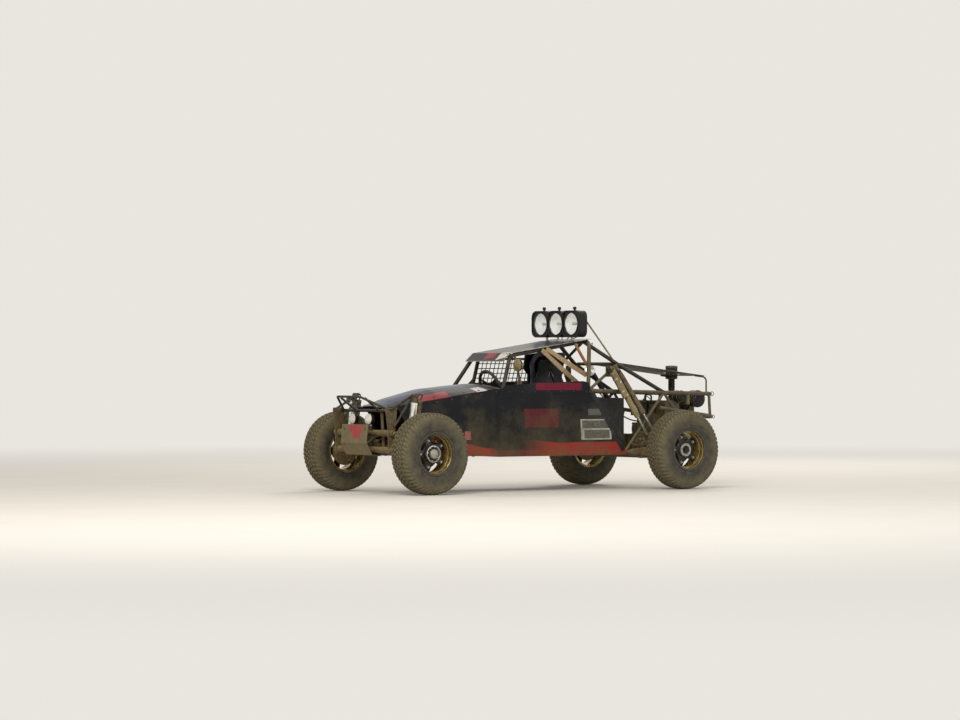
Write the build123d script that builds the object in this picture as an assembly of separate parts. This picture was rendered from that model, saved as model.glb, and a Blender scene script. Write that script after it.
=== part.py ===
"""Desert race buggy: tube chassis, panels, beam front suspension, trailing-arm rear, rear engine.

All lengths are millimetres. +X is forward, +Y is the car's left, +Z is up, z = 0 is the ground.
The origin is under the middle of the car's length. Stations in the tables below are measured
from the front axle, positive forward, and from_front() turns them into X.
"""
import os
from math import atan2, cos, degrees, pi, sin, sqrt, tan

from build123d import *

os.makedirs("parts", exist_ok=True)

# Driving dimensions of the whole car
WHEELBASE = 2900.0
FRONT_TRACK = 1480.0
REAR_TRACK = 1580.0
FRONT_OVERHANG = 412.0
REAR_OVERHANG = 728.0

# Wheels and tyres, 30 inch tyres on 15 inch rims
TYRE_DIAMETER = 752.0
TYRE_WIDTH = 240.0
TYRE_SHOULDER_WIDTH = 196.0
LUG_COUNT = 24
LUG_DEPTH = 13.0
LUG_SHARE = 0.54
LUG_MIDDLE_GAP = 12.0
SIDEWALL_RADIUS = 296.0
SHOULDER_RADIUS = 337.0
DISH_RADIUS = 262.0
RIM_BEAD_DIAMETER = 381.0
RIM_WIDTH = 216.0
RIM_WALL = 5.0
RIM_LIP_HEIGHT = 13.0
RIM_WELL_DEPTH = 22.0
RIM_WELL_WIDTH = 110.0
RIM_DISC_OFFSET = 18.0
RIM_DISC_THICKNESS = 7.0
RIM_DISC_RISE = 10.0
RIM_WINDOW_INNER = 98.0
RIM_WINDOW_OUTER = 160.0
RIM_WINDOW_SHARE = 0.62
HUB_PILOT_DIAMETER = 118.0
# front or not: ring radius and reach, floor of its bowl, cap radius and reach, from the wheel's middle
HUB_SIZES = {True: (80.0, 66.0, 46.0, 44.0, 84.0), False: (66.0, 54.0, 36.0, 26.0, 60.0)}
HUB_BODY_DIAMETER = 96.0
HUB_BODY_LENGTH = 74.0
STUD_CIRCLE = 252.0
STUD_DIAMETER = 22.0
STUD_HEIGHT = 12.0
STUD_COUNT = 5
BRAKE_DISC_DIAMETER = 268.0
BRAKE_DISC_THICKNESS = 10.0
BRAKE_DISC_INSET = 62.0

# Fits
SEAT_GAP = 0.3
PIN_CLEARANCE = 0.05
MOVING_CLEARANCE = 6.0

# Frame tubes
MAIN_TUBE = 38.0
BRACE_TUBE = 28.0
LIGHT_TUBE = 22.0

# Side planes of the body, half widths at the floor and how much they lean and taper in
FLOOR_HALF_WIDTH = 500.0
SIDE_LEAN = 0.10
SEAM_STATION = -950.0
NOSE_TAPER = 0.20

# Heights of the frame
FLOOR_HEIGHT = 335.0
SILL_HEIGHT = 962.0
ROOF_FRONT_HEIGHT = 1275.0
ROOF_REAR_HEIGHT = 1412.0
NOSE_TOP_HEIGHT = 765.0
NOSE_FLOOR_HEIGHT = 372.0
REAR_RAIL_HEIGHT = 905.0
REAR_LOWER_HEIGHT = 682.0

# Stations of the frame, from the front axle
BEAM_STATION = 220.0
BEAM_TUBE_DIAMETER = 60.0
NOSE_STATION = BEAM_STATION - BEAM_TUBE_DIAMETER / 2 - BRACE_TUBE / 2 - SEAT_GAP
COWL_STATION = -1045.0
ROOF_FRONT_STATION = -1225.0
HOOP_TOP_STATION = -2145.0
HOOP_SILL_STATION = -2050.0
HOOP_FOOT_STATION = -2440.0
STAY_BEND_STATION = -2460.0
STAY_BEND_HEIGHT = 1195.0
STAY_FOOT_STATION = -2980.0
ROOF_HALF_WIDTH = 292.0
HOOP_HALF_WIDTH = 310.0
STAY_BEND_HALF_WIDTH = 340.0
REAR_HALF_WIDTH = 385.0
REAR_LOWER_HALF_WIDTH = 405.0
STAY_HALF_WIDTH = 215.0
POST_STATION = -1275.0
POST_RISE = 8.0
SEAT_CROSS_STATION = -1500.0
PIVOT_TUBE_STATION = HOOP_FOOT_STATION - MAIN_TUBE - SEAT_GAP
PIVOT_TUBE_HALF_LENGTH = 572.0
BUMPER_START_STATION = -2920.0
BUMPER_START_HEIGHT = 774.0
CRADLE_STATION = -2900.0
CRADLE_HALF_WIDTH = 300.0
CRADLE_HEIGHT = 300.0
KNEE_STATION = -3110.0
KNEE_HEIGHT = 745.0
UPRIGHT_INSET = 60.0
FRONT_TUBE_STATION = NOSE_STATION + BRACE_TUBE / 2 + SEAT_GAP
BUMPER_HALF_WIDTH = 190.0
BUMPER_HEIGHT = 895.0
BUMPER_FOOT_HALF_WIDTH = 400.0

# Tow tabs
TOW_TAB_THICKNESS = 12.0
TOW_TAB_WIDTH = 44.0
TOW_TAB_DROP = 26.0
TOW_HOLE_DIAMETER = 22.0

# Bend radii of the frame tubes
RAIL_BEND = 150.0
TAIL_BEND = 90.0
ROOF_BEND = 120.0
STAY_BEND = 160.0
BUMPER_BEND = 50.0

# Sheet metal
PANEL_THICKNESS = 3.0
SKID_THICKNESS = 5.0

# Front beam and its arms
BEAM_LOWER_HEIGHT = 405.0
BEAM_SPACING = 155.0
BEAM_HALF_LENGTH = 460.0
TOWER_HALF_WIDTH = 440.0
TOWER_THICKNESS = 12.0
TOWER_TOP_HEIGHT = 790.0
ARM_BOSS_DIAMETER = 56.0
ARM_BOSS_LENGTH = 28.0
ARM_DROP = 100.0
ARM_WIDTH = 26.0
ARM_HEIGHT = 40.0
KINGPIN_HALF_TRACK = 600.0
KINGPIN_DIAMETER = 24.0
KNUCKLE_BODY_DIAMETER = 46.0
KNUCKLE_EAR_THICKNESS = 26.0
SPINDLE_DIAMETER = 34.0

# Steering
STEERING_ARM_LENGTH = 130.0
STEERING_ARM_THICKNESS = 14.0
STEERING_ARM_WIDTH = 30.0
TIE_ROD_DIAMETER = 18.0
ROD_END_DIAMETER = 34.0
ROD_END_LENGTH = 24.0
RACK_ROD_DIAMETER = 24.0
RACK_HOUSING_DIAMETER = 52.0
RACK_HOUSING_LENGTH = 300.0
STEERING_WHEEL_DIAMETER = 330.0
STEERING_GRIP_DIAMETER = 28.0
STEERING_WHEEL_STATION = -1205.0
STEERING_WHEEL_HEIGHT = 985.0
COLUMN_DIAMETER = 22.0
COLUMN_ANGLE = 24.0
COLUMN_LENGTH = 620.0

# Shocks
SHOCK_BODY_DIAMETER = 52.0
SHOCK_ROD_DIAMETER = 22.0
SHOCK_EYE_DIAMETER = 40.0
SHOCK_EYE_LENGTH = 30.0

# Lamp bar
LAMP_BAR_STATION = -2020.0
LAMP_BAR_HALF_WIDTH = 385.0
LAMP_BAR_BOTTOM = 1452.0
LAMP_BAR_TOP = 1708.0
LAMP_BAR_DEPTH = 88.0
LAMP_LENS_DIAMETER = 216.0
LAMP_PITCH = 246.0
LAMP_WALL = 6.0
LAMP_KNOB_HEIGHT = 36.0

# Seat
SEAT_HALF_WIDTH = 205.0
SEAT_SHELL = 22.0
SEAT_FRONT_STATION = -1330.0
SEAT_BACK_FOOT_STATION = -1760.0
SEAT_BACK_TOP_STATION = -1915.0
SEAT_PAN_HEIGHT = 420.0
SEAT_TOP_HEIGHT = 1305.0

# Engine and gearbox
GEARBOX_FRONT_STATION = -2600.0
GEARBOX_REAR_STATION = -3060.0
ENGINE_REAR_STATION = -3500.0
ENGINE_HALF_WIDTH = 270.0
ENGINE_BOTTOM = 430.0
FAN_STATION = -3450.0
FAN_HEIGHT = 745.0
FAN_RADIUS = 145.0
FAN_LENGTH = 110.0
CYLINDER_FIRST = 120.0
CYLINDER_PITCH = 130.0
CYLINDER_HEIGHT = 560.0
CYLINDER_DIAMETER = 118.0
ENGINE_TOP = 840.0

# Rear trailing arms
REAR_PIVOT_SETBACK = 66.0
REAR_PIN_DIAMETER = 24.0
REAR_BOSS_DIAMETER = 62.0
REAR_BOSS_LENGTH = 92.0
REAR_BOSS_MIDDLE = 502.0
ARM_TOP_HEIGHT = 362.0
REAR_EAR_THICKNESS = 10.0
SHOCK_TAB_LENGTH = 60.0
SHOCK_TAB_STANDOFF = 1.0
CARRIER_DIAMETER = 128.0
CARRIER_INNER = 548.0
CARRIER_OUTER = 640.0
SHOCK_TOP_STATION = -2310.0
SHOCK_TOP_HALF_WIDTH = 450.0
SHOCK_TOP_HEIGHT = 1150.0
SHOCK_FOOT_STATION = -2700.0
SHOCK_FOOT_HALF_WIDTH = 556.0
SHOCK_FOOT_HEIGHT = 452.0
SECOND_TOP_STATION = -2408.0
SECOND_TOP_HALF_WIDTH = 425.0
SECOND_TOP_HEIGHT = 1128.0
SECOND_FOOT_STATION = -2790.0
SECOND_FOOT_HEIGHT = 470.0

# Front shocks
FRONT_SHOCK_HALF_WIDTH = 505.0
FRONT_SHOCK_TOP_STATION = 0.0
FRONT_SHOCK_TOP_HEIGHT = 905.0
FRONT_SHOCK_FOOT_STATION = 75.0
FRONT_SHOCK_FOOT_HEIGHT = 385.0
SHOCK_PIN_DIAMETER = 16.0

# Small places
BUMPER_STRUT_SPREAD = 12.0
PINION_TOWER_LENGTH = 60.0
PINION_TOWER_DIAMETER = 40.0
RACK_PAD_HALF_SPREAD = 110.0
RACK_REACH = 1.48
PANEL_SEAM = 1.0
NOSE_PANEL_TOP_STATION = 40.0
NOSE_PANEL_FOOT_STATION = -190.0
SKID_HALF_WIDTH = 215.0
DASH_STATION = -1030.0
DASH_CROWN = 36.0
HOOD_REAR_STATION = -1014.0
HOOD_LIFT = 0.4
DASH_BOTTOM = 760.0
FIREWALL_HALF_WIDTH = 400.0
LAMP_CORNER = 60.0
LAMP_BACK_DEPTH = 34.0
LAMP_FRAME_GAP = 40.0
LAMP_POST_HALF_SPREAD = 200.0
LAMP_POST_DIAMETER = 18.0
LAMP_STRUT_HALF_WIDTH = 300.0
LAMP_STRUT_DIAMETER = 16.0
LAMP_STRUT_FOOT_STATION = -2400.0
LAMP_STRUT_FOOT_HEIGHT = 1245.0
DRIVE_HEIGHT = 410.0
FLANGE_HALF_SPREAD = 150.0
INTAKE_SETBACK = 330.0
AIR_CLEANER_TOP = 1182.0
AIR_CLEANER_FOOT = 1050.0
AIR_CLEANER_RADIUS = 60.0
INTAKE_RADIUS = 32.0
AIR_CLEANER_MARGIN = 18.0
TANK_BOTTOM = FLOOR_HEIGHT + MAIN_TUBE + SEAT_GAP
TANK_TOP = 870.0
TANK_STANDOFF = 30.0
TANK_REAR_STATION = -2570.0
TANK_HALF_WIDTH = 300.0
FILLER_STATION = -2150.0
FILLER_HALF_WIDTH = 330.0
FILLER_HEIGHT = 1140.0
DECK_STAY_DIAMETER = 16.0
DECK_STAY_HALF_WIDTH = 270.0
DECK_STAY_BEND = 45.0
DECK_STAY_LAP = 90.0
DECK_FRONT_STATION = STAY_BEND_STATION
DECK_REAR_STATION = -3560.0
DECK_FRONT_HEIGHT = STAY_BEND_HEIGHT + BRACE_TUBE / 2 + 2 * SEAT_GAP
DECK_REAR_HEIGHT = 1080.0
DECK_HALF_WIDTH = 300.0
MIRROR_STATION = -1215.0
MIRROR_HEIGHT = 1185.0
NET_FRONT_STATION = -1300.0
NET_REAR_STATION = -1990.0
NET_TOP_HEIGHT = 1250.0
NET_PITCH = 50.0
NET_STRAP = 8.0
NET_THICKNESS = 3.0

# Derived places
TOP_RAIL_SLOPE = (SILL_HEIGHT - MAIN_TUBE / 2 - NOSE_TOP_HEIGHT) / (NOSE_STATION - SEAM_STATION)
TYRE_RADIUS = TYRE_DIAMETER / 2
BEAD_RADIUS = RIM_BEAD_DIAMETER / 2
LUG_ROOT_RADIUS = TYRE_RADIUS - LUG_DEPTH
AXLE_HEIGHT = TYRE_RADIUS
FRONT_AXLE_X = (WHEELBASE + REAR_OVERHANG - FRONT_OVERHANG) / 2
REAR_AXLE_X = FRONT_AXLE_X - WHEELBASE
BEAM_UPPER_HEIGHT = BEAM_LOWER_HEIGHT + BEAM_SPACING
TIE_ROD_HEIGHT = AXLE_HEIGHT + 62.0
LEFT, RIGHT = 1, -1
SIDE_NAMES = {LEFT: "left", RIGHT: "right"}


def from_front(station):
    """X of a station measured from the front axle, positive forward."""
    return FRONT_AXLE_X + station


def side_y(station, height):
    """Half width of the body's side plane, which leans in with height and tapers to the nose."""
    half = FLOOR_HALF_WIDTH - SIDE_LEAN * (height - FLOOR_HEIGHT)
    return half - NOSE_TAPER * max(station - SEAM_STATION, 0.0)


def place(station, half_width, height, side=LEFT):
    """A point by its station, its distance from the middle plane and its height."""
    return Vector(from_front(station), side * half_width, height)


def on_side(station, height, side=LEFT):
    """A main tube's centre inside the side plane, so that the panel lies flat on the tube."""
    taper = NOSE_TAPER if station >= SEAM_STATION else 0.0
    inset = MAIN_TUBE / 2 * sqrt(1 + SIDE_LEAN**2 + taper**2)
    return place(station, side_y(station, height) - inset, height, side)


def top_rail_height(station):
    """Height of the sill rail's centre, which falls from the seam to the nose."""
    return SILL_HEIGHT - MAIN_TUBE / 2 - TOP_RAIL_SLOPE * max(station - SEAM_STATION, 0.0)


def rod(start, end, diameter, overrun=0.0):
    """A round bar or closed tube between two points, run past both of them where it is asked to."""
    axis = end - start
    start = start - axis.normalized() * overrun
    return Solid.make_cylinder(diameter / 2, axis.length + 2 * overrun, Plane(origin=start, z_dir=axis))


def largest(shape):
    """The largest solid of a shape, which drops the slivers that a coped end leaves."""
    return max(shape.solids(), key=lambda solid: solid.volume)


def bent_tube(points, radii, diameter):
    """A tube bent along straight runs joined by tangent arcs."""
    path = FilletPolyline(*points, radius=radii)
    section = Plane(origin=points[0], z_dir=points[1] - points[0]) * Circle(diameter / 2)
    return largest(sweep(section, path=path))


class Framework:
    """Tubes welded to one another: each new tube is coped round those that are there already."""

    def __init__(self):
        self.cutters = []

    def add_tube(self, start, end, diameter, overrun=None):
        """A straight tube, run past both joints and cut back a weld gap from every tube it meets."""
        past = diameter / 2 if overrun is None else overrun
        body = self.cope(rod(start, end, diameter, past))
        self.cutters.append(rod(start, end, diameter + 2 * SEAT_GAP, past))
        return body

    def add_bent(self, points, radii, diameter):
        """A bent tube, cut in the same way."""
        body = self.cope(bent_tube(points, radii, diameter))
        self.cutters.append(bent_tube(points, radii, diameter + 2 * SEAT_GAP))
        return body

    def cope(self, body):
        """The body less the tubes that it meets."""
        for cutter in self.cutters:
            if near(body, cutter) and body.distance_to(cutter) < SEAT_GAP:
                body = largest(body.cut(cutter))
        return body


def near(shape, other, margin=2.0):
    """Whether two shapes' boxes meet, with a margin."""
    a, b = shape.bounding_box(), other.bounding_box()
    return all(
        getattr(a.min, axis) - margin < getattr(b.max, axis)
        and getattr(b.min, axis) - margin < getattr(a.max, axis)
        for axis in "XYZ"
    )


FRAME = Framework()


def plate(points, thickness, direction):
    """A flat sheet from the corners of one face, thickened along a direction."""
    return prism(points, direction.normalized() * thickness)


def prism(points, reach):
    """A solid with straight walls: a flat outline carried along a vector."""
    face = Face(Wire.make_polygon(points, close=True))
    if face.normal_at().dot(reach) < 0:
        face = Face(Wire.make_polygon(points[::-1], close=True))
    return largest(Solid.extrude(face, reach))


def turned(profile_points, origin, axis):
    """A solid of revolution. Its profile gives pairs of radius and place along the axis."""
    radial = Vector(1, 0, 0) if abs(axis.Z) > 0.9 else Vector(0, 0, 1)
    plane = Plane(origin=origin, x_dir=radial, z_dir=radial.cross(axis))
    sketch = plane * make_face(Polyline(*profile_points, close=True))
    return largest(revolve(sketch, axis=Axis(origin, axis)))


def slab(low, high, edge_radius=0.0):
    """A block between two corners, with its edges rounded where a radius is given."""
    size = high - low
    block = Pos(*((low + high) / 2)) * Box(abs(size.X), abs(size.Y), abs(size.Z))
    if edge_radius:
        block = fillet(block.edges(), edge_radius)
    return largest(block)


def save(name, *solids):
    """Write one node's solids to its own file."""
    shape = solids[0] if len(solids) == 1 else Compound(children=list(solids))
    export_step(shape, f"parts/{name}.step")


def wheel_centre(front, side):
    """Centre of a wheel."""
    half_track = (FRONT_TRACK if front else REAR_TRACK) / 2
    return Vector(FRONT_AXLE_X if front else REAR_AXLE_X, side * half_track, AXLE_HEIGHT)


def ring_of(centre, radius, along):
    """Corners of a regular polygon square to the axle, whose flats lie at a radius."""
    reach = radius / cos(pi / LUG_COUNT)
    corners = []
    for index in range(LUG_COUNT):
        angle = 2 * pi * (index + 0.5) / LUG_COUNT - pi / 2
        corners.append(centre + Vector(reach * cos(angle), along, reach * sin(angle)))
    return corners


def stack_of(centre, rows):
    """A solid of flat faces about the axle, from pairs of place along the axle and radius."""
    rings = [ring_of(centre, radius, along) for along, radius in rows]
    faces = [Face(Wire.make_polygon(ring, close=True)) for ring in (rings[0], rings[-1])]
    for ring, following in zip(rings, rings[1:]):
        for index in range(LUG_COUNT):
            after = (index + 1) % LUG_COUNT
            corners = [ring[index], ring[after], following[after], following[index]]
            faces.append(Face(Wire.make_polygon(corners, close=True)))
    return Solid(Shell(faces))


def lug_ring(centre, low, high, turn):
    """A toothed ring: a lug and a gap in turn round the tread, from one place along the axle to another."""
    corners = []
    share = LUG_SHARE * pi / LUG_COUNT
    for index in range(LUG_COUNT):
        middle = 2 * pi * index / LUG_COUNT - pi / 2 + turn
        for angle, radius in (
            (middle - share * 1.12, LUG_ROOT_RADIUS / cos(share)), (middle - share, TYRE_RADIUS / cos(share)),
            (middle + share, TYRE_RADIUS / cos(share)), (middle + share * 1.12, LUG_ROOT_RADIUS / cos(share)),
        ):
            corners.append(centre + Vector(radius * cos(angle), low, radius * sin(angle)))
    return prism(corners, Vector(0, high - low, 0))


def make_tyre(centre):
    """Faceted tyre: carcass with dished sides, and two staggered rows of lugs."""
    half = TYRE_WIDTH / 2
    edge = TYRE_SHOULDER_WIDTH / 2
    rows = ((half, SIDEWALL_RADIUS), (half - 9, SHOULDER_RADIUS), (edge, LUG_ROOT_RADIUS - 7))
    outline = [(-along, radius) for along, radius in rows] + [(along, radius) for along, radius in rows[::-1]]
    body = stack_of(centre, outline)
    for row, (low, high) in enumerate(((-edge, -LUG_MIDDLE_GAP / 2), (LUG_MIDDLE_GAP / 2, edge))):
        body = largest(body.fuse(lug_ring(centre, low, high, row * pi / LUG_COUNT)))
    bead = BEAD_RADIUS + SEAT_GAP
    seat = RIM_WIDTH / 2 - 2 * RIM_WALL
    for side in (LEFT, RIGHT):
        dish = stack_of(centre, ((side * (half + 1), DISH_RADIUS), (side * seat, bead)))
        body = largest(body.cut(dish))
    return largest(body.cut(stack_of(centre, ((-half, bead), (half, bead)))))


def arm_window(centre, index, outward):
    """Cutter for one opening of the wheel's centre, between two of its five arms."""
    corners = []
    middle = 2 * pi * (index + 0.5) / STUD_COUNT
    half = pi / STUD_COUNT * RIM_WINDOW_SHARE
    for angle, radius in (
        (-0.55 * half, RIM_WINDOW_INNER), (0.55 * half, RIM_WINDOW_INNER), (half, RIM_WINDOW_INNER + 34),
        (half, RIM_WINDOW_OUTER - 6), (half / 2, RIM_WINDOW_OUTER), (-half / 2, RIM_WINDOW_OUTER),
        (-half, RIM_WINDOW_OUTER - 6), (-half, RIM_WINDOW_INNER + 34),
    ):
        corners.append(centre + Vector(radius * cos(middle + angle), 0, radius * sin(middle + angle)))
    return prism(corners, outward * 80)


def make_rim(centre, side, front):
    """Rim shell, black five-armed centre, and the hub that carries the brake disc."""
    half = RIM_WIDTH / 2
    bead = BEAD_RADIUS
    well = bead - RIM_WELL_DEPTH
    half_well = RIM_WELL_WIDTH / 2
    lip = bead + RIM_LIP_HEIGHT
    outside = [
        (lip, -half), (lip, -half + RIM_WALL), (bead, -half + 2 * RIM_WALL),
        (bead, -half_well - 18), (well, -half_well),
    ]
    outside += [(radius, -along) for radius, along in reversed(outside)]
    inside = [
        (lip - RIM_WALL, half), (bead - RIM_WALL, half - RIM_WALL), (bead - RIM_WALL, half_well + 16),
        (well - RIM_WALL, half_well - 4),
    ]
    inside += [(radius, -along) for radius, along in reversed(inside)]
    outward = Vector(0, side, 0)
    barrel = turned(outside + inside, centre, outward)
    face = RIM_DISC_OFFSET
    disc = turned(
        [
            (HUB_PILOT_DIAMETER / 2 - 20, face + 4), (HUB_PILOT_DIAMETER / 2 + 34, face + 4),
            (STUD_CIRCLE / 2, face + RIM_DISC_RISE), (well - RIM_WALL + 1, face + 8),
            (well - RIM_WALL + 1, face + 8 - RIM_DISC_THICKNESS),
            (STUD_CIRCLE / 2, face + RIM_DISC_RISE - RIM_DISC_THICKNESS),
            (HUB_PILOT_DIAMETER / 2 + 34, face + 4 - RIM_DISC_THICKNESS),
            (HUB_PILOT_DIAMETER / 2 - 20, face + 4 - RIM_DISC_THICKNESS),
        ],
        centre,
        outward,
    )
    for index in range(STUD_COUNT):
        disc = disc.cut(arm_window(centre, index, outward))
    wheel = barrel.fuse(largest(disc))
    ring, ring_reach, bowl, cap, cap_reach = HUB_SIZES[front]
    hub = turned(
        [
            (0, face + 3), (ring - 7, face + 3), (ring, ring_reach - 8), (ring - 4, ring_reach),
            (ring - 14, ring_reach), (cap + 5, bowl), (cap, bowl), (cap, cap_reach - 6), (cap - 8, cap_reach),
            (0, cap_reach),
        ],
        centre,
        outward,
    )
    studs = []
    for index in range(STUD_COUNT):
        angle = 2 * pi * index / STUD_COUNT
        foot = centre + Vector(cos(angle), 0, sin(angle)) * (STUD_CIRCLE / 2) + outward * face
        studs.append(rod(foot, foot + outward * (RIM_DISC_RISE + STUD_HEIGHT), STUD_DIAMETER))
    bore = SPINDLE_DIAMETER / 2 + PIN_CLEARANCE
    inner = face + 4 - RIM_DISC_THICKNESS
    body = turned(
        [
            (bore, inner - HUB_BODY_LENGTH), (BRAKE_DISC_DIAMETER / 2, inner - BRAKE_DISC_INSET),
            (BRAKE_DISC_DIAMETER / 2, inner - BRAKE_DISC_INSET + BRAKE_DISC_THICKNESS),
            (HUB_BODY_DIAMETER / 2, inner - BRAKE_DISC_INSET + BRAKE_DISC_THICKNESS + 6),
            (HUB_BODY_DIAMETER / 2, inner - 8), (HUB_PILOT_DIAMETER / 2 + 30, inner - 8),
            (HUB_PILOT_DIAMETER / 2 + 30, inner + 2), (bore, inner + 2),
        ],
        centre,
        outward,
    )
    return largest(wheel.fuse(hub, body, *studs))


def make_wheels():
    """Four wheels, each a tyre on a rim with its hub."""
    for front in (True, False):
        for side in (LEFT, RIGHT):
            name = f"{'front' if front else 'rear'}_{SIDE_NAMES[side]}"
            centre = wheel_centre(front, side)
            save(f"tyre_{name}", make_tyre(centre))
            save(f"wheel_{name}", make_rim(centre, side, front))


def make_main_hoop():
    """One bent tube: foot, sill, roof and down again, slanting back below the sill."""
    sill = SILL_HEIGHT - MAIN_TUBE / 2
    legs = {}
    for side in (LEFT, RIGHT):
        legs[side] = [
            on_side(HOOP_FOOT_STATION, FLOOR_HEIGHT + MAIN_TUBE / 2, side),
            on_side(HOOP_SILL_STATION, sill, side),
            place(HOOP_TOP_STATION, HOOP_HALF_WIDTH, ROOF_REAR_HEIGHT, side),
        ]
    hoop = FRAME.add_bent(legs[LEFT] + legs[RIGHT][::-1], (110, 80, 80, 110), MAIN_TUBE)
    save("main_hoop", hoop)


def make_side_frames():
    """The two side frames: bent floor rail and sill, posts and diagonals."""
    low = FLOOR_HEIGHT + MAIN_TUBE / 2
    sill = SILL_HEIGHT - MAIN_TUBE / 2
    # station and height along each bent rail
    rails = (
        ((NOSE_STATION, NOSE_FLOOR_HEIGHT), (SEAM_STATION, low), (HOOP_FOOT_STATION, low)),
        ((NOSE_STATION, NOSE_TOP_HEIGHT), (SEAM_STATION, sill), (HOOP_SILL_STATION, sill)),
    )
    # start station and height, end station and height
    braces = (
        (SEAM_STATION, low, SEAM_STATION, sill),
        (NOSE_STATION, NOSE_FLOOR_HEIGHT, NOSE_STATION, NOSE_TOP_HEIGHT),
        (SEAM_STATION, low, HOOP_SILL_STATION, sill),
        (NOSE_STATION, NOSE_FLOOR_HEIGHT, SEAM_STATION, sill),
    )
    for side in (LEFT, RIGHT):
        tubes = []
        for rail in rails:
            points = [on_side(station, height, side) for station, height in rail]
            tubes.append(FRAME.add_bent(points, (RAIL_BEND,), MAIN_TUBE))
        for x0, z0, x1, z1 in braces:
            tubes.append(FRAME.add_tube(on_side(x0, z0, side), on_side(x1, z1, side), BRACE_TUBE, 0))
        save(f"side_frame_{SIDE_NAMES[side]}", *tubes)


def tail_station():
    """Station of the tail tube's centre."""
    return -WHEELBASE - REAR_OVERHANG + MAIN_TUBE / 2


def rear_rail_height(station):
    """Height of the upper rear rail's centre at a station between the hoop and the tail."""
    sill = SILL_HEIGHT - MAIN_TUBE / 2
    share = (station - HOOP_SILL_STATION) / (tail_station() - HOOP_SILL_STATION)
    return sill + share * (REAR_RAIL_HEIGHT - sill)


def rear_rail_half_width(station):
    """Half width of the upper rear rail's centre at a station between the hoop and the tail."""
    sill_half = side_y(HOOP_SILL_STATION, SILL_HEIGHT - MAIN_TUBE / 2) - MAIN_TUBE / 2
    share = (station - HOOP_SILL_STATION) / (tail_station() - HOOP_SILL_STATION)
    return sill_half + share * (REAR_HALF_WIDTH - sill_half)


def on_rear_rail(station, side=LEFT):
    """A point on the upper rear rail's centre."""
    return place(station, rear_rail_half_width(station), rear_rail_height(station), side)


def make_rear_rails():
    """The upper rail that runs round the tail, and the lower bumper rail."""
    tail = tail_station()
    corners = {}
    for side in (LEFT, RIGHT):
        corners[side] = [
            (on_rear_rail(HOOP_SILL_STATION, side), on_rear_rail(tail, side)),
            (
                place(BUMPER_START_STATION, REAR_LOWER_HALF_WIDTH, BUMPER_START_HEIGHT, side),
                place(tail, REAR_LOWER_HALF_WIDTH, REAR_LOWER_HEIGHT, side),
            ),
        ]
    rails = []
    for (start_left, end_left), (start_right, end_right) in zip(corners[LEFT], corners[RIGHT]):
        points = [start_left, end_left, end_right, start_right]
        rails.append(FRAME.add_bent(points, (TAIL_BEND, TAIL_BEND), MAIN_TUBE))
    save("rear_rails", *rails)


def tow_tab(centre, tube_centre, tube_diameter):
    """A tow tab: a plate with a hole, welded below a tube."""
    half = Vector(0, TOW_TAB_THICKNESS / 2, 0)
    web = slab(
        Vector(centre.X - TOW_TAB_WIDTH / 2, -TOW_TAB_THICKNESS / 2, centre.Z),
        Vector(centre.X + TOW_TAB_WIDTH / 2, TOW_TAB_THICKNESS / 2, tube_centre.Z),
    )
    tab = largest(web.fuse(rod(centre - half, centre + half, TOW_TAB_WIDTH)))
    tab = tab.cut(rod(centre - half * 2, centre + half * 2, TOW_HOLE_DIAMETER))
    across = Vector(0, 60, 0)
    return largest(largest(tab).cut(rod(tube_centre - across, tube_centre + across, tube_diameter + 2 * SEAT_GAP)))


def make_tow_tabs():
    """Tow tabs under the front and rear bumper tubes."""
    front = place(FRONT_OVERHANG - LIGHT_TUBE / 2, 0, BUMPER_HEIGHT)
    rear = place(tail_station(), 0, REAR_LOWER_HEIGHT)
    tabs = []
    for tube_centre, diameter in ((front, LIGHT_TUBE), (rear, MAIN_TUBE)):
        tabs.append(tow_tab(tube_centre - Vector(0, 0, diameter / 2 + TOW_TAB_DROP), tube_centre, diameter))
    save("tow_tabs", *tabs)


def make_roof_rails():
    """Two bent tubes a side: screen pillar with roof rail, and rear stay."""
    tubes = []
    for side in (LEFT, RIGHT):
        foot = on_side(COWL_STATION, SILL_HEIGHT - MAIN_TUBE / 2, side)
        front = place(ROOF_FRONT_STATION, ROOF_HALF_WIDTH, ROOF_FRONT_HEIGHT, side)
        top = place(HOOP_TOP_STATION, STAY_HALF_WIDTH, ROOF_REAR_HEIGHT, side)
        bend = place(STAY_BEND_STATION, STAY_BEND_HALF_WIDTH, STAY_BEND_HEIGHT, side)
        tubes.append(FRAME.add_bent([foot, front, top], (ROOF_BEND,), MAIN_TUBE))
        tubes.append(FRAME.add_bent([top, bend, on_rear_rail(STAY_FOOT_STATION, side)], (STAY_BEND,), MAIN_TUBE))
    save("roof_rails", *tubes)


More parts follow.
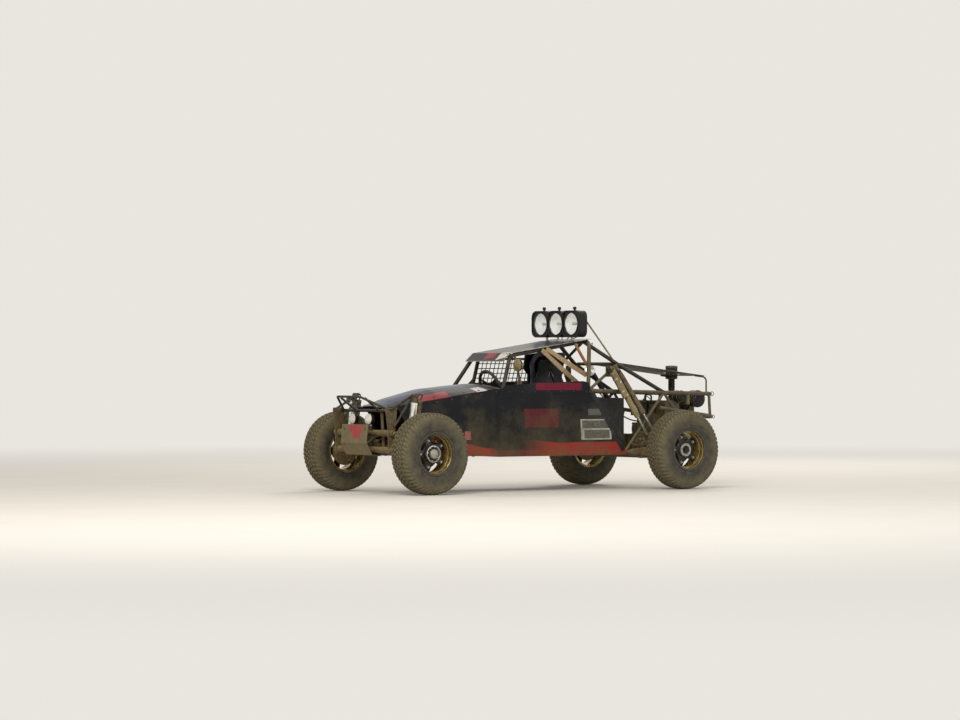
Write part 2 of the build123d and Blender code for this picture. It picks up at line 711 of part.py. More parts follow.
def make_cage_tubes():
    """Cross tubes, posts and braces of the cockpit cage."""
    tubes = []
    low = FLOOR_HEIGHT + MAIN_TUBE / 2
    sill = SILL_HEIGHT - MAIN_TUBE / 2
    # the cross tubes' ends on the left, and their diameters
    crossing = (
        (place(ROOF_FRONT_STATION, ROOF_HALF_WIDTH, ROOF_FRONT_HEIGHT), MAIN_TUBE),
        (on_side(SEAM_STATION, sill), BRACE_TUBE),
        (on_side(HOOP_SILL_STATION, sill), MAIN_TUBE),
        (on_side(SEAM_STATION, low), BRACE_TUBE),
        (on_side(SEAT_CROSS_STATION, low), BRACE_TUBE),
        (place(PIVOT_TUBE_STATION, PIVOT_TUBE_HALF_LENGTH, low), MAIN_TUBE),
        (on_side(NOSE_STATION, NOSE_FLOOR_HEIGHT), BRACE_TUBE),
    )
    for end, diameter in crossing:
        tubes.append(FRAME.add_tube(Vector(end.X, -end.Y, end.Z), end, diameter, 0))
    hoop_top = place(HOOP_TOP_STATION, STAY_HALF_WIDTH, ROOF_REAR_HEIGHT)
    tubes.append(FRAME.add_tube(hoop_top, on_side(HOOP_SILL_STATION, sill, RIGHT), BRACE_TUBE, 0))
    for side in (LEFT, RIGHT):
        bend = place(STAY_BEND_STATION, STAY_BEND_HALF_WIDTH, STAY_BEND_HEIGHT, side)
        tubes.append(FRAME.add_tube(bend, on_side(HOOP_SILL_STATION, sill, side), BRACE_TUBE, 0))
        post_top = place(POST_STATION, ROOF_HALF_WIDTH, ROOF_FRONT_HEIGHT + POST_RISE, side)
        tubes.append(FRAME.add_tube(post_top, on_side(POST_STATION, sill, side), LIGHT_TUBE, 0))
    save("cage_tubes", *tubes)


def make_rear_frame():
    """Diagonals, uprights and cross tubes round the engine."""
    low = FLOOR_HEIGHT + MAIN_TUBE / 2
    for_both = []
    cross = []
    tail = tail_station()
    foot = on_side(HOOP_FOOT_STATION, low)
    cradle = place(CRADLE_STATION, CRADLE_HALF_WIDTH, CRADLE_HEIGHT)
    knee = place(KNEE_STATION, REAR_LOWER_HALF_WIDTH, KNEE_HEIGHT)
    stay_foot = on_rear_rail(STAY_FOOT_STATION)
    # start, end and diameter of each tube on the left
    members = (
        (foot, stay_foot, BRACE_TUBE),
        (place(PIVOT_TUBE_STATION, REAR_LOWER_HALF_WIDTH, low), cradle, MAIN_TUBE),
        (stay_foot, knee, BRACE_TUBE),
        (cradle, knee, BRACE_TUBE),
        (on_rear_rail(tail + UPRIGHT_INSET), place(tail + UPRIGHT_INSET, REAR_LOWER_HALF_WIDTH, REAR_LOWER_HEIGHT), BRACE_TUBE),
    )
    tubes = []
    for side in (LEFT, RIGHT):
        for start, end, diameter in members:
            start, end = Vector(start.X, side * start.Y, start.Z), Vector(end.X, side * end.Y, end.Z)
            tubes.append(FRAME.add_tube(start, end, diameter, 0))
    for end in (stay_foot, cradle, place(STAY_BEND_STATION, STAY_BEND_HALF_WIDTH, STAY_BEND_HEIGHT)):
        tubes.append(FRAME.add_tube(Vector(end.X, -end.Y, end.Z), end, BRACE_TUBE, 0))
    save("rear_frame", *tubes)


def make_front_frame():
    """Front cross tube, bumper hoop with its struts, and the tubes that hold the shocks' tops."""
    top = NOSE_TOP_HEIGHT
    half = TOWER_HALF_WIDTH - TOWER_THICKNESS / 2 - SEAT_GAP
    beside = TOWER_HALF_WIDTH + TOWER_THICKNESS / 2 + SEAT_GAP + LIGHT_TUBE / 2
    tip = FRONT_OVERHANG - LIGHT_TUBE / 2
    cross = [place(FRONT_TUBE_STATION, half, top, side) for side in (RIGHT, LEFT)]
    tubes = [FRAME.add_tube(*cross, BRACE_TUBE, 0)]
    corners = {
        side: [
            place(FRONT_TUBE_STATION, BUMPER_FOOT_HALF_WIDTH, top, side),
            place(tip, BUMPER_HALF_WIDTH, BUMPER_HEIGHT, side),
        ]
        for side in (LEFT, RIGHT)
    }
    tubes.append(FRAME.add_bent(corners[LEFT] + corners[RIGHT][::-1], (BUMPER_BEND, BUMPER_BEND), LIGHT_TUBE))
    for side in (LEFT, RIGHT):
        strut_foot = place(FRONT_TUBE_STATION, BUMPER_HALF_WIDTH, top, side)
        strut_top = place(tip - BUMPER_BEND, BUMPER_HALF_WIDTH + BUMPER_STRUT_SPREAD, BUMPER_HEIGHT - 12, side)
        tubes.append(FRAME.add_tube(strut_foot, strut_top, LIGHT_TUBE, 0))
        peak = place(FRONT_SHOCK_TOP_STATION - 12, beside, FRONT_SHOCK_TOP_HEIGHT + 10, side)
        tubes.append(FRAME.add_tube(place(BEAM_STATION + 24, beside, TOWER_TOP_HEIGHT - 14, side), peak, LIGHT_TUBE, 0))
        tubes.append(FRAME.add_tube(place(BEAM_STATION - 20, beside, BEAM_UPPER_HEIGHT + 60, side), peak, LIGHT_TUBE, 0))
    save("front_frame", *tubes)


def make_front_beam():
    """Two cross tubes between the arms, with a tower plate near each end."""
    parts = []
    for height in (BEAM_LOWER_HEIGHT, BEAM_UPPER_HEIGHT):
        ends = [place(BEAM_STATION, BEAM_HALF_LENGTH, height, side) for side in (RIGHT, LEFT)]
        parts.append(rod(*ends, BEAM_TUBE_DIAMETER))
    # station from the beam, and height, of the tower plate's corners
    outline = (
        (-34, BEAM_LOWER_HEIGHT - 34), (34, BEAM_LOWER_HEIGHT - 34), (40, BEAM_UPPER_HEIGHT + 30),
        (66, TOWER_TOP_HEIGHT - 20), (60, TOWER_TOP_HEIGHT), (-50, TOWER_TOP_HEIGHT), (-56, TOWER_TOP_HEIGHT - 40),
        (-40, BEAM_UPPER_HEIGHT + 30),
    )
    for side in (LEFT, RIGHT):
        inner = TOWER_HALF_WIDTH - TOWER_THICKNESS / 2
        points = [place(BEAM_STATION + along, inner, height, side) for along, height in outline]
        parts.append(plate(points, TOWER_THICKNESS, Vector(0, side, 0)))
    save("front_beam", largest(parts[0].fuse(*parts[1:])))


def arm_end(height, side):
    """Where a front arm meets the kingpin."""
    return place(0, KINGPIN_HALF_TRACK, height - ARM_DROP, side)


def arm_bar(start, end, width, height, end_width, end_height):
    """A tapered bar of rectangular section between two points."""
    axis = end - start
    sections = []
    for origin, wide, tall in ((start, width, height), (end, end_width, end_height)):
        across = Vector(0, 0, 1).cross(axis).normalized()
        sections.append(Plane(origin=origin, x_dir=across, z_dir=axis) * Rectangle(wide, tall))
    return largest(loft(sections))


def make_front_arms():
    """Upper and lower trailing arms a side, with the kingpin bosses and the shock's pin."""
    for side in (LEFT, RIGHT):
        arms = []
        for height in (BEAM_LOWER_HEIGHT, BEAM_UPPER_HEIGHT):
            inner = place(BEAM_STATION, BEAM_HALF_LENGTH + SEAT_GAP, height, side)
            outer = place(BEAM_STATION, BEAM_HALF_LENGTH + SEAT_GAP + ARM_BOSS_LENGTH, height, side)
            end = arm_end(height, side)
            boss = rod(inner, outer, ARM_BOSS_DIAMETER)
            bar = arm_bar((inner + outer) * 0.5, end, ARM_WIDTH, ARM_HEIGHT, ARM_WIDTH - 4, 16)
            half = Vector(0, 0, ARM_HEIGHT / 2)
            eye = rod(end - half, end + half, KNUCKLE_BODY_DIAMETER)
            arm = boss.fuse(bar, eye)
            if height == BEAM_LOWER_HEIGHT:
                reach = place(FRONT_SHOCK_FOOT_STATION, FRONT_SHOCK_HALF_WIDTH - 18, FRONT_SHOCK_FOOT_HEIGHT, side)
                root = place(FRONT_SHOCK_FOOT_STATION, FRONT_SHOCK_HALF_WIDTH + 58, FRONT_SHOCK_FOOT_HEIGHT, side)
                lug = slab(
                    place(FRONT_SHOCK_FOOT_STATION - 18, FRONT_SHOCK_HALF_WIDTH + 26, FRONT_SHOCK_FOOT_HEIGHT - 60, side),
                    place(FRONT_SHOCK_FOOT_STATION + 18, FRONT_SHOCK_HALF_WIDTH + 60, FRONT_SHOCK_FOOT_HEIGHT + 14, side),
                )
                arm = largest(arm).fuse(lug, rod(reach, root, SHOCK_PIN_DIAMETER))
            arm = largest(arm)
            arms.append(largest(arm.cut(rod(end - half * 2, end + half * 2, KINGPIN_DIAMETER + 2 * PIN_CLEARANCE))))
        save(f"front_arms_{SIDE_NAMES[side]}", *arms)


def make_knuckles():
    """Steering knuckles with kingpins, spindle, steering arm and brake caliper."""
    for side in (LEFT, RIGHT):
        low = arm_end(BEAM_LOWER_HEIGHT, side)
        high = arm_end(BEAM_UPPER_HEIGHT, side)
        half = Vector(0, 0, ARM_HEIGHT / 2)
        gap = Vector(0, 0, SEAT_GAP)
        body = rod(low + half + gap, high - half - gap, KNUCKLE_BODY_DIAMETER)
        pins = rod(low - half, high + half, KINGPIN_DIAMETER)
        axle = place(0, KINGPIN_HALF_TRACK, AXLE_HEIGHT, side)
        outward = Vector(0, side, 0)
        centre = wheel_centre(True, side)
        inner = RIM_DISC_OFFSET + 4 - RIM_DISC_THICKNESS
        spindle = rod(axle, centre + outward * (inner - 4), SPINDLE_DIAMETER)
        root = rod(axle, centre + outward * (inner - HUB_BODY_LENGTH - 5), KNUCKLE_BODY_DIAMETER + 6)
        arm_top = TIE_ROD_HEIGHT - ROD_END_LENGTH / 2 - SEAT_GAP
        arm = slab(
            place(0, KINGPIN_HALF_TRACK - STEERING_ARM_WIDTH / 2, arm_top - STEERING_ARM_THICKNESS, side),
            place(STEERING_ARM_LENGTH, KINGPIN_HALF_TRACK + STEERING_ARM_WIDTH / 2, arm_top, side),
        )
        eye_top = place(STEERING_ARM_LENGTH, KINGPIN_HALF_TRACK, arm_top, side)
        eye = rod(eye_top - Vector(0, 0, STEERING_ARM_THICKNESS), eye_top, STEERING_ARM_WIDTH + 8)
        knuckle = body.fuse(pins, spindle, root, arm, eye)
        knuckle = largest(knuckle).fuse(make_caliper(centre, side, inner))
        save(f"knuckle_{SIDE_NAMES[side]}", largest(knuckle))


def make_caliper(centre, side, inner):
    """Brake caliper behind the axle, straddling the disc, on a bracket from the knuckle."""
    disc_near = inner - BRAKE_DISC_INSET
    disc_far = disc_near + BRAKE_DISC_THICKNESS
    clear = MOVING_CLEARANCE - 1
    outer_radius = BRAKE_DISC_DIAMETER / 2 + clear + 14
    block = slab(
        centre + Vector(-outer_radius + 8, side * (disc_near - clear - 16), -46),
        centre + Vector(-outer_radius + 62, side * (disc_far + clear + 8), 46),
    )
    slot = rod(
        centre + Vector(0, side * (disc_near - clear), 0),
        centre + Vector(0, side * (disc_far + clear), 0),
        BRAKE_DISC_DIAMETER + 2 * clear,
    )
    block = largest(block.cut(slot))
    bracket = slab(
        Vector(centre.X - outer_radius + 40, side * (KINGPIN_HALF_TRACK - 8), centre.Z - 22),
        Vector(centre.X, side * (KINGPIN_HALF_TRACK + 14), centre.Z + 22),
    )
    link = slab(
        Vector(centre.X - outer_radius + 10, side * (KINGPIN_HALF_TRACK - 8), centre.Z - 22),
        Vector(centre.X - outer_radius + 40, centre.Y + side * (disc_near - clear - 2), centre.Z + 22),
    )
    return largest(block.fuse(bracket, link))


def column_axis():
    """Direction of the steering column, from the rack up to the wheel."""
    return (steering_centre() - pinion_foot()).normalized()


def steering_centre():
    """Centre of the steering wheel."""
    return place(STEERING_WHEEL_STATION, 0, STEERING_WHEEL_HEIGHT)


def pinion_foot():
    """Where the column's line meets the rack."""
    return place(STEERING_ARM_LENGTH, 0, TIE_ROD_HEIGHT + 20)


def make_rack():
    """Rack housing on the beam, and the rack rod with its tie rods, which slides across the car."""
    middle = place(STEERING_ARM_LENGTH, 0, TIE_ROD_HEIGHT)
    half = Vector(0, RACK_HOUSING_LENGTH / 2, 0)
    housing = rod(middle - half, middle + half, RACK_HOUSING_DIAMETER)
    tower = rod(pinion_foot(), pinion_foot() + column_axis() * PINION_TOWER_LENGTH, PINION_TOWER_DIAMETER)
    pads = []
    for side in (LEFT, RIGHT):
        pads.append(
            slab(
                place(STEERING_ARM_LENGTH, RACK_PAD_HALF_SPREAD - 14, BEAM_LOWER_HEIGHT - 12, side),
                place(BEAM_STATION - BEAM_TUBE_DIAMETER / 2 - SEAT_GAP, RACK_PAD_HALF_SPREAD + 14, TIE_ROD_HEIGHT, side),
            )
        )
    housing = largest(housing.fuse(tower, *pads))
    bore = rod(middle - half * 1.2, middle + half * 1.2, RACK_ROD_DIAMETER + 2 * PIN_CLEARANCE)
    save("rack_housing", largest(housing.cut(bore)))
    rack = rod(middle - half * RACK_REACH, middle + half * RACK_REACH, RACK_ROD_DIAMETER)
    pieces = []
    for side in (LEFT, RIGHT):
        joint = middle + Vector(0, side * RACK_HOUSING_LENGTH / 2 * RACK_REACH, 0)
        end = place(STEERING_ARM_LENGTH, KINGPIN_HALF_TRACK, TIE_ROD_HEIGHT, side)
        up = Vector(0, 0, ROD_END_LENGTH / 2)
        pieces += [rod(joint, end, TIE_ROD_DIAMETER), rod(end - up, end + up, ROD_END_DIAMETER)]
    save("rack_rod", largest(rack.fuse(*pieces)))


def make_steering_wheel():
    """Steering wheel with three spokes on its column."""
    centre = steering_centre()
    axis = column_axis()
    plane = Plane(origin=centre, x_dir=Vector(0, 1, 0), z_dir=axis)
    ring = Solid.make_torus(STEERING_WHEEL_DIAMETER / 2 - STEERING_GRIP_DIAMETER / 2, STEERING_GRIP_DIAMETER / 2, plane)
    hub = rod(centre - axis * 34, centre + axis * 4, 76)
    foot = pinion_foot() + axis * (PINION_TOWER_LENGTH + SEAT_GAP)
    shaft = rod(foot, centre, COLUMN_DIAMETER)
    spokes = []
    for angle in (90, 210, 330):
        direction = plane.x_dir * cos(angle * pi / 180) + plane.y_dir * sin(angle * pi / 180)
        reach = STEERING_WHEEL_DIAMETER / 2 - STEERING_GRIP_DIAMETER / 2
        across = axis.cross(direction)
        corners = [
            centre + direction * along + across * wide - axis * 3
            for along, wide in ((20, -18), (reach, -11), (reach, 11), (20, 18))
        ]
        spokes.append(plate(corners, 5, axis))
    save("steering_wheel", largest(ring.fuse(hub, shaft, *spokes)))


def shock(top, foot, body_share, pin):
    """A shock absorber: body above, rod below, an eye at each end across the car."""
    axis = (top - foot).normalized()
    length = (top - foot).length
    across = Vector(0, SHOCK_EYE_LENGTH / 2, 0)
    body = rod(top - axis * (SHOCK_EYE_DIAMETER / 2 - 4), top - axis * length * body_share, SHOCK_BODY_DIAMETER)
    shaft = rod(foot, top - axis * length * body_share, SHOCK_ROD_DIAMETER)
    eyes = [rod(place_ - across, place_ + across, SHOCK_EYE_DIAMETER) for place_ in (top, foot)]
    whole = largest(body.fuse(shaft, *eyes))
    for place_ in (top, foot):
        whole = whole.cut(rod(place_ - across * 1.5, place_ + across * 1.5, pin + 2 * SEAT_GAP))
        whole = largest(whole)
    return whole


def make_shocks():
    """Front and rear shock absorbers."""
    for side in (LEFT, RIGHT):
        top = place(FRONT_SHOCK_TOP_STATION, FRONT_SHOCK_HALF_WIDTH, FRONT_SHOCK_TOP_HEIGHT, side)
        foot = place(FRONT_SHOCK_FOOT_STATION, FRONT_SHOCK_HALF_WIDTH, FRONT_SHOCK_FOOT_HEIGHT, side)
        save(f"front_shock_{SIDE_NAMES[side]}", shock(top, foot, 0.62, SHOCK_PIN_DIAMETER))
        top = place(SHOCK_TOP_STATION, SHOCK_TOP_HALF_WIDTH, SHOCK_TOP_HEIGHT, side)
        foot = place(SHOCK_FOOT_STATION, SHOCK_FOOT_HALF_WIDTH, SHOCK_FOOT_HEIGHT, side)
        save(f"rear_shock_{SIDE_NAMES[side]}", shock(top, foot, 0.66, SHOCK_PIN_DIAMETER))
        top = place(SECOND_TOP_STATION, SECOND_TOP_HALF_WIDTH, SECOND_TOP_HEIGHT, side)
        foot = place(SECOND_FOOT_STATION, SHOCK_FOOT_HALF_WIDTH, SECOND_FOOT_HEIGHT, side)
        save(f"second_shock_{SIDE_NAMES[side]}", shock(top, foot, 0.60, SHOCK_PIN_DIAMETER))


def rear_pivot(side):
    """Middle of a trailing arm's pivot."""
    return place(PIVOT_TUBE_STATION - REAR_PIVOT_SETBACK, REAR_BOSS_MIDDLE, FLOOR_HEIGHT + MAIN_TUBE / 2, side)


def make_rear_arms():
    """Boxed trailing arms with pivot boss, wheel carrier, spindle and the shock's clevis."""
    for side in (LEFT, RIGHT):
        outward = Vector(0, side, 0)
        pivot = rear_pivot(side)
        axle = wheel_centre(False, side)
        axle_middle = Vector(axle.X, 0, axle.Z)
        half = outward * (REAR_BOSS_LENGTH / 2)
        boss = rod(pivot - half, pivot + half, REAR_BOSS_DIAMETER)
        hub_side = axle_middle + outward * (CARRIER_INNER + CARRIER_OUTER) / 2
        box = arm_bar(pivot, hub_side, REAR_BOSS_LENGTH - 30, REAR_BOSS_DIAMETER - 4, 76, 112)
        carrier = rod(axle_middle + outward * CARRIER_INNER, axle_middle + outward * CARRIER_OUTER, CARRIER_DIAMETER)
        inner = RIM_DISC_OFFSET + 4 - RIM_DISC_THICKNESS
        neck = rod(hub_side, axle + outward * (inner - HUB_BODY_LENGTH - 5), HUB_BODY_DIAMETER - 20)
        spindle = rod(hub_side, axle + outward * (inner - 4), SPINDLE_DIAMETER)
        clevis = []
        reach = outward * (SHOCK_EYE_LENGTH / 2 + 9)
        for station, height in ((SHOCK_FOOT_STATION, SHOCK_FOOT_HEIGHT), (SECOND_FOOT_STATION, SECOND_FOOT_HEIGHT)):
            foot = place(station, SHOCK_FOOT_HALF_WIDTH, height, side)
            clevis.append(rod(foot - reach, foot + reach, SHOCK_PIN_DIAMETER))
            for offset in (-SHOCK_EYE_LENGTH / 2 - SEAT_GAP - 8, SHOCK_EYE_LENGTH / 2 + SEAT_GAP):
                ear_low = foot + Vector(-20, side * offset, ARM_TOP_HEIGHT - height)
                clevis.append(slab(ear_low, foot + Vector(20, side * (offset + 8), 18)))
        arm = boss.fuse(box, carrier, neck, spindle, *clevis)
        bore = rod(pivot - half * 1.2, pivot + half * 1.2, REAR_PIN_DIAMETER + 2 * SEAT_GAP)
        save(f"rear_arm_{SIDE_NAMES[side]}", largest(largest(arm).cut(bore)))


def shock_tab(top, side, below, above):
    """A tab on the hoop's rear brace with the pin of a rear shock's top eye."""
    half_length = SHOCK_TAB_LENGTH / 2
    share = (top.X + half_length - from_front(HOOP_SILL_STATION)) / (STAY_BEND_STATION - HOOP_SILL_STATION)
    sill_half = side_y(HOOP_SILL_STATION, SILL_HEIGHT - MAIN_TUBE / 2) - MAIN_TUBE / 2
    half = sill_half + share * (STAY_BEND_HALF_WIDTH - sill_half) + BRACE_TUBE / 2 + SHOCK_TAB_STANDOFF
    tab = slab(
        Vector(top.X - half_length, side * half, top.Z + below),
        Vector(top.X + half_length, side * (half + REAR_EAR_THICKNESS), top.Z + above),
    )
    tip = top + Vector(0, side * (SHOCK_EYE_LENGTH / 2 + 8), 0)
    return largest(tab.fuse(rod(Vector(top.X, side * half, top.Z), tip, SHOCK_PIN_DIAMETER)))


def make_pivot_brackets():
    """Ears and pins of the trailing arms, and the tabs that hold the rear shocks' tops."""
    solids = []
    for side in (LEFT, RIGHT):
        outward = Vector(0, side, 0)
        pivot = rear_pivot(side)
        reach = REAR_BOSS_LENGTH / 2 + SEAT_GAP
        tube_back = from_front(PIVOT_TUBE_STATION) - MAIN_TUBE / 2 - SEAT_GAP
        ears = []
        for sign in (-1, 1):
            near_face = pivot + outward * sign * reach
            ears.append(
                slab(
                    Vector(tube_back, near_face.Y, pivot.Z - 26),
                    Vector(pivot.X - 26, near_face.Y + side * sign * REAR_EAR_THICKNESS, pivot.Z + 26),
                )
            )
        pin_reach = outward * (reach + REAR_EAR_THICKNESS + 8)
        solids.append(largest(ears[0].fuse(ears[1], rod(pivot - pin_reach, pivot + pin_reach, REAR_PIN_DIAMETER))))
        solids.append(shock_tab(place(SHOCK_TOP_STATION, SHOCK_TOP_HALF_WIDTH, SHOCK_TOP_HEIGHT, side), side, -76, 24))
        top = place(SECOND_TOP_STATION, SECOND_TOP_HALF_WIDTH, SECOND_TOP_HEIGHT, side)
        solids.append(shock_tab(top, side, -30, 52))
    for side in (LEFT, RIGHT):
        top = place(FRONT_SHOCK_TOP_STATION, FRONT_SHOCK_HALF_WIDTH, FRONT_SHOCK_TOP_HEIGHT, side)
        tube_out = TOWER_HALF_WIDTH + TOWER_THICKNESS / 2 + SEAT_GAP + LIGHT_TUBE + SEAT_GAP
        root = Vector(top.X, side * tube_out, top.Z)
        tip = top + Vector(0, side * (SHOCK_EYE_LENGTH / 2 + 8), 0)
        flange = slab(root + Vector(-16, 0, -16), root + Vector(16, side * 6, 16))
        solids.append(largest(rod(root, tip, SHOCK_PIN_DIAMETER).fuse(flange)))
    save("suspension_brackets", *solids)


def panel_from_side(corners, side):
    """A flat side panel from stations and heights of its corners, lying on the frame's outside."""
    points = [place(station, side_y(station, height) + SEAT_GAP, height, side) for station, height in corners]
    across = (points[1] - points[0]).cross(points[2] - points[0])
    if across.Y * side < 0:
        across = across * -1
    return plate(points, PANEL_THICKNESS, across)


def make_side_panels():
    """Cockpit and nose side panels, with the seam between them."""
    for side in (LEFT, RIGHT):
        main = panel_from_side(
            (
                (SEAM_STATION - PANEL_SEAM, FLOOR_HEIGHT), (SEAM_STATION - PANEL_SEAM, SILL_HEIGHT),
                (HOOP_SILL_STATION - 10, SILL_HEIGHT), (HOOP_FOOT_STATION - 10, FLOOR_HEIGHT + 24),
                (HOOP_FOOT_STATION - 6, FLOOR_HEIGHT),
            ),
            side,
        )
        nose = panel_from_side(
            (
                (SEAM_STATION + PANEL_SEAM, FLOOR_HEIGHT), (SEAM_STATION + PANEL_SEAM, SILL_HEIGHT),
                (NOSE_PANEL_TOP_STATION, NOSE_TOP_HEIGHT + MAIN_TUBE / 2 + (NOSE_STATION - NOSE_PANEL_TOP_STATION) * TOP_RAIL_SLOPE),
                (NOSE_PANEL_FOOT_STATION, FLOOR_HEIGHT + 12),
            ),
            side,
        )
        save(f"side_panel_{SIDE_NAMES[side]}", main, nose)


def hood_section(station, half_width, edge, crest, thickness):
    """A crowned section across the hood: an arc above, the same arc a thickness lower below."""
    left, middle, right = (-half_width, edge), (0, crest), (half_width, edge)
    plane = Plane(origin=(from_front(station), 0, 0), x_dir=(0, 1, 0), z_dir=(1, 0, 0))
    drop = thickness
    upper = ThreePointArc(left, middle, right)
    lower = ThreePointArc((half_width, edge - drop), (0, crest - drop), (-half_width, edge - drop))
    sides = [Line(right, (half_width, edge - drop)), Line((-half_width, edge - drop), left)]
    return plane * make_face([upper, sides[0], lower, sides[1]])


def make_hood():
    """Hood, crowned across and falling to the nose."""
    # station and rise of the crest over the edge
    rows = ((NOSE_STATION - 6, 20), (-20, 56), (-400, 86), (-700, 66), (SEAM_STATION, 44), (HOOD_REAR_STATION, 42))
    faces = []
    for station, rise in rows:
        edge = top_rail_height(station) + MAIN_TUBE / 2 + PANEL_THICKNESS + HOOD_LIFT
        faces.append(hood_section(station, side_y(station, edge), edge, edge + rise, PANEL_THICKNESS))
    save("hood", largest(loft(faces, ruled=True)))


def roof_underside(station):
    """Height of the roof sheet's under side, which lies on the rails and cross tubes."""
    slope = (ROOF_REAR_HEIGHT - ROOF_FRONT_HEIGHT) / (HOOP_TOP_STATION - ROOF_FRONT_STATION)
    lift = (MAIN_TUBE / 2 + SEAT_GAP) * sqrt(1 + slope**2)
    return ROOF_FRONT_HEIGHT + lift + (station - ROOF_FRONT_STATION) * slope


def make_roof():
    """Roof sheet over the rails, with a visor that turns down at the front."""
    rear = HOOP_TOP_STATION - 25
    # station and height of the sheet's under side, from the visor's edge to the rear
    line = (
        (ROOF_FRONT_STATION + 92, ROOF_FRONT_HEIGHT - 54),
        (ROOF_FRONT_STATION + 8, roof_underside(ROOF_FRONT_STATION) + 1.5),
        (rear, roof_underside(rear)),
    )
    under = [place(station, ROOF_HALF_WIDTH + 14, height, RIGHT) for station, height in line]
    over = [point + Vector(0, 0, PANEL_THICKNESS) for point in reversed(under)]
    save("roof_panel", prism(under + over, Vector(0, 2 * (ROOF_HALF_WIDTH + 14), 0)))


def make_floor():
    """Floor pan under the rails, turned up into the skid plate at the nose."""
    low = FLOOR_HEIGHT - SEAT_GAP
    # station and height of the plate's inner side, then how far its outer side lies ahead and below
    nose = (
        (BEAM_STATION + 105, 640, SKID_THICKNESS, 0),
        (BEAM_STATION + 122, 470, SKID_THICKNESS, 0.3 * SKID_THICKNESS),
        (BEAM_STATION + 60, 362, 0.4 * SKID_THICKNESS, SKID_THICKNESS),
        (NOSE_STATION, NOSE_FLOOR_HEIGHT - BRACE_TUBE / 2 - SEAT_GAP, 0, SKID_THICKNESS),
        (SEAM_STATION, low, 0, SKID_THICKNESS),
    )
    points = [place(station, SKID_HALF_WIDTH, height, RIGHT) for station, height, _, _ in nose]
    below = [
        place(station + ahead, SKID_HALF_WIDTH, height - under, RIGHT) for station, height, ahead, under in reversed(nose)
    ]
    skid = prism(points + below, Vector(0, 2 * SKID_HALF_WIDTH, 0))
    half = side_y(SEAM_STATION, FLOOR_HEIGHT) - 4
    pan = slab(
        place(SEAM_STATION - SEAT_GAP, half, low, RIGHT), place(HOOP_FOOT_STATION, half, low - SKID_THICKNESS)
    )
    save("floor_pan", pan)
    save("skid_plate", skid)


def make_dash():
    """Dash panel under the hood's rear edge, open for the column."""
    station = DASH_STATION
    half = on_side(station, SILL_HEIGHT - MAIN_TUBE / 2).Y - MAIN_TUBE / 2 - SEAT_GAP
    plane = Plane(origin=(from_front(station), 0, 0), x_dir=(0, 1, 0), z_dir=(1, 0, 0))
    top = SILL_HEIGHT - 4
    outline = [
        ThreePointArc((-half, top), (0, top + DASH_CROWN), (half, top)), Line((half, top), (half, DASH_BOTTOM)),
        Line((half, DASH_BOTTOM), (-half, DASH_BOTTOM)), Line((-half, DASH_BOTTOM), (-half, top)),
    ]
    panel = largest(extrude(plane * make_face(outline), PANEL_THICKNESS))
    panel = panel.cut(rod(pinion_foot(), steering_centre(), COLUMN_DIAMETER + 24))
    save("dash_panel", largest(panel))


def make_firewall():
    """Sheet behind the seat, in the slanted plane of the hoop's lower legs."""
    half = FIREWALL_HALF_WIDTH
    shift = MAIN_TUBE / 2 + SEAT_GAP
    top = place(HOOP_SILL_STATION + shift, half, SILL_HEIGHT - 40)
    foot = place(HOOP_FOOT_STATION + shift + 4, half, FLOOR_HEIGHT)
    points = [top, foot, Vector(foot.X, -foot.Y, foot.Z), Vector(top.X, -top.Y, top.Z)]
    save("firewall", plate(points, PANEL_THICKNESS, Vector(1, 0, 0.6)))


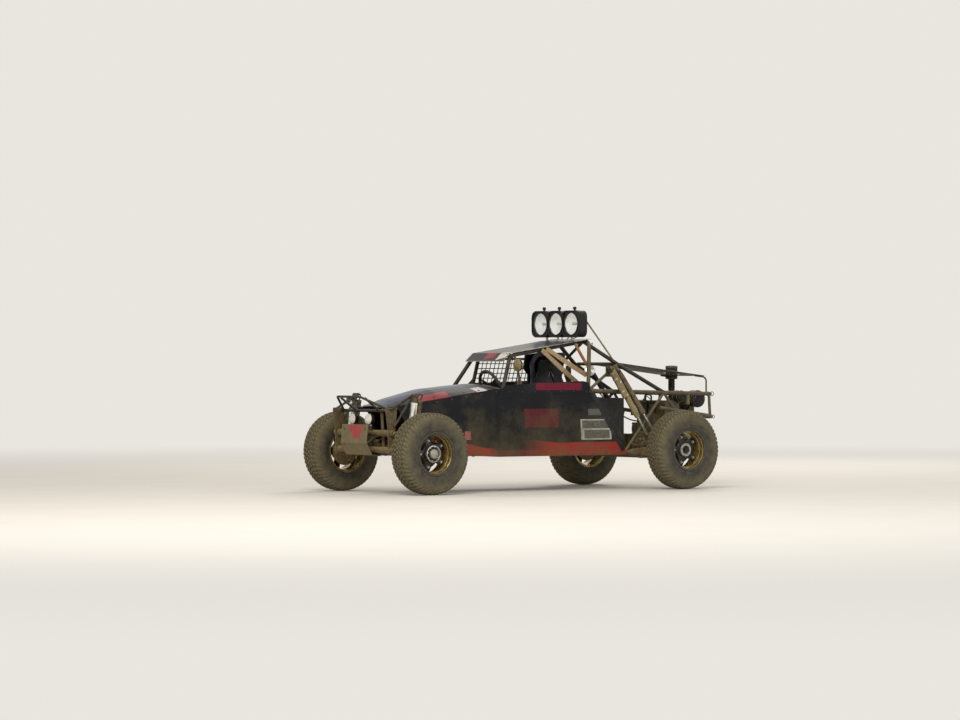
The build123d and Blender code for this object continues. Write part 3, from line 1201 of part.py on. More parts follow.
def make_seat():
    """Bucket seat: one bent shell of pan and back between two side walls, with head wings."""
    # station and height of the shell's front and upper line, from the knee to the head
    line = (
        (SEAT_FRONT_STATION, SEAT_PAN_HEIGHT + 60), (SEAT_FRONT_STATION - 160, SEAT_PAN_HEIGHT + 30),
        (SEAT_BACK_FOOT_STATION + 60, SEAT_PAN_HEIGHT + 14), (SEAT_BACK_FOOT_STATION, SEAT_PAN_HEIGHT + 60),
        (SEAT_BACK_TOP_STATION, SEAT_TOP_HEIGHT),
    )
    behind = (
        (SEAT_BACK_TOP_STATION - SEAT_SHELL, SEAT_TOP_HEIGHT),
        (SEAT_BACK_FOOT_STATION - SEAT_SHELL, SEAT_PAN_HEIGHT + 40),
        (SEAT_BACK_FOOT_STATION + 50, SEAT_PAN_HEIGHT + 14 - SEAT_SHELL),
        (SEAT_FRONT_STATION - 160, SEAT_PAN_HEIGHT + 30 - SEAT_SHELL), (SEAT_FRONT_STATION, SEAT_PAN_HEIGHT + 60 - SEAT_SHELL),
    )
    points = [place(station, SEAT_HALF_WIDTH, height, RIGHT) for station, height in line + behind]
    shell = prism(points, Vector(0, 2 * SEAT_HALF_WIDTH, 0))
    # station and height of a side wall's outline
    wall = (
        (SEAT_FRONT_STATION, SEAT_PAN_HEIGHT + 38), (SEAT_FRONT_STATION, SEAT_PAN_HEIGHT + 110),
        (SEAT_FRONT_STATION - 200, SEAT_PAN_HEIGHT + 150), (SEAT_BACK_FOOT_STATION + 130, SEAT_PAN_HEIGHT + 200),
        (SEAT_BACK_FOOT_STATION + 80, SEAT_PAN_HEIGHT + 480), (SEAT_BACK_FOOT_STATION - 36, SEAT_PAN_HEIGHT + 560),
        (SEAT_BACK_FOOT_STATION - 40, SEAT_TOP_HEIGHT - 210), (SEAT_BACK_FOOT_STATION + 10, SEAT_TOP_HEIGHT - 150),
        (SEAT_BACK_FOOT_STATION - 10, SEAT_TOP_HEIGHT - 20), (SEAT_BACK_TOP_STATION - SEAT_SHELL / 2, SEAT_TOP_HEIGHT),
        (SEAT_BACK_FOOT_STATION - SEAT_SHELL / 2, SEAT_PAN_HEIGHT + 46), (SEAT_BACK_FOOT_STATION + 54, SEAT_PAN_HEIGHT + 4),
        (SEAT_FRONT_STATION - 160, SEAT_PAN_HEIGHT + 16),
    )
    walls = []
    for side in (LEFT, RIGHT):
        points = [place(station, SEAT_HALF_WIDTH - 1, height, side) for station, height in wall]
        walls.append(plate(points, SEAT_SHELL, Vector(0, side, 0)))
    seat = largest(shell.fuse(*walls))
    feet = []
    for station in (SEAT_FRONT_STATION - 120, SEAT_BACK_FOOT_STATION + 60):
        feet.append(
            slab(
                place(station - 18, SEAT_HALF_WIDTH, FLOOR_HEIGHT, RIGHT),
                place(station + 18, SEAT_HALF_WIDTH, SEAT_PAN_HEIGHT + 12),
            )
        )
    save("seat", largest(seat.fuse(*feet)))


def make_lamp_bar():
    """Lamp housing with three round bores, its posts and knobs, and the three lamps."""
    half = LAMP_BAR_HALF_WIDTH
    middle = (LAMP_BAR_BOTTOM + LAMP_BAR_TOP) / 2
    back = LAMP_BAR_STATION - LAMP_BAR_DEPTH / 2
    height = LAMP_BAR_TOP - LAMP_BAR_BOTTOM
    plane = Plane(origin=place(back, 0, middle), x_dir=(0, 1, 0), z_dir=(1, 0, 0))
    housing = largest(extrude(plane * RectangleRounded(2 * half, height, LAMP_CORNER), LAMP_BACK_DEPTH))
    box_width = 2 * (half - LAMP_PITCH)
    for index in (-1, 0, 1):
        plane = Plane(origin=place(back, index * LAMP_PITCH, middle), x_dir=(0, 1, 0), z_dir=(1, 0, 0))
        frame = RectangleRounded(box_width - LAMP_FRAME_GAP * (index == 0), height, LAMP_CORNER)
        housing = largest(housing.fuse(extrude(plane * frame, LAMP_BAR_DEPTH)))
    lamps = []
    for index in (-1, 0, 1):
        centre = place(back, index * LAMP_PITCH, middle)
        bore = rod(centre + Vector(LAMP_WALL, 0, 0), centre + Vector(LAMP_BAR_DEPTH + 20, 0, 0), LAMP_LENS_DIAMETER + 2 * SEAT_GAP)
        housing = largest(housing.cut(bore))
        radius = LAMP_LENS_DIAMETER / 2
        profile = [
            (0, LAMP_WALL + SEAT_GAP), (radius * 0.6, LAMP_WALL + SEAT_GAP), (radius, LAMP_BAR_DEPTH * 0.62),
            (radius, LAMP_BAR_DEPTH - 8), (radius * 0.7, LAMP_BAR_DEPTH - 1), (0, LAMP_BAR_DEPTH + 5),
        ]
        lamps.append(turned(profile, centre, Vector(1, 0, 0)))
    extras = []
    for index in (-1, 0, 1):
        foot = place(LAMP_BAR_STATION, index * LAMP_PITCH, LAMP_BAR_TOP - 2)
        extras.append(rod(foot, foot + Vector(0, 0, LAMP_KNOB_HEIGHT), 12))
    roof = roof_underside(LAMP_BAR_STATION - LAMP_POST_DIAMETER / 2) + PANEL_THICKNESS + 2 * SEAT_GAP
    for side in (LEFT, RIGHT):
        foot = place(LAMP_BAR_STATION, LAMP_POST_HALF_SPREAD, roof, side)
        extras.append(rod(foot, Vector(foot.X, foot.Y, LAMP_BAR_BOTTOM + 4), LAMP_POST_DIAMETER))
    save("lamp_bar", largest(housing.fuse(*extras)))
    save("lamps", *lamps)
    struts = []
    for side in (LEFT, RIGHT):
        high = place(back - LAMP_STRUT_DIAMETER / 2 - SEAT_GAP, LAMP_STRUT_HALF_WIDTH, LAMP_BAR_TOP - 50, side)
        low = place(LAMP_STRUT_FOOT_STATION, STAY_BEND_HALF_WIDTH, LAMP_STRUT_FOOT_HEIGHT, side)
        struts.append(FRAME.add_tube(high, low, LAMP_STRUT_DIAMETER, 0))
    save("lamp_struts", *struts)


def make_gearbox():
    """Gearbox case with its bell housing and side flanges."""
    axle = Vector(REAR_AXLE_X, 0, DRIVE_HEIGHT)
    front = place(GEARBOX_FRONT_STATION, 0, DRIVE_HEIGHT)
    profile = [
        (0, 0), (48, 0), (62, 60), (80, 180), (86, 330), (132, 400), (132, GEARBOX_FRONT_STATION - GEARBOX_REAR_STATION),
        (0, GEARBOX_FRONT_STATION - GEARBOX_REAR_STATION),
    ]
    case = turned(profile, front, Vector(-1, 0, 0))
    flanges = rod(axle - Vector(0, FLANGE_HALF_SPREAD, 0), axle + Vector(0, FLANGE_HALF_SPREAD, 0), 130)
    tube_back = PIVOT_TUBE_STATION - MAIN_TUBE / 2 - SEAT_GAP
    mount = slab(place(tube_back, 40, FLOOR_HEIGHT, RIGHT), place(GEARBOX_FRONT_STATION - 20, 40, TANK_BOTTOM - SEAT_GAP))
    save("gearbox", largest(case.fuse(flanges, mount)))
    shafts = []
    for side in (LEFT, RIGHT):
        inner = axle + Vector(0, side * (FLANGE_HALF_SPREAD + 2), 0)
        outer = Vector(REAR_AXLE_X, side * (CARRIER_INNER - 2), AXLE_HEIGHT)
        step = (outer - inner).normalized()
        shafts.append(
            largest(
                rod(inner, outer, 32).fuse(rod(inner + step * 6, inner + step * 76, 84), rod(outer - step * 80, outer - step * 10, 84))
            )
        )
    save("half_shafts", *shafts)


def air_cleaner_foot():
    """Where the intake stands on the crankcase."""
    return place(GEARBOX_REAR_STATION - SEAT_GAP - INTAKE_SETBACK, 0, ENGINE_TOP - 130 + SEAT_GAP)


def front_station():
    """Station of the engine's front face, against the gearbox."""
    return GEARBOX_REAR_STATION - SEAT_GAP


def make_engine():
    """Flat engine: crankcase block and two banks of cylinders with their covers."""
    front = front_station()
    block = slab(place(front, 130, ENGINE_BOTTOM, RIGHT), place(ENGINE_REAR_STATION, 130, ENGINE_TOP - 130))
    covers = []
    for side in (LEFT, RIGHT):
        inner = place(front - 50, ENGINE_HALF_WIDTH - 62, CYLINDER_HEIGHT - 62, side)
        outer = place(front - 50 - CYLINDER_PITCH * 2 - 20, ENGINE_HALF_WIDTH, CYLINDER_HEIGHT + 62, side)
        covers.append(slab(inner, outer))
    shroud = slab(place(front - 80, 210, ENGINE_BOTTOM + 190, RIGHT), place(front - 260, 210, ENGINE_TOP))
    fan_front = place(FAN_STATION, 0, FAN_HEIGHT)
    fan = turned(
        [
            (0, 0), (FAN_RADIUS - 22, 0), (FAN_RADIUS, 22), (FAN_RADIUS, FAN_LENGTH), (FAN_RADIUS - 30, FAN_LENGTH),
            (FAN_RADIUS - 36, FAN_LENGTH - 26), (40, FAN_LENGTH - 26), (34, FAN_LENGTH), (0, FAN_LENGTH),
        ],
        fan_front,
        Vector(-1, 0, 0),
    )
    heads = []
    for side in (LEFT, RIGHT):
        for index in range(2):
            bore = place(front_station() - CYLINDER_FIRST - index * CYLINDER_PITCH, 0, CYLINDER_HEIGHT)
            heads.append(rod(bore, bore + Vector(0, side * (ENGINE_HALF_WIDTH - 30), 0), CYLINDER_DIAMETER))
    save("engine", largest(block.fuse(shroud, fan, *covers, *heads)))
    base = air_cleaner_foot()
    stack = turned(
        [
            (0, 0), (INTAKE_RADIUS, 0), (INTAKE_RADIUS, AIR_CLEANER_FOOT - base.Z - 12),
            (AIR_CLEANER_RADIUS, AIR_CLEANER_FOOT - base.Z), (AIR_CLEANER_RADIUS, AIR_CLEANER_TOP - base.Z),
            (0, AIR_CLEANER_TOP - base.Z),
        ],
        base,
        Vector(0, 0, 1),
    )
    save("air_cleaner", stack)


def make_fuel_cell():
    """Fuel cell behind the firewall, with its filler neck and cap."""
    slant = (HOOP_SILL_STATION - HOOP_FOOT_STATION) / (SILL_HEIGHT - FLOOR_HEIGHT)
    def front_at(height):
        return HOOP_SILL_STATION - (SILL_HEIGHT - height) * slant - TANK_STANDOFF
    outline = (
        (front_at(TANK_BOTTOM), TANK_BOTTOM), (front_at(TANK_TOP), TANK_TOP), (TANK_REAR_STATION, TANK_TOP),
        (TANK_REAR_STATION, TANK_BOTTOM),
    )
    points = [place(station, TANK_HALF_WIDTH, height, RIGHT) for station, height in outline]
    tank = prism(points, Vector(0, 2 * TANK_HALF_WIDTH, 0))
    foot = place(TANK_REAR_STATION + 150, TANK_HALF_WIDTH - 60, TANK_TOP - 4)
    cap = place(FILLER_STATION, FILLER_HALF_WIDTH, FILLER_HEIGHT)
    neck = rod(foot, cap, 46)
    axis = (cap - foot).normalized()
    lid = rod(cap, cap + axis * 22, 66)
    save("fuel_cell", largest(tank.fuse(neck, lid)))


def deck_height(station, below=0.0):
    """Height of the deck's under side, or of a line a distance below it, at a station."""
    slope = (DECK_FRONT_HEIGHT - DECK_REAR_HEIGHT) / (DECK_FRONT_STATION - DECK_REAR_STATION)
    return DECK_FRONT_HEIGHT + (station - DECK_FRONT_STATION) * slope - below * sqrt(1 + slope**2)


def make_tail_deck():
    """Thin deck over the gearbox and engine, on the stays' bend and on two bent stays at the tail."""
    half = DECK_HALF_WIDTH
    front = place(DECK_FRONT_STATION, half, DECK_FRONT_HEIGHT, RIGHT)
    rear = place(DECK_REAR_STATION, half, DECK_REAR_HEIGHT, RIGHT)
    up = Vector(0, 0, PANEL_THICKNESS)
    deck = prism([front, rear, rear + up, front + up], Vector(0, 2 * half, 0))
    middle = air_cleaner_foot()
    reach = AIR_CLEANER_RADIUS + AIR_CLEANER_MARGIN
    opening = slab(middle - Vector(reach, reach, 0), middle + Vector(reach, reach, DECK_FRONT_HEIGHT))
    save("tail_deck", largest(deck.cut(opening)))
    below = DECK_STAY_DIAMETER / 2 + SEAT_GAP
    stays = []
    for side in (LEFT, RIGHT):
        foot = place(tail_station(), DECK_STAY_HALF_WIDTH, REAR_RAIL_HEIGHT + MAIN_TUBE / 2 + SEAT_GAP, side)
        bend = place(tail_station(), DECK_STAY_HALF_WIDTH, deck_height(tail_station(), below), side)
        end_station = DECK_REAR_STATION + DECK_STAY_LAP
        end = place(end_station, DECK_STAY_HALF_WIDTH, deck_height(end_station, below), side)
        stays.append(bent_tube([foot, bend, end], (DECK_STAY_BEND,), DECK_STAY_DIAMETER))
    save("deck_stays", *stays)


def make_mirror():
    """Round mirror on a stalk from the left sill."""
    foot = place(MIRROR_STATION + 20, on_side(MIRROR_STATION, SILL_HEIGHT - MAIN_TUBE / 2).Y, SILL_HEIGHT + SEAT_GAP)
    centre = place(MIRROR_STATION, side_y(MIRROR_STATION, SILL_HEIGHT) + 6, MIRROR_HEIGHT)
    bowl = turned([(0, 0), (40, 4), (58, 18), (58, 26), (0, 26)], centre + Vector(20, 0, 0), Vector(-1, 0, 0))
    stalk = rod(foot, centre - Vector(0, 0, 20), 10)
    save("mirror", largest(bowl.fuse(stalk)))


def make_window_net():
    """Net in the right window: a lattice of straps between the sill and the roof rail."""
    top = place(NET_FRONT_STATION, ROOF_HALF_WIDTH + 24, NET_TOP_HEIGHT, RIGHT)
    sill = on_side(NET_FRONT_STATION, SILL_HEIGHT - MAIN_TUBE / 2, RIGHT)
    low = place(NET_FRONT_STATION, -sill.Y, SILL_HEIGHT + NET_THICKNESS / 2 + SEAT_GAP, RIGHT)
    down = (low - top).normalized()
    drop = (low - top).length
    along = Vector(-1, 0, 0)
    out = down.cross(along).normalized()
    length = NET_FRONT_STATION - NET_REAR_STATION
    straps = []
    rows = round(drop / NET_PITCH)
    columns = round(length / NET_PITCH)
    for row in range(rows + 1):
        corner = top + down * ((drop - NET_STRAP) * row / rows)
        points = [corner, corner + along * length, corner + along * length + down * NET_STRAP, corner + down * NET_STRAP]
        straps.append(plate(points, NET_THICKNESS, out))
    for column in range(columns + 1):
        corner = top + along * (length - NET_STRAP) * (column / columns)
        points = [corner, corner + along * NET_STRAP, corner + along * NET_STRAP + down * drop, corner + down * drop]
        straps.append(plate(points, NET_THICKNESS, out))
    save("window_net", largest(straps[0].fuse(*straps[1:])))


make_wheels()
make_main_hoop()
make_side_frames()
make_rear_rails()
make_roof_rails()
make_cage_tubes()
make_rear_frame()
make_front_frame()
make_tow_tabs()
make_front_beam()
make_front_arms()
make_knuckles()
make_rack()
make_steering_wheel()
make_shocks()
make_rear_arms()
make_pivot_brackets()
make_side_panels()
make_hood()
make_roof()
make_floor()
make_dash()
make_firewall()
make_seat()
make_lamp_bar()
make_gearbox()
make_engine()
make_fuel_cell()
make_tail_deck()
make_mirror()
make_window_net()
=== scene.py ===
"""Looks of a desert race buggy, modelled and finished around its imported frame.

Everything is in metres in the frame's own axes: +X forward, +Y to the car's left, +Z up.
"""
import logging
from dataclasses import dataclass
from enum import Enum
from typing import Sequence

import bmesh
import bpy
import numpy as np
from mathutils import Matrix, Vector


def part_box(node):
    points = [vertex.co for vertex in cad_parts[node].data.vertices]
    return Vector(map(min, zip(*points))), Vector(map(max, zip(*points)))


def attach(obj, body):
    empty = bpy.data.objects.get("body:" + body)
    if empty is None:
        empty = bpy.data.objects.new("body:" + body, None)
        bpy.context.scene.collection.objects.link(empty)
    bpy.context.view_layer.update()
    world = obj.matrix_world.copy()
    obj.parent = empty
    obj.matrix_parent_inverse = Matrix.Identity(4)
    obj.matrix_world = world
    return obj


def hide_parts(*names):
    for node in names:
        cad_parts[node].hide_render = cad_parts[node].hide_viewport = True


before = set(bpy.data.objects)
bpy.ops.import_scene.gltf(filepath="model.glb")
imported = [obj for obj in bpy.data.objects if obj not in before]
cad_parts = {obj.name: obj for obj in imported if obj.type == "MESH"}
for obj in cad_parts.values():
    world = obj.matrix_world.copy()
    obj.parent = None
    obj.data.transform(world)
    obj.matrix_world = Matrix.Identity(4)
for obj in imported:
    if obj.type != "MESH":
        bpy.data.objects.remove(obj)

logging.basicConfig(level=logging.INFO, format="%(message)s")
LOG = logging.getLogger("buggy")

# the axles: station and height of the front one, the wheelbase and the half tracks
AXLE_X = 1.608
AXLE_Z = 0.376
WHEELBASE = 2.9
FRONT_HALF_TRACK = 0.740
REAR_HALF_TRACK = 0.790
# the top rail is level back from the screen's station and falls by a constant share ahead of it
SCREEN_X = 0.658
RAIL_Z = 0.943
RAIL_FALL = 0.1581
# the side sheet: its half width at the sill's height, how it leans in upwards and tapers towards the nose
SILL_HALF_WIDTH = 0.503
SILL_Z = 0.335
SIDE_LEAN = 0.10
NOSE_TAPER = 0.20
SIDES = ((1.0, "left"), (-1.0, "right"))
# directions: to the nose, to the car's left, up, down and to the tail
ALONG, ACROSS, UP, DOWN, REARWARD = (1, 0, 0), (0, 1, 0), (0, 0, 1), (0, 0, -1), (-1, 0, 0)
# where rays start that look for a sheet: over the hood, over the roof and ahead of the nose
OVER_HOOD, OVER_ROOF, AHEAD = 1.3, 1.6, 3.0
# radius of the thin rubber hoses
THIN_HOSE = 0.0065
# the seat pads' cloth: its cell, the pressure that swells it and the number of its steps
CLOTH_CELL, CLOTH_PRESSURE, CLOTH_STEPS = 0.006, 4.0, 14
# a wave texture repeats this many times in one unit of its scale
WAVES_PER_SCALE = 6.3
ROOT = "root"
NODES: dict[str, bpy.types.Object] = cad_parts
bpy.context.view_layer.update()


def linear(code: str, alpha: float = 1.0) -> tuple[float, float, float, float]:
    """Turns an sRGB hex code into linear light.

    Args:
        code: the colour as #RRGGBB.
        alpha: the fourth number of the result.

    Returns:
        The linear red, green and blue with alpha behind them.
    """
    parts = np.array([int(code[i:i + 2], 16) / 255 for i in (1, 3, 5)])
    curve = np.where(parts <= 0.04045, parts / 12.92, ((parts + 0.055) / 1.055) ** 2.4)
    return (float(curve[0]), float(curve[1]), float(curve[2]), alpha)


def add_node(tree: bpy.types.NodeTree, kind: str, links: dict | None = None,
             **settings: object) -> bpy.types.Node:
    """Adds one shader node with its settings and what goes into its sockets.

    Args:
        tree: the node tree that gets the node.
        kind: the node's type name.
        links: socket name or number to a plain value or to another node's output socket.
        settings: properties set on the node itself, before its sockets are filled.

    Returns:
        The new node.
    """
    node = tree.nodes.new(kind)
    for key, value in settings.items():
        setattr(node, key, value)
    for socket, value in (links or {}).items():
        if isinstance(value, bpy.types.NodeSocket):
            tree.links.new(value, node.inputs[socket])
        else:
            node.inputs[socket].default_value = value
    return node


def arithmetic(tree: bpy.types.NodeTree, operation: str, *values: object) -> bpy.types.NodeSocket:
    """Result of a math node that takes plain values or sockets in their order."""
    return add_node(tree, "ShaderNodeMath", dict(enumerate(values)), operation=operation).outputs[0]


def ramp(tree: bpy.types.NodeTree, value: bpy.types.NodeSocket, start: float, end: float, low: float = 0.0,
         high: float = 1.0) -> bpy.types.NodeSocket:
    """Goes straight from low to high while a value goes from start to end, and stays there beyond them.

    Args:
        tree: the node tree.
        value: the socket that is read.
        start: the value that gives low.
        end: the value that gives high.
        low: the result at start.
        high: the result at end.

    Returns:
        The result's socket.
    """
    return add_node(tree, "ShaderNodeMapRange", {
        "Value": value, "From Min": start, "From Max": end, "To Min": low, "To Max": high}).outputs[0]


def noise(tree: bpy.types.NodeTree, where: bpy.types.NodeSocket, scale: float, detail: float,
          roughness: float = 0.5) -> bpy.types.NodeSocket:
    """Cloudy pattern, 0 to 1.

    Args:
        tree: the node tree.
        where: the coordinates that it follows.
        scale: how many cells there are in a metre.
        detail: how many finer layers lie on the first one.
        roughness: how strong each finer layer is.

    Returns:
        The pattern's socket.
    """
    return add_node(tree, "ShaderNodeTexNoise", {
        "Vector": where, "Scale": scale, "Detail": detail, "Roughness": roughness}).outputs[0]


def blend(tree: bpy.types.NodeTree, share: bpy.types.NodeSocket, first: str | bpy.types.NodeSocket,
          second: str | bpy.types.NodeSocket) -> bpy.types.NodeSocket:
    """Colour that goes from the first to the second.

    Args:
        tree: the node tree.
        share: how much of the second colour there is, 0 to 1.
        first: a colour's socket or its hex code.
        second: a colour's socket or its hex code.

    Returns:
        The mixed colour's socket.
    """
    ends = [linear(end) if isinstance(end, str) else end for end in (first, second)]
    return add_node(tree, "ShaderNodeMix", {0: share, 6: ends[0], 7: ends[1]}, data_type="RGBA").outputs[2]


def blank_material(name: str) -> tuple[bpy.types.Material, bpy.types.NodeTree, bpy.types.Node]:
    """A new node-based material, its tree and its principled shader."""
    material = bpy.data.materials.new(name)
    material.use_nodes = True
    return material, material.node_tree, material.node_tree.nodes["Principled BSDF"]


def per_metre(size_mm: float) -> float:
    """Texture scale for a pattern whose cells measure size_mm."""
    return 1000.0 / size_mm


class Weave(Enum):
    """What the finest relief of a finish looks like."""

    GRAIN = "grain"
    CLOTH = "cloth"
    BRUSHED = "brushed"
    PLEATS = "pleats"


@dataclass(frozen=True)
class Finish:
    """A surface finish: two mottled colours, dust that lies low and on top, and a fine relief.

    blotch_mm, dust_mm and relief_mm are the real sizes of the mottling, the dust patches and the relief, and
    weave is the relief's kind. dust_low and dust_up are the dust added near the ground and on faces that look
    up. worn_edge is the paler layer that scratches reach, if any. specular is the strength of the reflection
    of a surface that is no metal, and glow is painted light: an emission in the second colour that brightens
    a surface which is no lamp.
    """

    name: str
    base: str
    second: str
    roughness: float = 0.5
    metallic: float = 0.0
    blotch_mm: float = 140.0
    dust: str = "#86764F"
    dust_share: float = 0.35
    dust_mm: float = 90.0
    dust_low: float = 0.25
    dust_up: float = 0.25
    relief_mm: float = 3.0
    relief_depth_mm: float = 0.15
    coat: float = 0.0
    sheen: float = 0.0
    weave: Weave = Weave.GRAIN
    worn_edge: str | None = None
    specular: float = 0.5
    glow: float = 0.0

    def relief(self, tree: bpy.types.NodeTree, where: bpy.types.NodeSocket) -> bpy.types.NodeSocket:
        """Height field of the finest relief.

        Args:
            tree: the material's node tree.
            where: the coordinates that the pattern follows.

        Returns:
            The height, 0 to 1.
        """
        scale = per_metre(self.relief_mm)
        if self.weave is Weave.GRAIN:
            return noise(tree, where, scale, 5.0)
        if self.weave is Weave.BRUSHED:
            turned = add_node(tree, "ShaderNodeMapping", {"Vector": where,
                                                          "Scale": (scale / 14, scale, scale)})
            return noise(tree, turned.outputs[0], 1.0, 4.0)
        # threads or pleats as waves; a cloth has two crossing sets
        across = add_node(tree, "ShaderNodeTexWave", {"Vector": where, "Scale": scale / WAVES_PER_SCALE,
                                                      "Distortion": 0.4},
                          bands_direction="X" if self.weave is Weave.CLOTH else "DIAGONAL")
        if self.weave is Weave.PLEATS:
            return across.outputs["Fac"]
        along = add_node(tree, "ShaderNodeTexWave", {"Vector": where, "Scale": scale / WAVES_PER_SCALE,
                                                     "Distortion": 0.4},
                         bands_direction="Z")
        return arithmetic(tree, "MAXIMUM", across.outputs["Fac"], along.outputs["Fac"])

    def dust_mask(self, tree: bpy.types.NodeTree, where: bpy.types.NodeSocket, facing: bpy.types.NodeSocket
                  ) -> bpy.types.NodeSocket:
        """Share of dust at each point: patchy, more near the ground and on faces that look up.

        Args:
            tree: the material's node tree.
            where: object coordinates.
            facing: the normal in the object's own axes.

        Returns:
            The cover, 0 to 1.
        """
        patch = noise(tree, where, per_metre(self.dust_mm), 9.0, 0.68)
        height = add_node(tree, "ShaderNodeSeparateXYZ", {0: where}).outputs[2]
        low = ramp(tree, height, 0.95, 0.3, 0.0, self.dust_low)
        top = add_node(tree, "ShaderNodeSeparateXYZ", {0: facing}).outputs[2]
        up = ramp(tree, top, 0.1, 1.0, 0.0, self.dust_up)
        both = arithmetic(tree, "ADD", low, up)
        lift = arithmetic(tree, "ADD", both, self.dust_share - 0.5)
        total = arithmetic(tree, "ADD", patch, lift)
        return ramp(tree, total, 0.28, 0.86)

    def paint(self, tree: bpy.types.NodeTree, where: bpy.types.NodeSocket) -> bpy.types.NodeSocket:
        """Colour under the dust, mottled between the two hex values.

        Args:
            tree: the material's node tree.
            where: object coordinates.

        Returns:
            The colour socket.
        """
        mottle = noise(tree, where, per_metre(self.blotch_mm), 6.0, 0.6)
        share = ramp(tree, mottle, 0.36, 0.66)
        return blend(tree, share, self.base, self.second)

    def build(self) -> bpy.types.Material:
        """Makes the node-based material.

        Returns:
            The material, made once and kept under the finish's name.
        """
        if self.name in bpy.data.materials:
            return bpy.data.materials[self.name]
        material, tree, shader = blank_material(self.name)
        spot = add_node(tree, "ShaderNodeTexCoord")
        where, facing = spot.outputs["Object"], spot.outputs["Normal"]
        colour = self.paint(tree, where)
        if self.worn_edge is not None:
            colour = self.wear(tree, where, colour)
        mask = self.dust_mask(tree, where, facing)
        dusty = blend(tree, mask, colour, self.dust)
        tree.links.new(dusty, shader.inputs["Base Color"])
        rough = ramp(tree, mask, 0.0, 1.0, self.roughness, 0.92)
        tree.links.new(rough, shader.inputs["Roughness"])
        if self.metallic > 0:
            bare = ramp(tree, mask, 0.0, 1.0, self.metallic, 0.05)
            tree.links.new(bare, shader.inputs["Metallic"])
        shader.inputs["Specular IOR Level"].default_value = self.specular
        # painted glow: where glow is above zero, the surface gives off light in its second colour though it
        # is no lamp
        shader.inputs["Emission Color"].default_value = linear(self.second)
        shader.inputs["Emission Strength"].default_value = self.glow
        shader.inputs["Coat Weight"].default_value = self.coat
        shader.inputs["Coat Roughness"].default_value = 0.12
        shader.inputs["Sheen Weight"].default_value = self.sheen
        bump = add_node(tree, "ShaderNodeBump", {
            "Height": self.relief(tree, where), "Strength": 0.7, "Distance": self.relief_depth_mm / 1000})
        tree.links.new(bump.outputs[0], shader.inputs["Normal"])
        return material

    def wear(self, tree: bpy.types.NodeTree, where: bpy.types.NodeSocket, colour: bpy.types.NodeSocket
             ) -> bpy.types.NodeSocket:
        """Scratches and chips down to a paler layer, as thin broken lines.

        Args:
            tree: the material's node tree.
            where: object coordinates.
            colour: the colour that is worn.

        Returns:
            The colour with the wear in it.
        """
        stretched = add_node(tree, "ShaderNodeMapping", {"Vector": where, "Scale": (9.0, 30.0, 60.0)})
        streak = noise(tree, stretched.outputs[0], 1.0, 8.0, 0.72)
        share = ramp(tree, streak, 0.62, 0.72, 0.0, 0.55)
        return blend(tree, share, colour, self.worn_edge)


@dataclass(frozen=True)
class PanelFinish(Finish):
    """Painted sheet whose lower edge has a red stripe that turns into a dark wave towards the front.

    Each patch has its first and last X, its lowest and highest Z, whether Z is measured along the falling
    rail, and its colour. slope is that rail's fall, and crown, if set, is the colour of a painted sky
    reflection: a grey-blue band along the middle.
    """

    stripe: str = "#9C2F28"
    wave: str = "#4A2A30"
    stripe_top: float = 0.455
    slope: float = RAIL_FALL
    crown: str | None = None
    patches: tuple[tuple[float, float, float, float, bool, str], ...] = ()

    def paint(self, tree: bpy.types.NodeTree, where: bpy.types.NodeSocket) -> bpy.types.NodeSocket:
        """Black paint with the stripe, the wave and plain bare patches.

        Args:
            tree: the material's node tree.
            where: object coordinates.

        Returns:
            The colour socket.
        """
        colour = super().paint(tree, where)
        parts = add_node(tree, "ShaderNodeSeparateXYZ", {0: where})
        along, up = parts.outputs[0], parts.outputs[2]
        if self.crown is not None:
            # painted sky reflection: a grey-blue band along the middle, which fades out away from the centre
            # line
            out = arithmetic(tree, "ABSOLUTE", parts.outputs[1])
            middle = ramp(tree, out, 0.215, 0.11, 0.0, 0.85)
            colour = blend(tree, middle, colour, self.crown)
        # the stripe's upper edge rises and falls as a slow wave towards the front
        phase = arithmetic(tree, "MULTIPLY", along, 6.5)
        swing = arithmetic(tree, "SINE", phase)
        front = ramp(tree, along, -0.2, 0.55, 0.0, 0.045)
        bow = arithmetic(tree, "MULTIPLY", swing, front)
        edge = arithmetic(tree, "ADD", bow, self.stripe_top)
        under = arithmetic(tree, "SUBTRACT", edge, up)
        share = ramp(tree, under, -0.004, 0.004)
        toward = ramp(tree, along, 0.05, 0.4)
        back = ramp(tree, along, 0.66, 0.76, 1.0, 0.0)
        lens = arithmetic(tree, "MULTIPLY", toward, back)
        red = blend(tree, lens, self.stripe, self.wave)
        above = ramp(tree, up, 0.384, 0.392)
        dark = arithmetic(tree, "MULTIPLY", lens, above)
        red = blend(tree, dark, red, "#1F1715")
        colour = blend(tree, share, colour, red)
        fall = arithmetic(tree, "ADD", along, -SCREEN_X)
        fall = arithmetic(tree, "MULTIPLY", fall, self.slope)
        level = arithmetic(tree, "ADD", fall, up)
        for left, right, low, high, sloped, code in self.patches:
            masks = []
            for value, first, last in ((along, left, right), (level if sloped else up, low, high)):
                masks.append(arithmetic(tree, "COMPARE", value, (first + last) / 2, (last - first) / 2))
            inside = arithmetic(tree, "MULTIPLY", masks[0], masks[1])
            faded = noise(tree, where, per_metre(22), 9.0, 0.7)
            broken = ramp(tree, faded, 0.5, 0.66, 0.9, 0.35)
            weight = arithmetic(tree, "MULTIPLY", inside, broken)
            colour = blend(tree, weight, colour, code)
        return colour


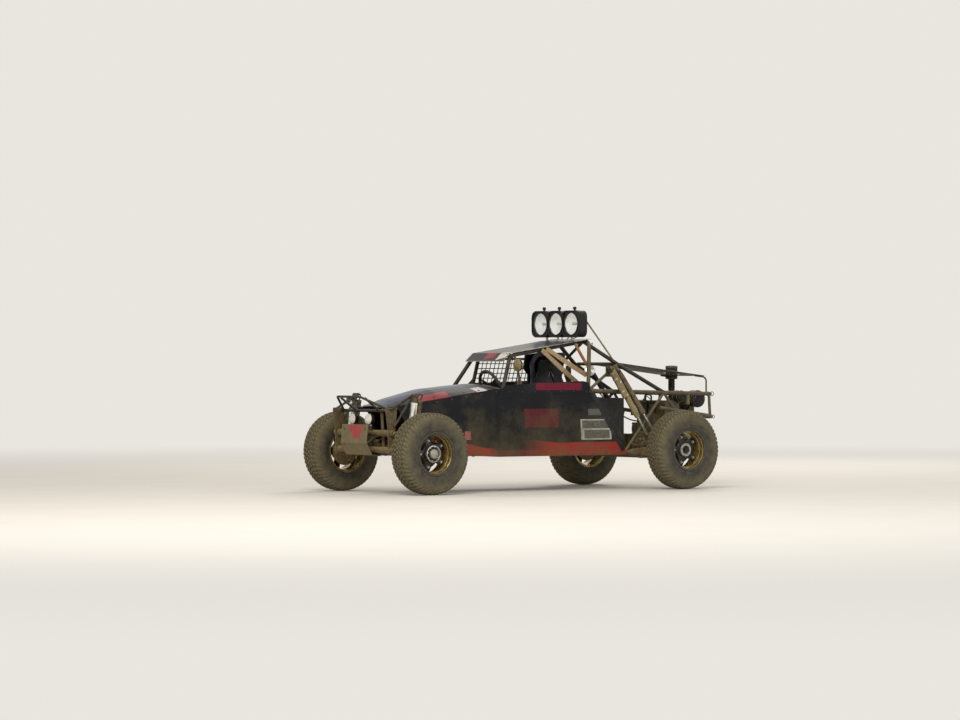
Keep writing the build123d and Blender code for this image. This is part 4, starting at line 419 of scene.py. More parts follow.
@dataclass(frozen=True)
class TyreFinish(Finish):
    """Tyre rubber: pale dust on the tread and a dark sidewall.

    The mesh carries an attribute named reach, the distance in metres from the wheel's axis.
    """

    tread_dust: str = "#665E46"

    def build(self) -> bpy.types.Material:
        """Makes the tyre material from the mesh's own reach attribute.

        Returns:
            The material.
        """
        if self.name in bpy.data.materials:
            return bpy.data.materials[self.name]
        material, tree, shader = blank_material(self.name)
        where = add_node(tree, "ShaderNodeTexCoord").outputs["Object"]
        reach = add_node(tree, "ShaderNodeAttribute", attribute_name="reach").outputs["Fac"]
        colour = self.paint(tree, where)
        patch = noise(tree, where, per_metre(self.dust_mm), 10.0, 0.7)
        # dust grows from a little at the bead to most on the tread
        outward = ramp(tree, reach, 0.24, 0.352, -0.08, 0.4)
        total = arithmetic(tree, "ADD", patch, outward)
        mask = ramp(tree, total, 0.3, 0.92)
        dusty = blend(tree, mask, colour, self.tread_dust)
        tree.links.new(dusty, shader.inputs["Base Color"])
        rough = ramp(tree, mask, 0.0, 1.0, self.roughness, 0.95)
        tree.links.new(rough, shader.inputs["Roughness"])
        bump = add_node(tree, "ShaderNodeBump", {
            "Height": self.relief(tree, where), "Strength": 0.8, "Distance": self.relief_depth_mm / 1000})
        tree.links.new(bump.outputs[0], shader.inputs["Normal"])
        return material


@dataclass(frozen=True)
class LensFinish:
    """Clear pressed lamp glass with fine vertical flutes."""

    name: str = "pressed_lamp_glass"
    flute_mm: float = 14.0

    def build(self) -> bpy.types.Material:
        """Makes the glass.

        Returns:
            The material, a transmitting shader with a fluted relief.
        """
        if self.name in bpy.data.materials:
            return bpy.data.materials[self.name]
        material, tree, shader = blank_material(self.name)
        shader.inputs["Base Color"].default_value = linear("#F4F6F4")
        shader.inputs["Transmission Weight"].default_value = 1.0
        shader.inputs["Roughness"].default_value = 0.06
        shader.inputs["IOR"].default_value = 1.45
        where = add_node(tree, "ShaderNodeTexCoord").outputs["Object"]
        flutes = add_node(tree, "ShaderNodeTexWave", {"Vector": where,
                                                      "Scale": per_metre(self.flute_mm) / WAVES_PER_SCALE},
                          bands_direction="Y")
        bump = add_node(tree, "ShaderNodeBump", {"Height": flutes.outputs["Fac"], "Strength": 0.35,
                                                 "Distance": 0.002})
        tree.links.new(bump.outputs[0], shader.inputs["Normal"])
        return material


# Powder-coated chassis steel under a film of dried mud: a dull tan with darker knocks
FRAME_COAT = Finish("powder_coated_tube", "#332B1C", "#4C422C", roughness=0.62, blotch_mm=60, dust="#6E644A",
                    dust_share=0.42, dust_mm=45, dust_up=0.35, relief_mm=2.0, relief_depth_mm=0.12)
# The same coat on the roof's rails and screen pillars, still nearly black
ROOF_COAT = Finish("dark_powder_coated_tube", "#16140F", "#2A251A", roughness=0.55, blotch_mm=80,
                   dust="#6B6045", dust_share=0.20, dust_mm=60, dust_up=0.20, relief_mm=2.0,
                   relief_depth_mm=0.12)
# Forged and welded suspension steel, oily and dark, with grit stuck in the oil
OILY_STEEL = Finish("oily_forged_steel", "#2A241A", "#453B28", roughness=0.5, metallic=0.35, blotch_mm=35,
                    dust="#85734C", dust_share=0.40, dust_mm=30, relief_mm=1.5, relief_depth_mm=0.2)
# Machined steel fittings, bare and rubbed bright
BARE_STEEL = Finish("machined_steel", "#8C8A82", "#B9B7AE", roughness=0.28, metallic=0.9, blotch_mm=20,
                    dust_share=0.15, dust_mm=25, dust_up=0.1, dust_low=0.1, relief_mm=0.8,
                    relief_depth_mm=0.03)
# Hard chrome on the front shock bodies, bright with a little dust at the foot
HARD_CHROME = Finish("hard_chrome", "#E6E6E0", "#F2F2EE", roughness=0.16, metallic=0.85, blotch_mm=50,
                     dust_share=0.05, dust_mm=30, dust_low=0.12, dust_up=0.1, relief_mm=1.0,
                     relief_depth_mm=0.01)
# Anodised aluminium shock bodies gone the colour of the track
TAN_SHOCK = Finish("dusty_anodised_aluminium", "#5C5338", "#7A6E4A", roughness=0.45, metallic=0.4,
                   blotch_mm=30, dust="#94845A", dust_share=0.50, dust_mm=35, relief_mm=1.2,
                   relief_depth_mm=0.05)
# Black paint on aluminium sheet, filmed with olive dust that thickens downwards, scratched along its length
SIDE_PAINT = PanelFinish("black_sheet_with_stripe", "#0C0D10", "#15161A", roughness=0.55, blotch_mm=260,
                         dust="#5A5038", dust_share=0.22, dust_mm=260, dust_low=0.36, dust_up=0.0, coat=0.0,
                         relief_mm=40, relief_depth_mm=0.4, worn_edge="#4A463A", specular=0.16,
                         stripe="#8E1F1A", wave="#54181E",
                         patches=((-0.05, 0.34, 0.600, 0.775, False, "#561C1E"),
                                  (-0.35, 0.19, 0.950, 1.018, False, "#6E152D"),
                                  (-0.67, -0.31, 0.478, 0.672, False, "#B4B5AA"),
                                  (-0.65, -0.33, 0.585, 0.660, False, "#33332F"),
                                  (-0.65, -0.35, 0.490, 0.570, False, "#3E3E38"),
                                  (-0.56, -0.41, 0.710, 0.770, False, "#5F6064"),
                                  (0.93, 0.99, 0.490, 0.570, False, "#A05A58")))
# Black gloss hood paint, with a painted sky reflection as a grey-blue band along its crown
HOOD_PAINT_WITH_PAINTED_SHEEN = PanelFinish("black_gloss_hood_paint", "#08090D", "#0E1016", roughness=0.30, blotch_mm=420,
                         dust="#4C4B48", dust_share=0.06, dust_mm=240, dust_low=0.0, dust_up=0.0, coat=0.0,
                         relief_mm=60, relief_depth_mm=0.2, specular=0.35, stripe_top=-1.0, crown="#485164",
                         patches=((1.10, 1.46, 0.945, 1.012, True, "#8E1B24"),
                                  (0.74, 0.84, 0.938, 0.996, True, "#D9CDD2")))
# Roof sheet, black satin with a bare worn front edge
ROOF_PAINT = Finish("black_satin_roof_paint", "#101116", "#1A1B20", roughness=0.36, blotch_mm=240,
                    dust="#6B675C", dust_share=0.14, dust_mm=160, dust_low=0.0, dust_up=0.10, coat=0.1,
                    relief_mm=50, relief_depth_mm=0.2, worn_edge="#77756D", specular=0.4)
# Mill aluminium sheet, brushed along and scraped by stones
SKID_ALLOY = Finish("scraped_aluminium_sheet", "#4C4A42", "#6B6656", roughness=0.42, metallic=0.6,
                    blotch_mm=90, dust="#7E6E4C", dust_share=0.5, dust_mm=110, relief_mm=5,
                    relief_depth_mm=0.3, weave=Weave.BRUSHED, worn_edge="#9C988A")
# Thin dark sheet over the engine
DECK_SHEET = Finish("dull_dark_sheet", "#33302A", "#48443A", roughness=0.55, blotch_mm=180, dust="#746B54",
                    dust_share=0.42, dust_mm=130, dust_up=0.2, relief_mm=30, relief_depth_mm=0.5)
# Natural rubber compound: charcoal sidewall, tread dusted to khaki
TYRE_RUBBER = TyreFinish("tyre_rubber", "#1D1C18", "#2D2B23", roughness=0.7, blotch_mm=90, dust_mm=55,
                         relief_mm=2.5, relief_depth_mm=0.35)
# Black wheel enamel
WHEEL_BLACK = Finish("black_wheel_enamel", "#0F0E0E", "#191715", roughness=0.42, blotch_mm=40, dust="#5F553A",
                     dust_share=0.22, dust_mm=35, dust_low=0.0, dust_up=0.0, coat=0.05, relief_mm=1.5,
                     relief_depth_mm=0.05, specular=0.35)
# The same enamel on the rims' lips, chipped by stones and filmed with mud
CHIPPED_BLACK = Finish("chipped_wheel_enamel", "#1F1C15", "#353021", roughness=0.5, blotch_mm=30,
                       dust="#5F573F", dust_share=0.34, dust_mm=35, dust_low=0.0, dust_up=0.0, relief_mm=2.0,
                       relief_depth_mm=0.1)
# Spun aluminium rim shell: polished once, now a dusty gold-grey
RIM_ALLOY = Finish("spun_aluminium_rim", "#96814F", "#BEA66C", roughness=0.27, metallic=0.8, blotch_mm=60,
                   dust="#7A6A42", dust_share=0.30, dust_mm=50, dust_low=0.0, dust_up=0.0, relief_mm=1.2,
                   relief_depth_mm=0.03, weave=Weave.BRUSHED)
# Turned aluminium hub caps, grey with a beige film
HUB_ALLOY = Finish("turned_aluminium_hub", "#8C887C", "#A39E90", roughness=0.42, metallic=0.45, blotch_mm=30,
                   dust="#8A8066", dust_share=0.30, dust_mm=30, dust_low=0.0, relief_mm=1.2,
                   relief_depth_mm=0.05)
# Cast alloy cases, oil-darkened in the corners
CAST_ALLOY = Finish("sand_cast_aluminium", "#3B3428", "#5A5140", roughness=0.55, metallic=0.35, blotch_mm=50,
                    dust="#7A6A48", dust_share=0.40, dust_mm=40, relief_mm=2.2, relief_depth_mm=0.4)
# Black moulded plastic with a fine spark-eroded grain
BLACK_PLASTIC = Finish("black_moulded_abs", "#131314", "#1C1C1E", roughness=0.45, blotch_mm=80,
                       dust="#6F6750", dust_share=0.20, dust_mm=60, dust_low=0.1, dust_up=0.20, relief_mm=1.2,
                       relief_depth_mm=0.08, specular=0.25)
# Rotomoulded polyethylene tank
TANK_PLASTIC = Finish("rotomoulded_polyethylene", "#171716", "#222120", roughness=0.55, blotch_mm=90,
                      dust="#5A5340", dust_share=0.20, dust_mm=70, relief_mm=3, relief_depth_mm=0.25)
# Rubber hose and cable sheath
HOSE_RUBBER = Finish("ribbed_hose_rubber", "#141312", "#201E1C", roughness=0.6, blotch_mm=25, dust="#6E6145",
                     dust_share=0.28, dust_mm=25, relief_mm=2.5, relief_depth_mm=0.3)
# Woven cotton-nylon seat cover, near black blue, dust worked into the threads
SEAT_CLOTH = Finish("woven_seat_cover", "#1A1C24", "#262A34", roughness=0.85, blotch_mm=70, dust="#5F5748",
                    dust_share=0.26, dust_mm=80, dust_low=0.1, dust_up=0.15, sheen=0.25, relief_mm=4.5,
                    relief_depth_mm=0.6, weave=Weave.CLOTH)
# Grey vinyl piping and bolster panels of the seat
SEAT_VINYL = Finish("grey_blue_vinyl", "#6A7180", "#838A98", roughness=0.45, blotch_mm=60, dust="#7C745F",
                    dust_share=0.26, dust_mm=60, dust_low=0.0, dust_up=0.15, relief_mm=2.0,
                    relief_depth_mm=0.2)
# Nylon belt webbing, sun-bleached tan
BELT_WEB = Finish("nylon_belt_webbing", "#8C7654", "#A58D66", roughness=0.8, blotch_mm=40, dust="#8C7A54",
                  dust_share=0.3, dust_mm=40, dust_low=0.0, sheen=0.3, relief_mm=3.0, relief_depth_mm=0.4,
                  weave=Weave.CLOTH)
# Polyester net webbing, once black and now dusty brown
NET_WEB = Finish("polyester_net_webbing", "#2E2618", "#463B26", roughness=0.8, blotch_mm=40, dust="#6C6146",
                 dust_share=0.34, dust_mm=35, dust_low=0.0, sheen=0.2, relief_mm=3.0, relief_depth_mm=0.4,
                 weave=Weave.CLOTH)
# Cotton gauze filter element, oiled
FILTER_GAUZE = Finish("oiled_filter_gauze", "#2A2823", "#38352D", roughness=0.85, blotch_mm=30,
                      dust="#6F6852", dust_share=0.36, dust_mm=30, relief_mm=9.0, relief_depth_mm=2.0,
                      weave=Weave.PLEATS)
# Vacuum-coated lamp reflector with a painted glow: its bowl gives off a weak white light, though the lamps
# are not lit
REFLECTOR_WITH_PAINTED_GLOW = Finish("aluminised_reflector", "#F4F4F2", "#FFFFFF", roughness=0.45, metallic=0.25, glow=0.22,
                   blotch_mm=60, dust_share=0.0, dust_low=0.0, dust_up=0.0, dust_mm=40, relief_mm=9.0,
                   relief_depth_mm=0.5)
# White enamel of a plain sticker or a cap
WHITE_ENAMEL = Finish("white_enamel", "#D9D6CC", "#C8C4B6", roughness=0.4, blotch_mm=30, dust="#9B8E6C",
                      dust_share=0.2, dust_mm=30, dust_low=0.05, dust_up=0.1, relief_mm=2,
                      relief_depth_mm=0.03)
# Red enamel of a plain patch
RED_ENAMEL = Finish("red_enamel", "#8E1F22", "#9E2A28", roughness=0.4, blotch_mm=40, dust="#8A6C4A",
                    dust_share=0.22, dust_mm=40, dust_low=0.05, dust_up=0.1, relief_mm=2,
                    relief_depth_mm=0.03)
# Orange-tan primer on the vent pipe beside the hoop
PRIMER_TAN = Finish("rust_primer", "#7C5224", "#96692F", roughness=0.6, blotch_mm=40, dust="#8F7A4E",
                    dust_share=0.3, dust_mm=40, relief_mm=2.0, relief_depth_mm=0.15)
# Silvered mirror glass
MIRROR_GLASS = Finish("silvered_glass", "#C9CDCF", "#D8DBDC", roughness=0.03, metallic=1.0, blotch_mm=80,
                      dust="#9A9384", dust_share=0.12, dust_mm=60, dust_low=0.0, dust_up=0.0, relief_mm=20,
                      relief_depth_mm=0.01)
# Tarnished copper of the rear brake lines
TARNISHED_COPPER = Finish("tarnished_copper", "#6B3F22", "#8A5730", roughness=0.4, metallic=0.7, blotch_mm=20,
                          dust_share=0.25, dust_mm=25, relief_mm=1.5, relief_depth_mm=0.05)


@dataclass
class Surface:
    """Vertices and four-sided faces of a piece, worked out as whole arrays.

    reach, if present, is one number per vertex that a material reads as the attribute named reach.
    """

    verts: np.ndarray
    quads: np.ndarray
    reach: np.ndarray | None = None

    @staticmethod
    def grid(points: np.ndarray, wrap_u: bool = False, wrap_v: bool = False) -> "Surface":
        """Joins a grid of points, rows by columns, into quads.

        Args:
            points: array of rows, columns and three coordinates.
            wrap_u: joins the last row to the first.
            wrap_v: joins the last column to the first.

        Returns:
            The surface, whose faces run from row to row and column to column.
        """
        rows, columns = points.shape[:2]
        number = np.arange(rows * columns).reshape(rows, columns)
        if wrap_u:
            number = np.vstack([number, number[:1]])
        if wrap_v:
            number = np.hstack([number, number[:, :1]])
        quads = np.stack([number[:-1, :-1], number[1:, :-1], number[1:, 1:], number[:-1, 1:]], axis=-1)
        return Surface(points.reshape(-1, 3).astype(float), quads.reshape(-1, 4))

    @staticmethod
    def joined(parts: Sequence["Surface"]) -> "Surface":
        """One surface of several, side by side.

        Args:
            parts: the surfaces.

        Returns:
            All their vertices and faces as one.
        """
        counts = np.cumsum([0] + [len(part.verts) for part in parts])
        verts = np.vstack([part.verts for part in parts])
        quads = np.vstack([part.quads + start for part, start in zip(parts, counts)])
        reach = None
        if all(part.reach is not None for part in parts):
            reach = np.concatenate([part.reach for part in parts])
        return Surface(verts, quads, reach)

    def repeated(self, turns: np.ndarray, places: np.ndarray) -> "Surface":
        """Copies of the surface, each turned by a matrix and moved to a place.

        Args:
            turns: matrices, count by 3 by 3.
            places: positions, count by 3.

        Returns:
            All copies as one surface.
        """
        count = len(places)
        verts = np.einsum("nij,vj->nvi", turns, self.verts) + places[:, None, :]
        step = np.arange(count)[:, None, None] * len(self.verts)
        return Surface(verts.reshape(-1, 3), (self.quads[None] + step).reshape(-1, 4))

    def moved(self, place: Sequence[float]) -> "Surface":
        """The surface moved by a vector."""
        return Surface(self.verts + np.asarray(place, float), self.quads, self.reach)

    def mirrored(self, side: float) -> "Surface":
        """The surface with its Y multiplied by side, which is 1 or -1."""
        return Surface(self.verts * np.array([1.0, side, 1.0]), self.quads, self.reach)

    def piece(self, name: str, finish: Finish | LensFinish, body: str,
              smooth: float | None = 40.0) -> bpy.types.Object:
        """Makes the Blender object of the surface, welded, with its faces outwards and its finish on.

        Args:
            name: the piece's name.
            finish: what it is finished with.
            body: the CAD body that it rides on.
            smooth: the angle in degrees up to which faces are shaded as one, or None for flat faces.

        Returns:
            The object, with its place in its mesh.
        """
        mesh = bpy.data.meshes.new(name)
        mesh.from_pydata(self.verts.tolist(), [], self.quads.tolist())
        if self.reach is not None:
            layer = mesh.attributes.new("reach", "FLOAT", "POINT")
            layer.data.foreach_set("value", self.reach.astype(np.float32))
        work = bmesh.new()
        work.from_mesh(mesh)
        bmesh.ops.remove_doubles(work, verts=work.verts, dist=1e-6)
        bmesh.ops.dissolve_degenerate(work, dist=1e-7, edges=work.edges)
        bmesh.ops.recalc_face_normals(work, faces=work.faces)
        work.to_mesh(mesh)
        work.free()
        if smooth is not None:
            mesh.shade_smooth()
            mesh.set_sharp_from_angle(angle=np.radians(smooth))
        item = bpy.data.objects.new(name, mesh)
        bpy.context.scene.collection.objects.link(item)
        mesh.materials.append(finish.build())
        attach(item, body)
        return item


def unit(vector: Sequence[float]) -> np.ndarray:
    """The vector, or each row of an array of them, at length one."""
    values = np.asarray(vector, float)
    return values / np.linalg.norm(values, axis=-1, keepdims=True)


def aimed(place: Sequence[float], aim: Sequence[float]) -> Matrix:
    """Matrix of a camera or lamp that looks from its place to an aim, with +Z up in its picture.

    Args:
        place: where it stands.
        aim: what it looks at.

    Returns:
        Its place and turn.
    """
    look = unit(np.array(aim) - np.array(place))
    right = unit(np.cross(look, UP))
    turn = np.eye(4)
    turn[:3, :3] = np.column_stack([right, np.cross(right, look), -look])
    turn[:3, 3] = place
    return Matrix(turn.tolist())


def curve_through(points: Sequence[Sequence[float]], count: int = 40, closed: bool = False) -> np.ndarray:
    """A smooth line through points: each coordinate is a cubic sloped as its neighbours' chord.

    Args:
        points: the points passed through.
        count: how many points the result has.
        closed: joins the last point to the first.

    Returns:
        count points along the line.
    """
    given = np.asarray(points, float)
    if closed:
        padded = np.vstack([given[-1:], given, given[:2]])
    else:
        padded = np.vstack([2 * given[0] - given[1], given, 2 * given[-1] - given[-2]])
    spans = len(padded) - 3
    place = np.linspace(0, spans, count, endpoint=not closed)
    index = np.minimum(place.astype(int), spans - 1)
    t = (place - index)[:, None]
    a, b, c, d = (padded[index + shift] for shift in range(4))
    return 0.5 * (2 * b + (c - a) * t + (2 * a - 5 * b + 4 * c - d) * t**2 + (3 * b - a - 3 * c + d) * t**3)


def circle(radius: float, count: int = 12) -> np.ndarray:
    """A round section of count points."""
    angle = np.linspace(0, 2 * np.pi, count, endpoint=False)
    return np.stack([np.cos(angle), np.sin(angle)], axis=-1) * radius


def swept(path: np.ndarray, section: np.ndarray, across: Sequence[float] = UP, closed: bool = False,
          scale: np.ndarray | None = None) -> Surface:
    """Carries a section along a path, its x along the path's normal and its y along the binormal.

    Args:
        path: points of the path.
        section: closed outline as pairs.
        across: a direction never along the path; the normal is what is left of it beside the path.
        closed: joins the path's ends; otherwise they are capped.
        scale: size of the section at each point of the path.

    Returns:
        The closed surface.
    """
    if closed:
        tangent = unit(np.roll(path, -1, 0) - np.roll(path, 1, 0))
    else:
        tangent = unit(np.gradient(path, axis=0))
    hint = np.broadcast_to(np.asarray(across, float), path.shape)
    normal = unit(hint - (hint * tangent).sum(1, keepdims=True) * tangent)
    binormal = np.cross(tangent, normal)
    size = np.ones(len(path)) if scale is None else scale
    spread = section[None, :, :] * size[:, None, None]
    points = path[:, None, :] + spread[..., :1] * normal[:, None, :] + spread[..., 1:] * binormal[:, None, :]
    if not closed:
        first = np.repeat(points[:1].mean(1, keepdims=True), points.shape[1], 1)
        last = np.repeat(points[-1:].mean(1, keepdims=True), points.shape[1], 1)
        points = np.vstack([first, points, last])
    return Surface.grid(points, wrap_u=closed, wrap_v=True)


def tube(points: Sequence[Sequence[float]], radius: float, count: int = 2, sides: int = 12,
         across: Sequence[float] = UP) -> Surface:
    """A round bar or hose of one radius along the smooth line through some points.

    Args:
        points: what the line passes through.
        radius: the bar's radius.
        count: how many points the line is cut into.
        sides: how many sides the section has.
        across: a direction never along the line.

    Returns:
        The closed surface.
    """
    line = np.asarray(points, float) if count == 2 else curve_through(points, count)
    return swept(line, circle(radius, sides), across)


def turned(profile: Sequence[Sequence[float]], centre: Sequence[float], axis: Sequence[float], count: int = 48
           ) -> Surface:
    """Turns a profile about an axis.

    Each point is the centre + the axis times its distance + its radius times the direction at each angle.

    Args:
        profile: pairs of distance along the axis and radius.
        centre: where the axis starts.
        axis: the axis.
        count: steps round.

    Returns:
        The surface; it closes where the profile starts and ends on the axis or on itself.
    """
    shape = np.asarray(profile, float)
    line = unit(axis)
    side = unit(np.cross(line, (1.0, 0.0, 0.0) if abs(line[0]) < 0.9 else (0.0, 1.0, 0.0)))
    third = np.cross(line, side)
    angle = np.linspace(0, 2 * np.pi, count, endpoint=False)
    ring = np.cos(angle)[:, None] * side + np.sin(angle)[:, None] * third
    points = np.asarray(centre, float) + shape[:, None, :1] * line + shape[:, None, 1:] * ring[None]
    return Surface.grid(points, wrap_v=True)


def slab_of(outline: np.ndarray, push: Sequence[float]) -> Surface:
    """A flat plate: the outline, the same outline pushed by a vector, its edge, and a fan to each middle.

    Args:
        outline: points round the plate.
        push: the vector from one face to the other.

    Returns:
        The closed surface.
    """
    there = outline + np.asarray(push, float)
    middle = np.repeat(outline.mean(0)[None], len(outline), 0)
    far = np.repeat(there.mean(0)[None], len(outline), 0)
    return Surface.grid(np.stack([middle, outline, there, far]), wrap_v=True)


def cuboid(low: Sequence[float], high: Sequence[float], round_off: float = 0.004) -> Surface:
    """A block with chamfered edges: a square section swollen from end to end as a pillow of straight lines.

    Args:
        low: lowest corner.
        high: highest corner.
        round_off: width of the chamfer.

    Returns:
        The closed surface.
    """
    low, high = np.asarray(low, float), np.asarray(high, float)
    middle, half = (low + high) / 2, (high - low) / 2
    c = np.minimum(round_off, half * 0.45)
    # eight corners of the section, then its size and height at four levels
    ring = np.array([(-1, -1, 1, 0), (1, -1, -1, 0), (1, -1, 0, 1), (1, 1, 0, -1), (1, 1, -1, 0),
                     (-1, 1, 1, 0), (-1, 1, 0, -1), (-1, -1, 0, 1)], float)
    flat = ring[:, :2] * half[:2] + ring[:, 2:] * c[:2]
    levels = ((0.0, -half[2]), (1 - c[0] / half[0], -half[2]), (1.0, -half[2] + c[2]), (1.0, half[2] - c[2]),
              (1 - c[0] / half[0], half[2]), (0.0, half[2]))
    points = np.stack([np.column_stack([flat * size, np.full(8, height)]) for size, height in levels])
    return Surface.grid(points + middle, wrap_v=True)


def frames_along(normals: np.ndarray, hint: Sequence[float] = (0.12, 0.34, 0.93)) -> np.ndarray:
    """Turning matrices whose third column is each normal.

    Args:
        normals: directions, count by 3.
        hint: a direction that none of them has.

    Returns:
        Matrices, count by 3 by 3.
    """
    z = unit(normals)
    x = unit(np.cross(np.broadcast_to(np.asarray(hint, float), z.shape), z))
    return np.stack([x, np.cross(z, x), z], axis=-1)


def bolt(size: float, height: float, sides: int = 6) -> Surface:
    """A bolt's head or nut standing along +Z: a washer, then a prism of few sides, then its chamfered top.

    Args:
        size: width over the corners.
        height: height of the head.
        sides: how many sides it has.

    Returns:
        The surface.
    """
    washer = [(0.0, -0.001), (size * 0.66, -0.001), (size * 0.66, height * 0.14), (size * 0.5, height * 0.14)]
    head = [(size * 0.5, height * 0.84), (size * 0.38, height), (0.0, height)]
    profile = [(height_at, reach) for reach, height_at in washer + head]
    return turned(profile, (0, 0, 0), UP, sides)


def bolts(places: np.ndarray, normals: np.ndarray, size: float, height: float, sides: int = 6) -> Surface:
    """The same bolt at many places.

    Args:
        places: where each stands.
        normals: which way each points.
        size: width over the corners.
        height: height of the head.
        sides: how many sides it has.

    Returns:
        All of them as one surface.
    """
    return bolt(size, height, sides).repeated(frames_along(normals), places)


class Piece:
    """What every sub-assembly of the car can do."""

    @staticmethod
    def finish_node(name: str, finish: Finish | LensFinish) -> None:
        """Gives a CAD node its finish in place of the plain one from model.glb.

        Args:
            name: the node's name.
            finish: what it is finished with.
        """
        mesh = NODES[name].data
        mesh.materials.clear()
        mesh.materials.append(finish.build())

    @staticmethod
    def dressed(rows: Sequence[tuple], body: str = ROOT) -> list[bpy.types.Object]:
        """Makes the pieces of some rows.

        Args:
            rows: each a surface, the piece's name, its finish and, where it isn't 40 degrees, the angle up
                to which its faces are shaded as one.
            body: the CAD body that the pieces ride on.

        Returns:
            The pieces, in the rows' order.
        """
        return [surface.piece(name, finish, body, *angle) for surface, name, finish, *angle in rows]

    def build(self) -> list[bpy.types.Object]:
        """Makes the sub-assembly's pieces and returns them."""
        raise NotImplementedError


@dataclass
class Studio(Piece):
    """Plain pale floor, soft lights and the photograph's camera."""

    eye: tuple[float, float, float] = (20.538, 28.26, 1.20)
    aim: tuple[float, float, float] = (0.523, 0.0, 1.234)
    lens: float = 137.28
    lit: tuple[float, float, float] = (0.2, 0.0, 0.6)
    floor_radius: float = 45.0
    backdrop: str = "#E9E6E0"

    def camera(self) -> None:
        """Sets up the camera: it looks from the eye to the aim, with +Z up in the picture."""
        data = bpy.data.cameras.new("camera")
        data.lens = self.lens
        data.sensor_width = 36.0
        data.clip_end = 200.0
        camera = bpy.data.objects.new("camera", data)
        camera.matrix_world = aimed(self.eye, self.aim)
        bpy.context.scene.collection.objects.link(camera)
        bpy.context.scene.camera = camera

    def lamp(self, name: str, place: Sequence[float], size: float, power: float, tint: str) -> None:
        """Adds one square soft light that points at the car.

        Args:
            name: its name.
            place: where it hangs.
            size: its side in metres.
            power: its power in watts.
            tint: its colour.
        """
        data = bpy.data.lights.new(name, "AREA")
        data.size = size
        data.energy = power
        data.color = linear(tint)[:3]
        lamp = bpy.data.objects.new(name, data)
        lamp.matrix_world = aimed(place, self.lit)
        bpy.context.scene.collection.objects.link(lamp)

    def world(self) -> None:
        """A pale sky for the camera and for reflections, and a softer light for everything else."""
        world = bpy.data.worlds.new("studio")
        bpy.context.scene.world = world
        world.use_nodes = True
        tree = world.node_tree
        tree.nodes.clear()
        path = add_node(tree, "ShaderNodeLightPath")
        seen = arithmetic(tree, "MAXIMUM", path.outputs["Is Camera Ray"], path.outputs["Is Glossy Ray"])
        seen = arithmetic(tree, "MAXIMUM", seen, path.outputs["Is Transmission Ray"])
        soft = add_node(tree, "ShaderNodeBackground", {"Color": linear("#F3F1EC"), "Strength": 0.55})
        pale = add_node(tree, "ShaderNodeBackground", {"Color": linear(self.backdrop), "Strength": 1.0})
        mix = add_node(tree, "ShaderNodeMixShader", {0: seen, 1: soft.outputs[0], 2: pale.outputs[0]})
        add_node(tree, "ShaderNodeOutputWorld", {0: mix.outputs[0]})

    def floor(self) -> bpy.types.Object:
        """A round floor whose far rim melts into the backdrop's colour.

        Returns:
            The floor.
        """
        material, tree, shader = blank_material("pale_studio_floor")
        where = add_node(tree, "ShaderNodeTexCoord").outputs["Object"]
        grain = noise(tree, where, 1.2, 6.0)
        tree.links.new(blend(tree, grain, "#DAD6CE", "#E3E0D9"), shader.inputs["Base Color"])
        shader.inputs["Roughness"].default_value = 0.9
        far = add_node(tree, "ShaderNodeVectorMath", {0: where}, operation="LENGTH")
        fade = add_node(tree, "ShaderNodeMapRange", {"Value": far.outputs["Value"], "From Min": 3.5,
                                                     "From Max": 20.0},
                        interpolation_type="SMOOTHSTEP")
        path = add_node(tree, "ShaderNodeLightPath")
        seen = arithmetic(tree, "MULTIPLY", fade.outputs[0], path.outputs["Is Camera Ray"])
        glow = add_node(tree, "ShaderNodeEmission", {"Color": linear(self.backdrop), "Strength": 1.0})
        mix = add_node(tree, "ShaderNodeMixShader", {0: seen, 1: shader.outputs[0], 2: glow.outputs[0]})
        tree.links.new(mix.outputs[0], tree.nodes["Material Output"].inputs["Surface"])
        rings = np.array([0.0, 2.0, 8.0, self.floor_radius])[:, None, None]
        rim = np.pad(circle(1.0, 96), ((0, 0), (0, 1)))
        shape = Surface.grid(rings * rim[None], wrap_v=True)
        mesh = bpy.data.meshes.new("floor")
        mesh.from_pydata(shape.verts.tolist(), [], shape.quads[:, ::-1].tolist())
        mesh.materials.append(material)
        floor = bpy.data.objects.new("floor", mesh)
        bpy.context.scene.collection.objects.link(floor)
        return floor

    def build(self) -> list[bpy.types.Object]:
        """Makes the stage; none of it is part of the car.

        Returns:
            No pieces.
        """
        bpy.context.scene.view_settings.view_transform = "Standard"
        self.camera()
        self.world()
        self.floor()
        for name, place, size, power, tint in (
                ("key", (9.0, 8.0, 9.0), 6.0, 1150.0, "#FFF9F0"),
                ("fill", (-4.0, 14.0, 5.0), 8.0, 420.0, "#EAF1FF"),
                ("back", (-9.0, -7.0, 8.0), 6.0, 620.0, "#FFF8EE")):
            self.lamp(name, place, size, power, tint)
        return []


class Axle(Enum):
    """Which axle a wheel is on."""

    FRONT = "front"
    REAR = "rear"


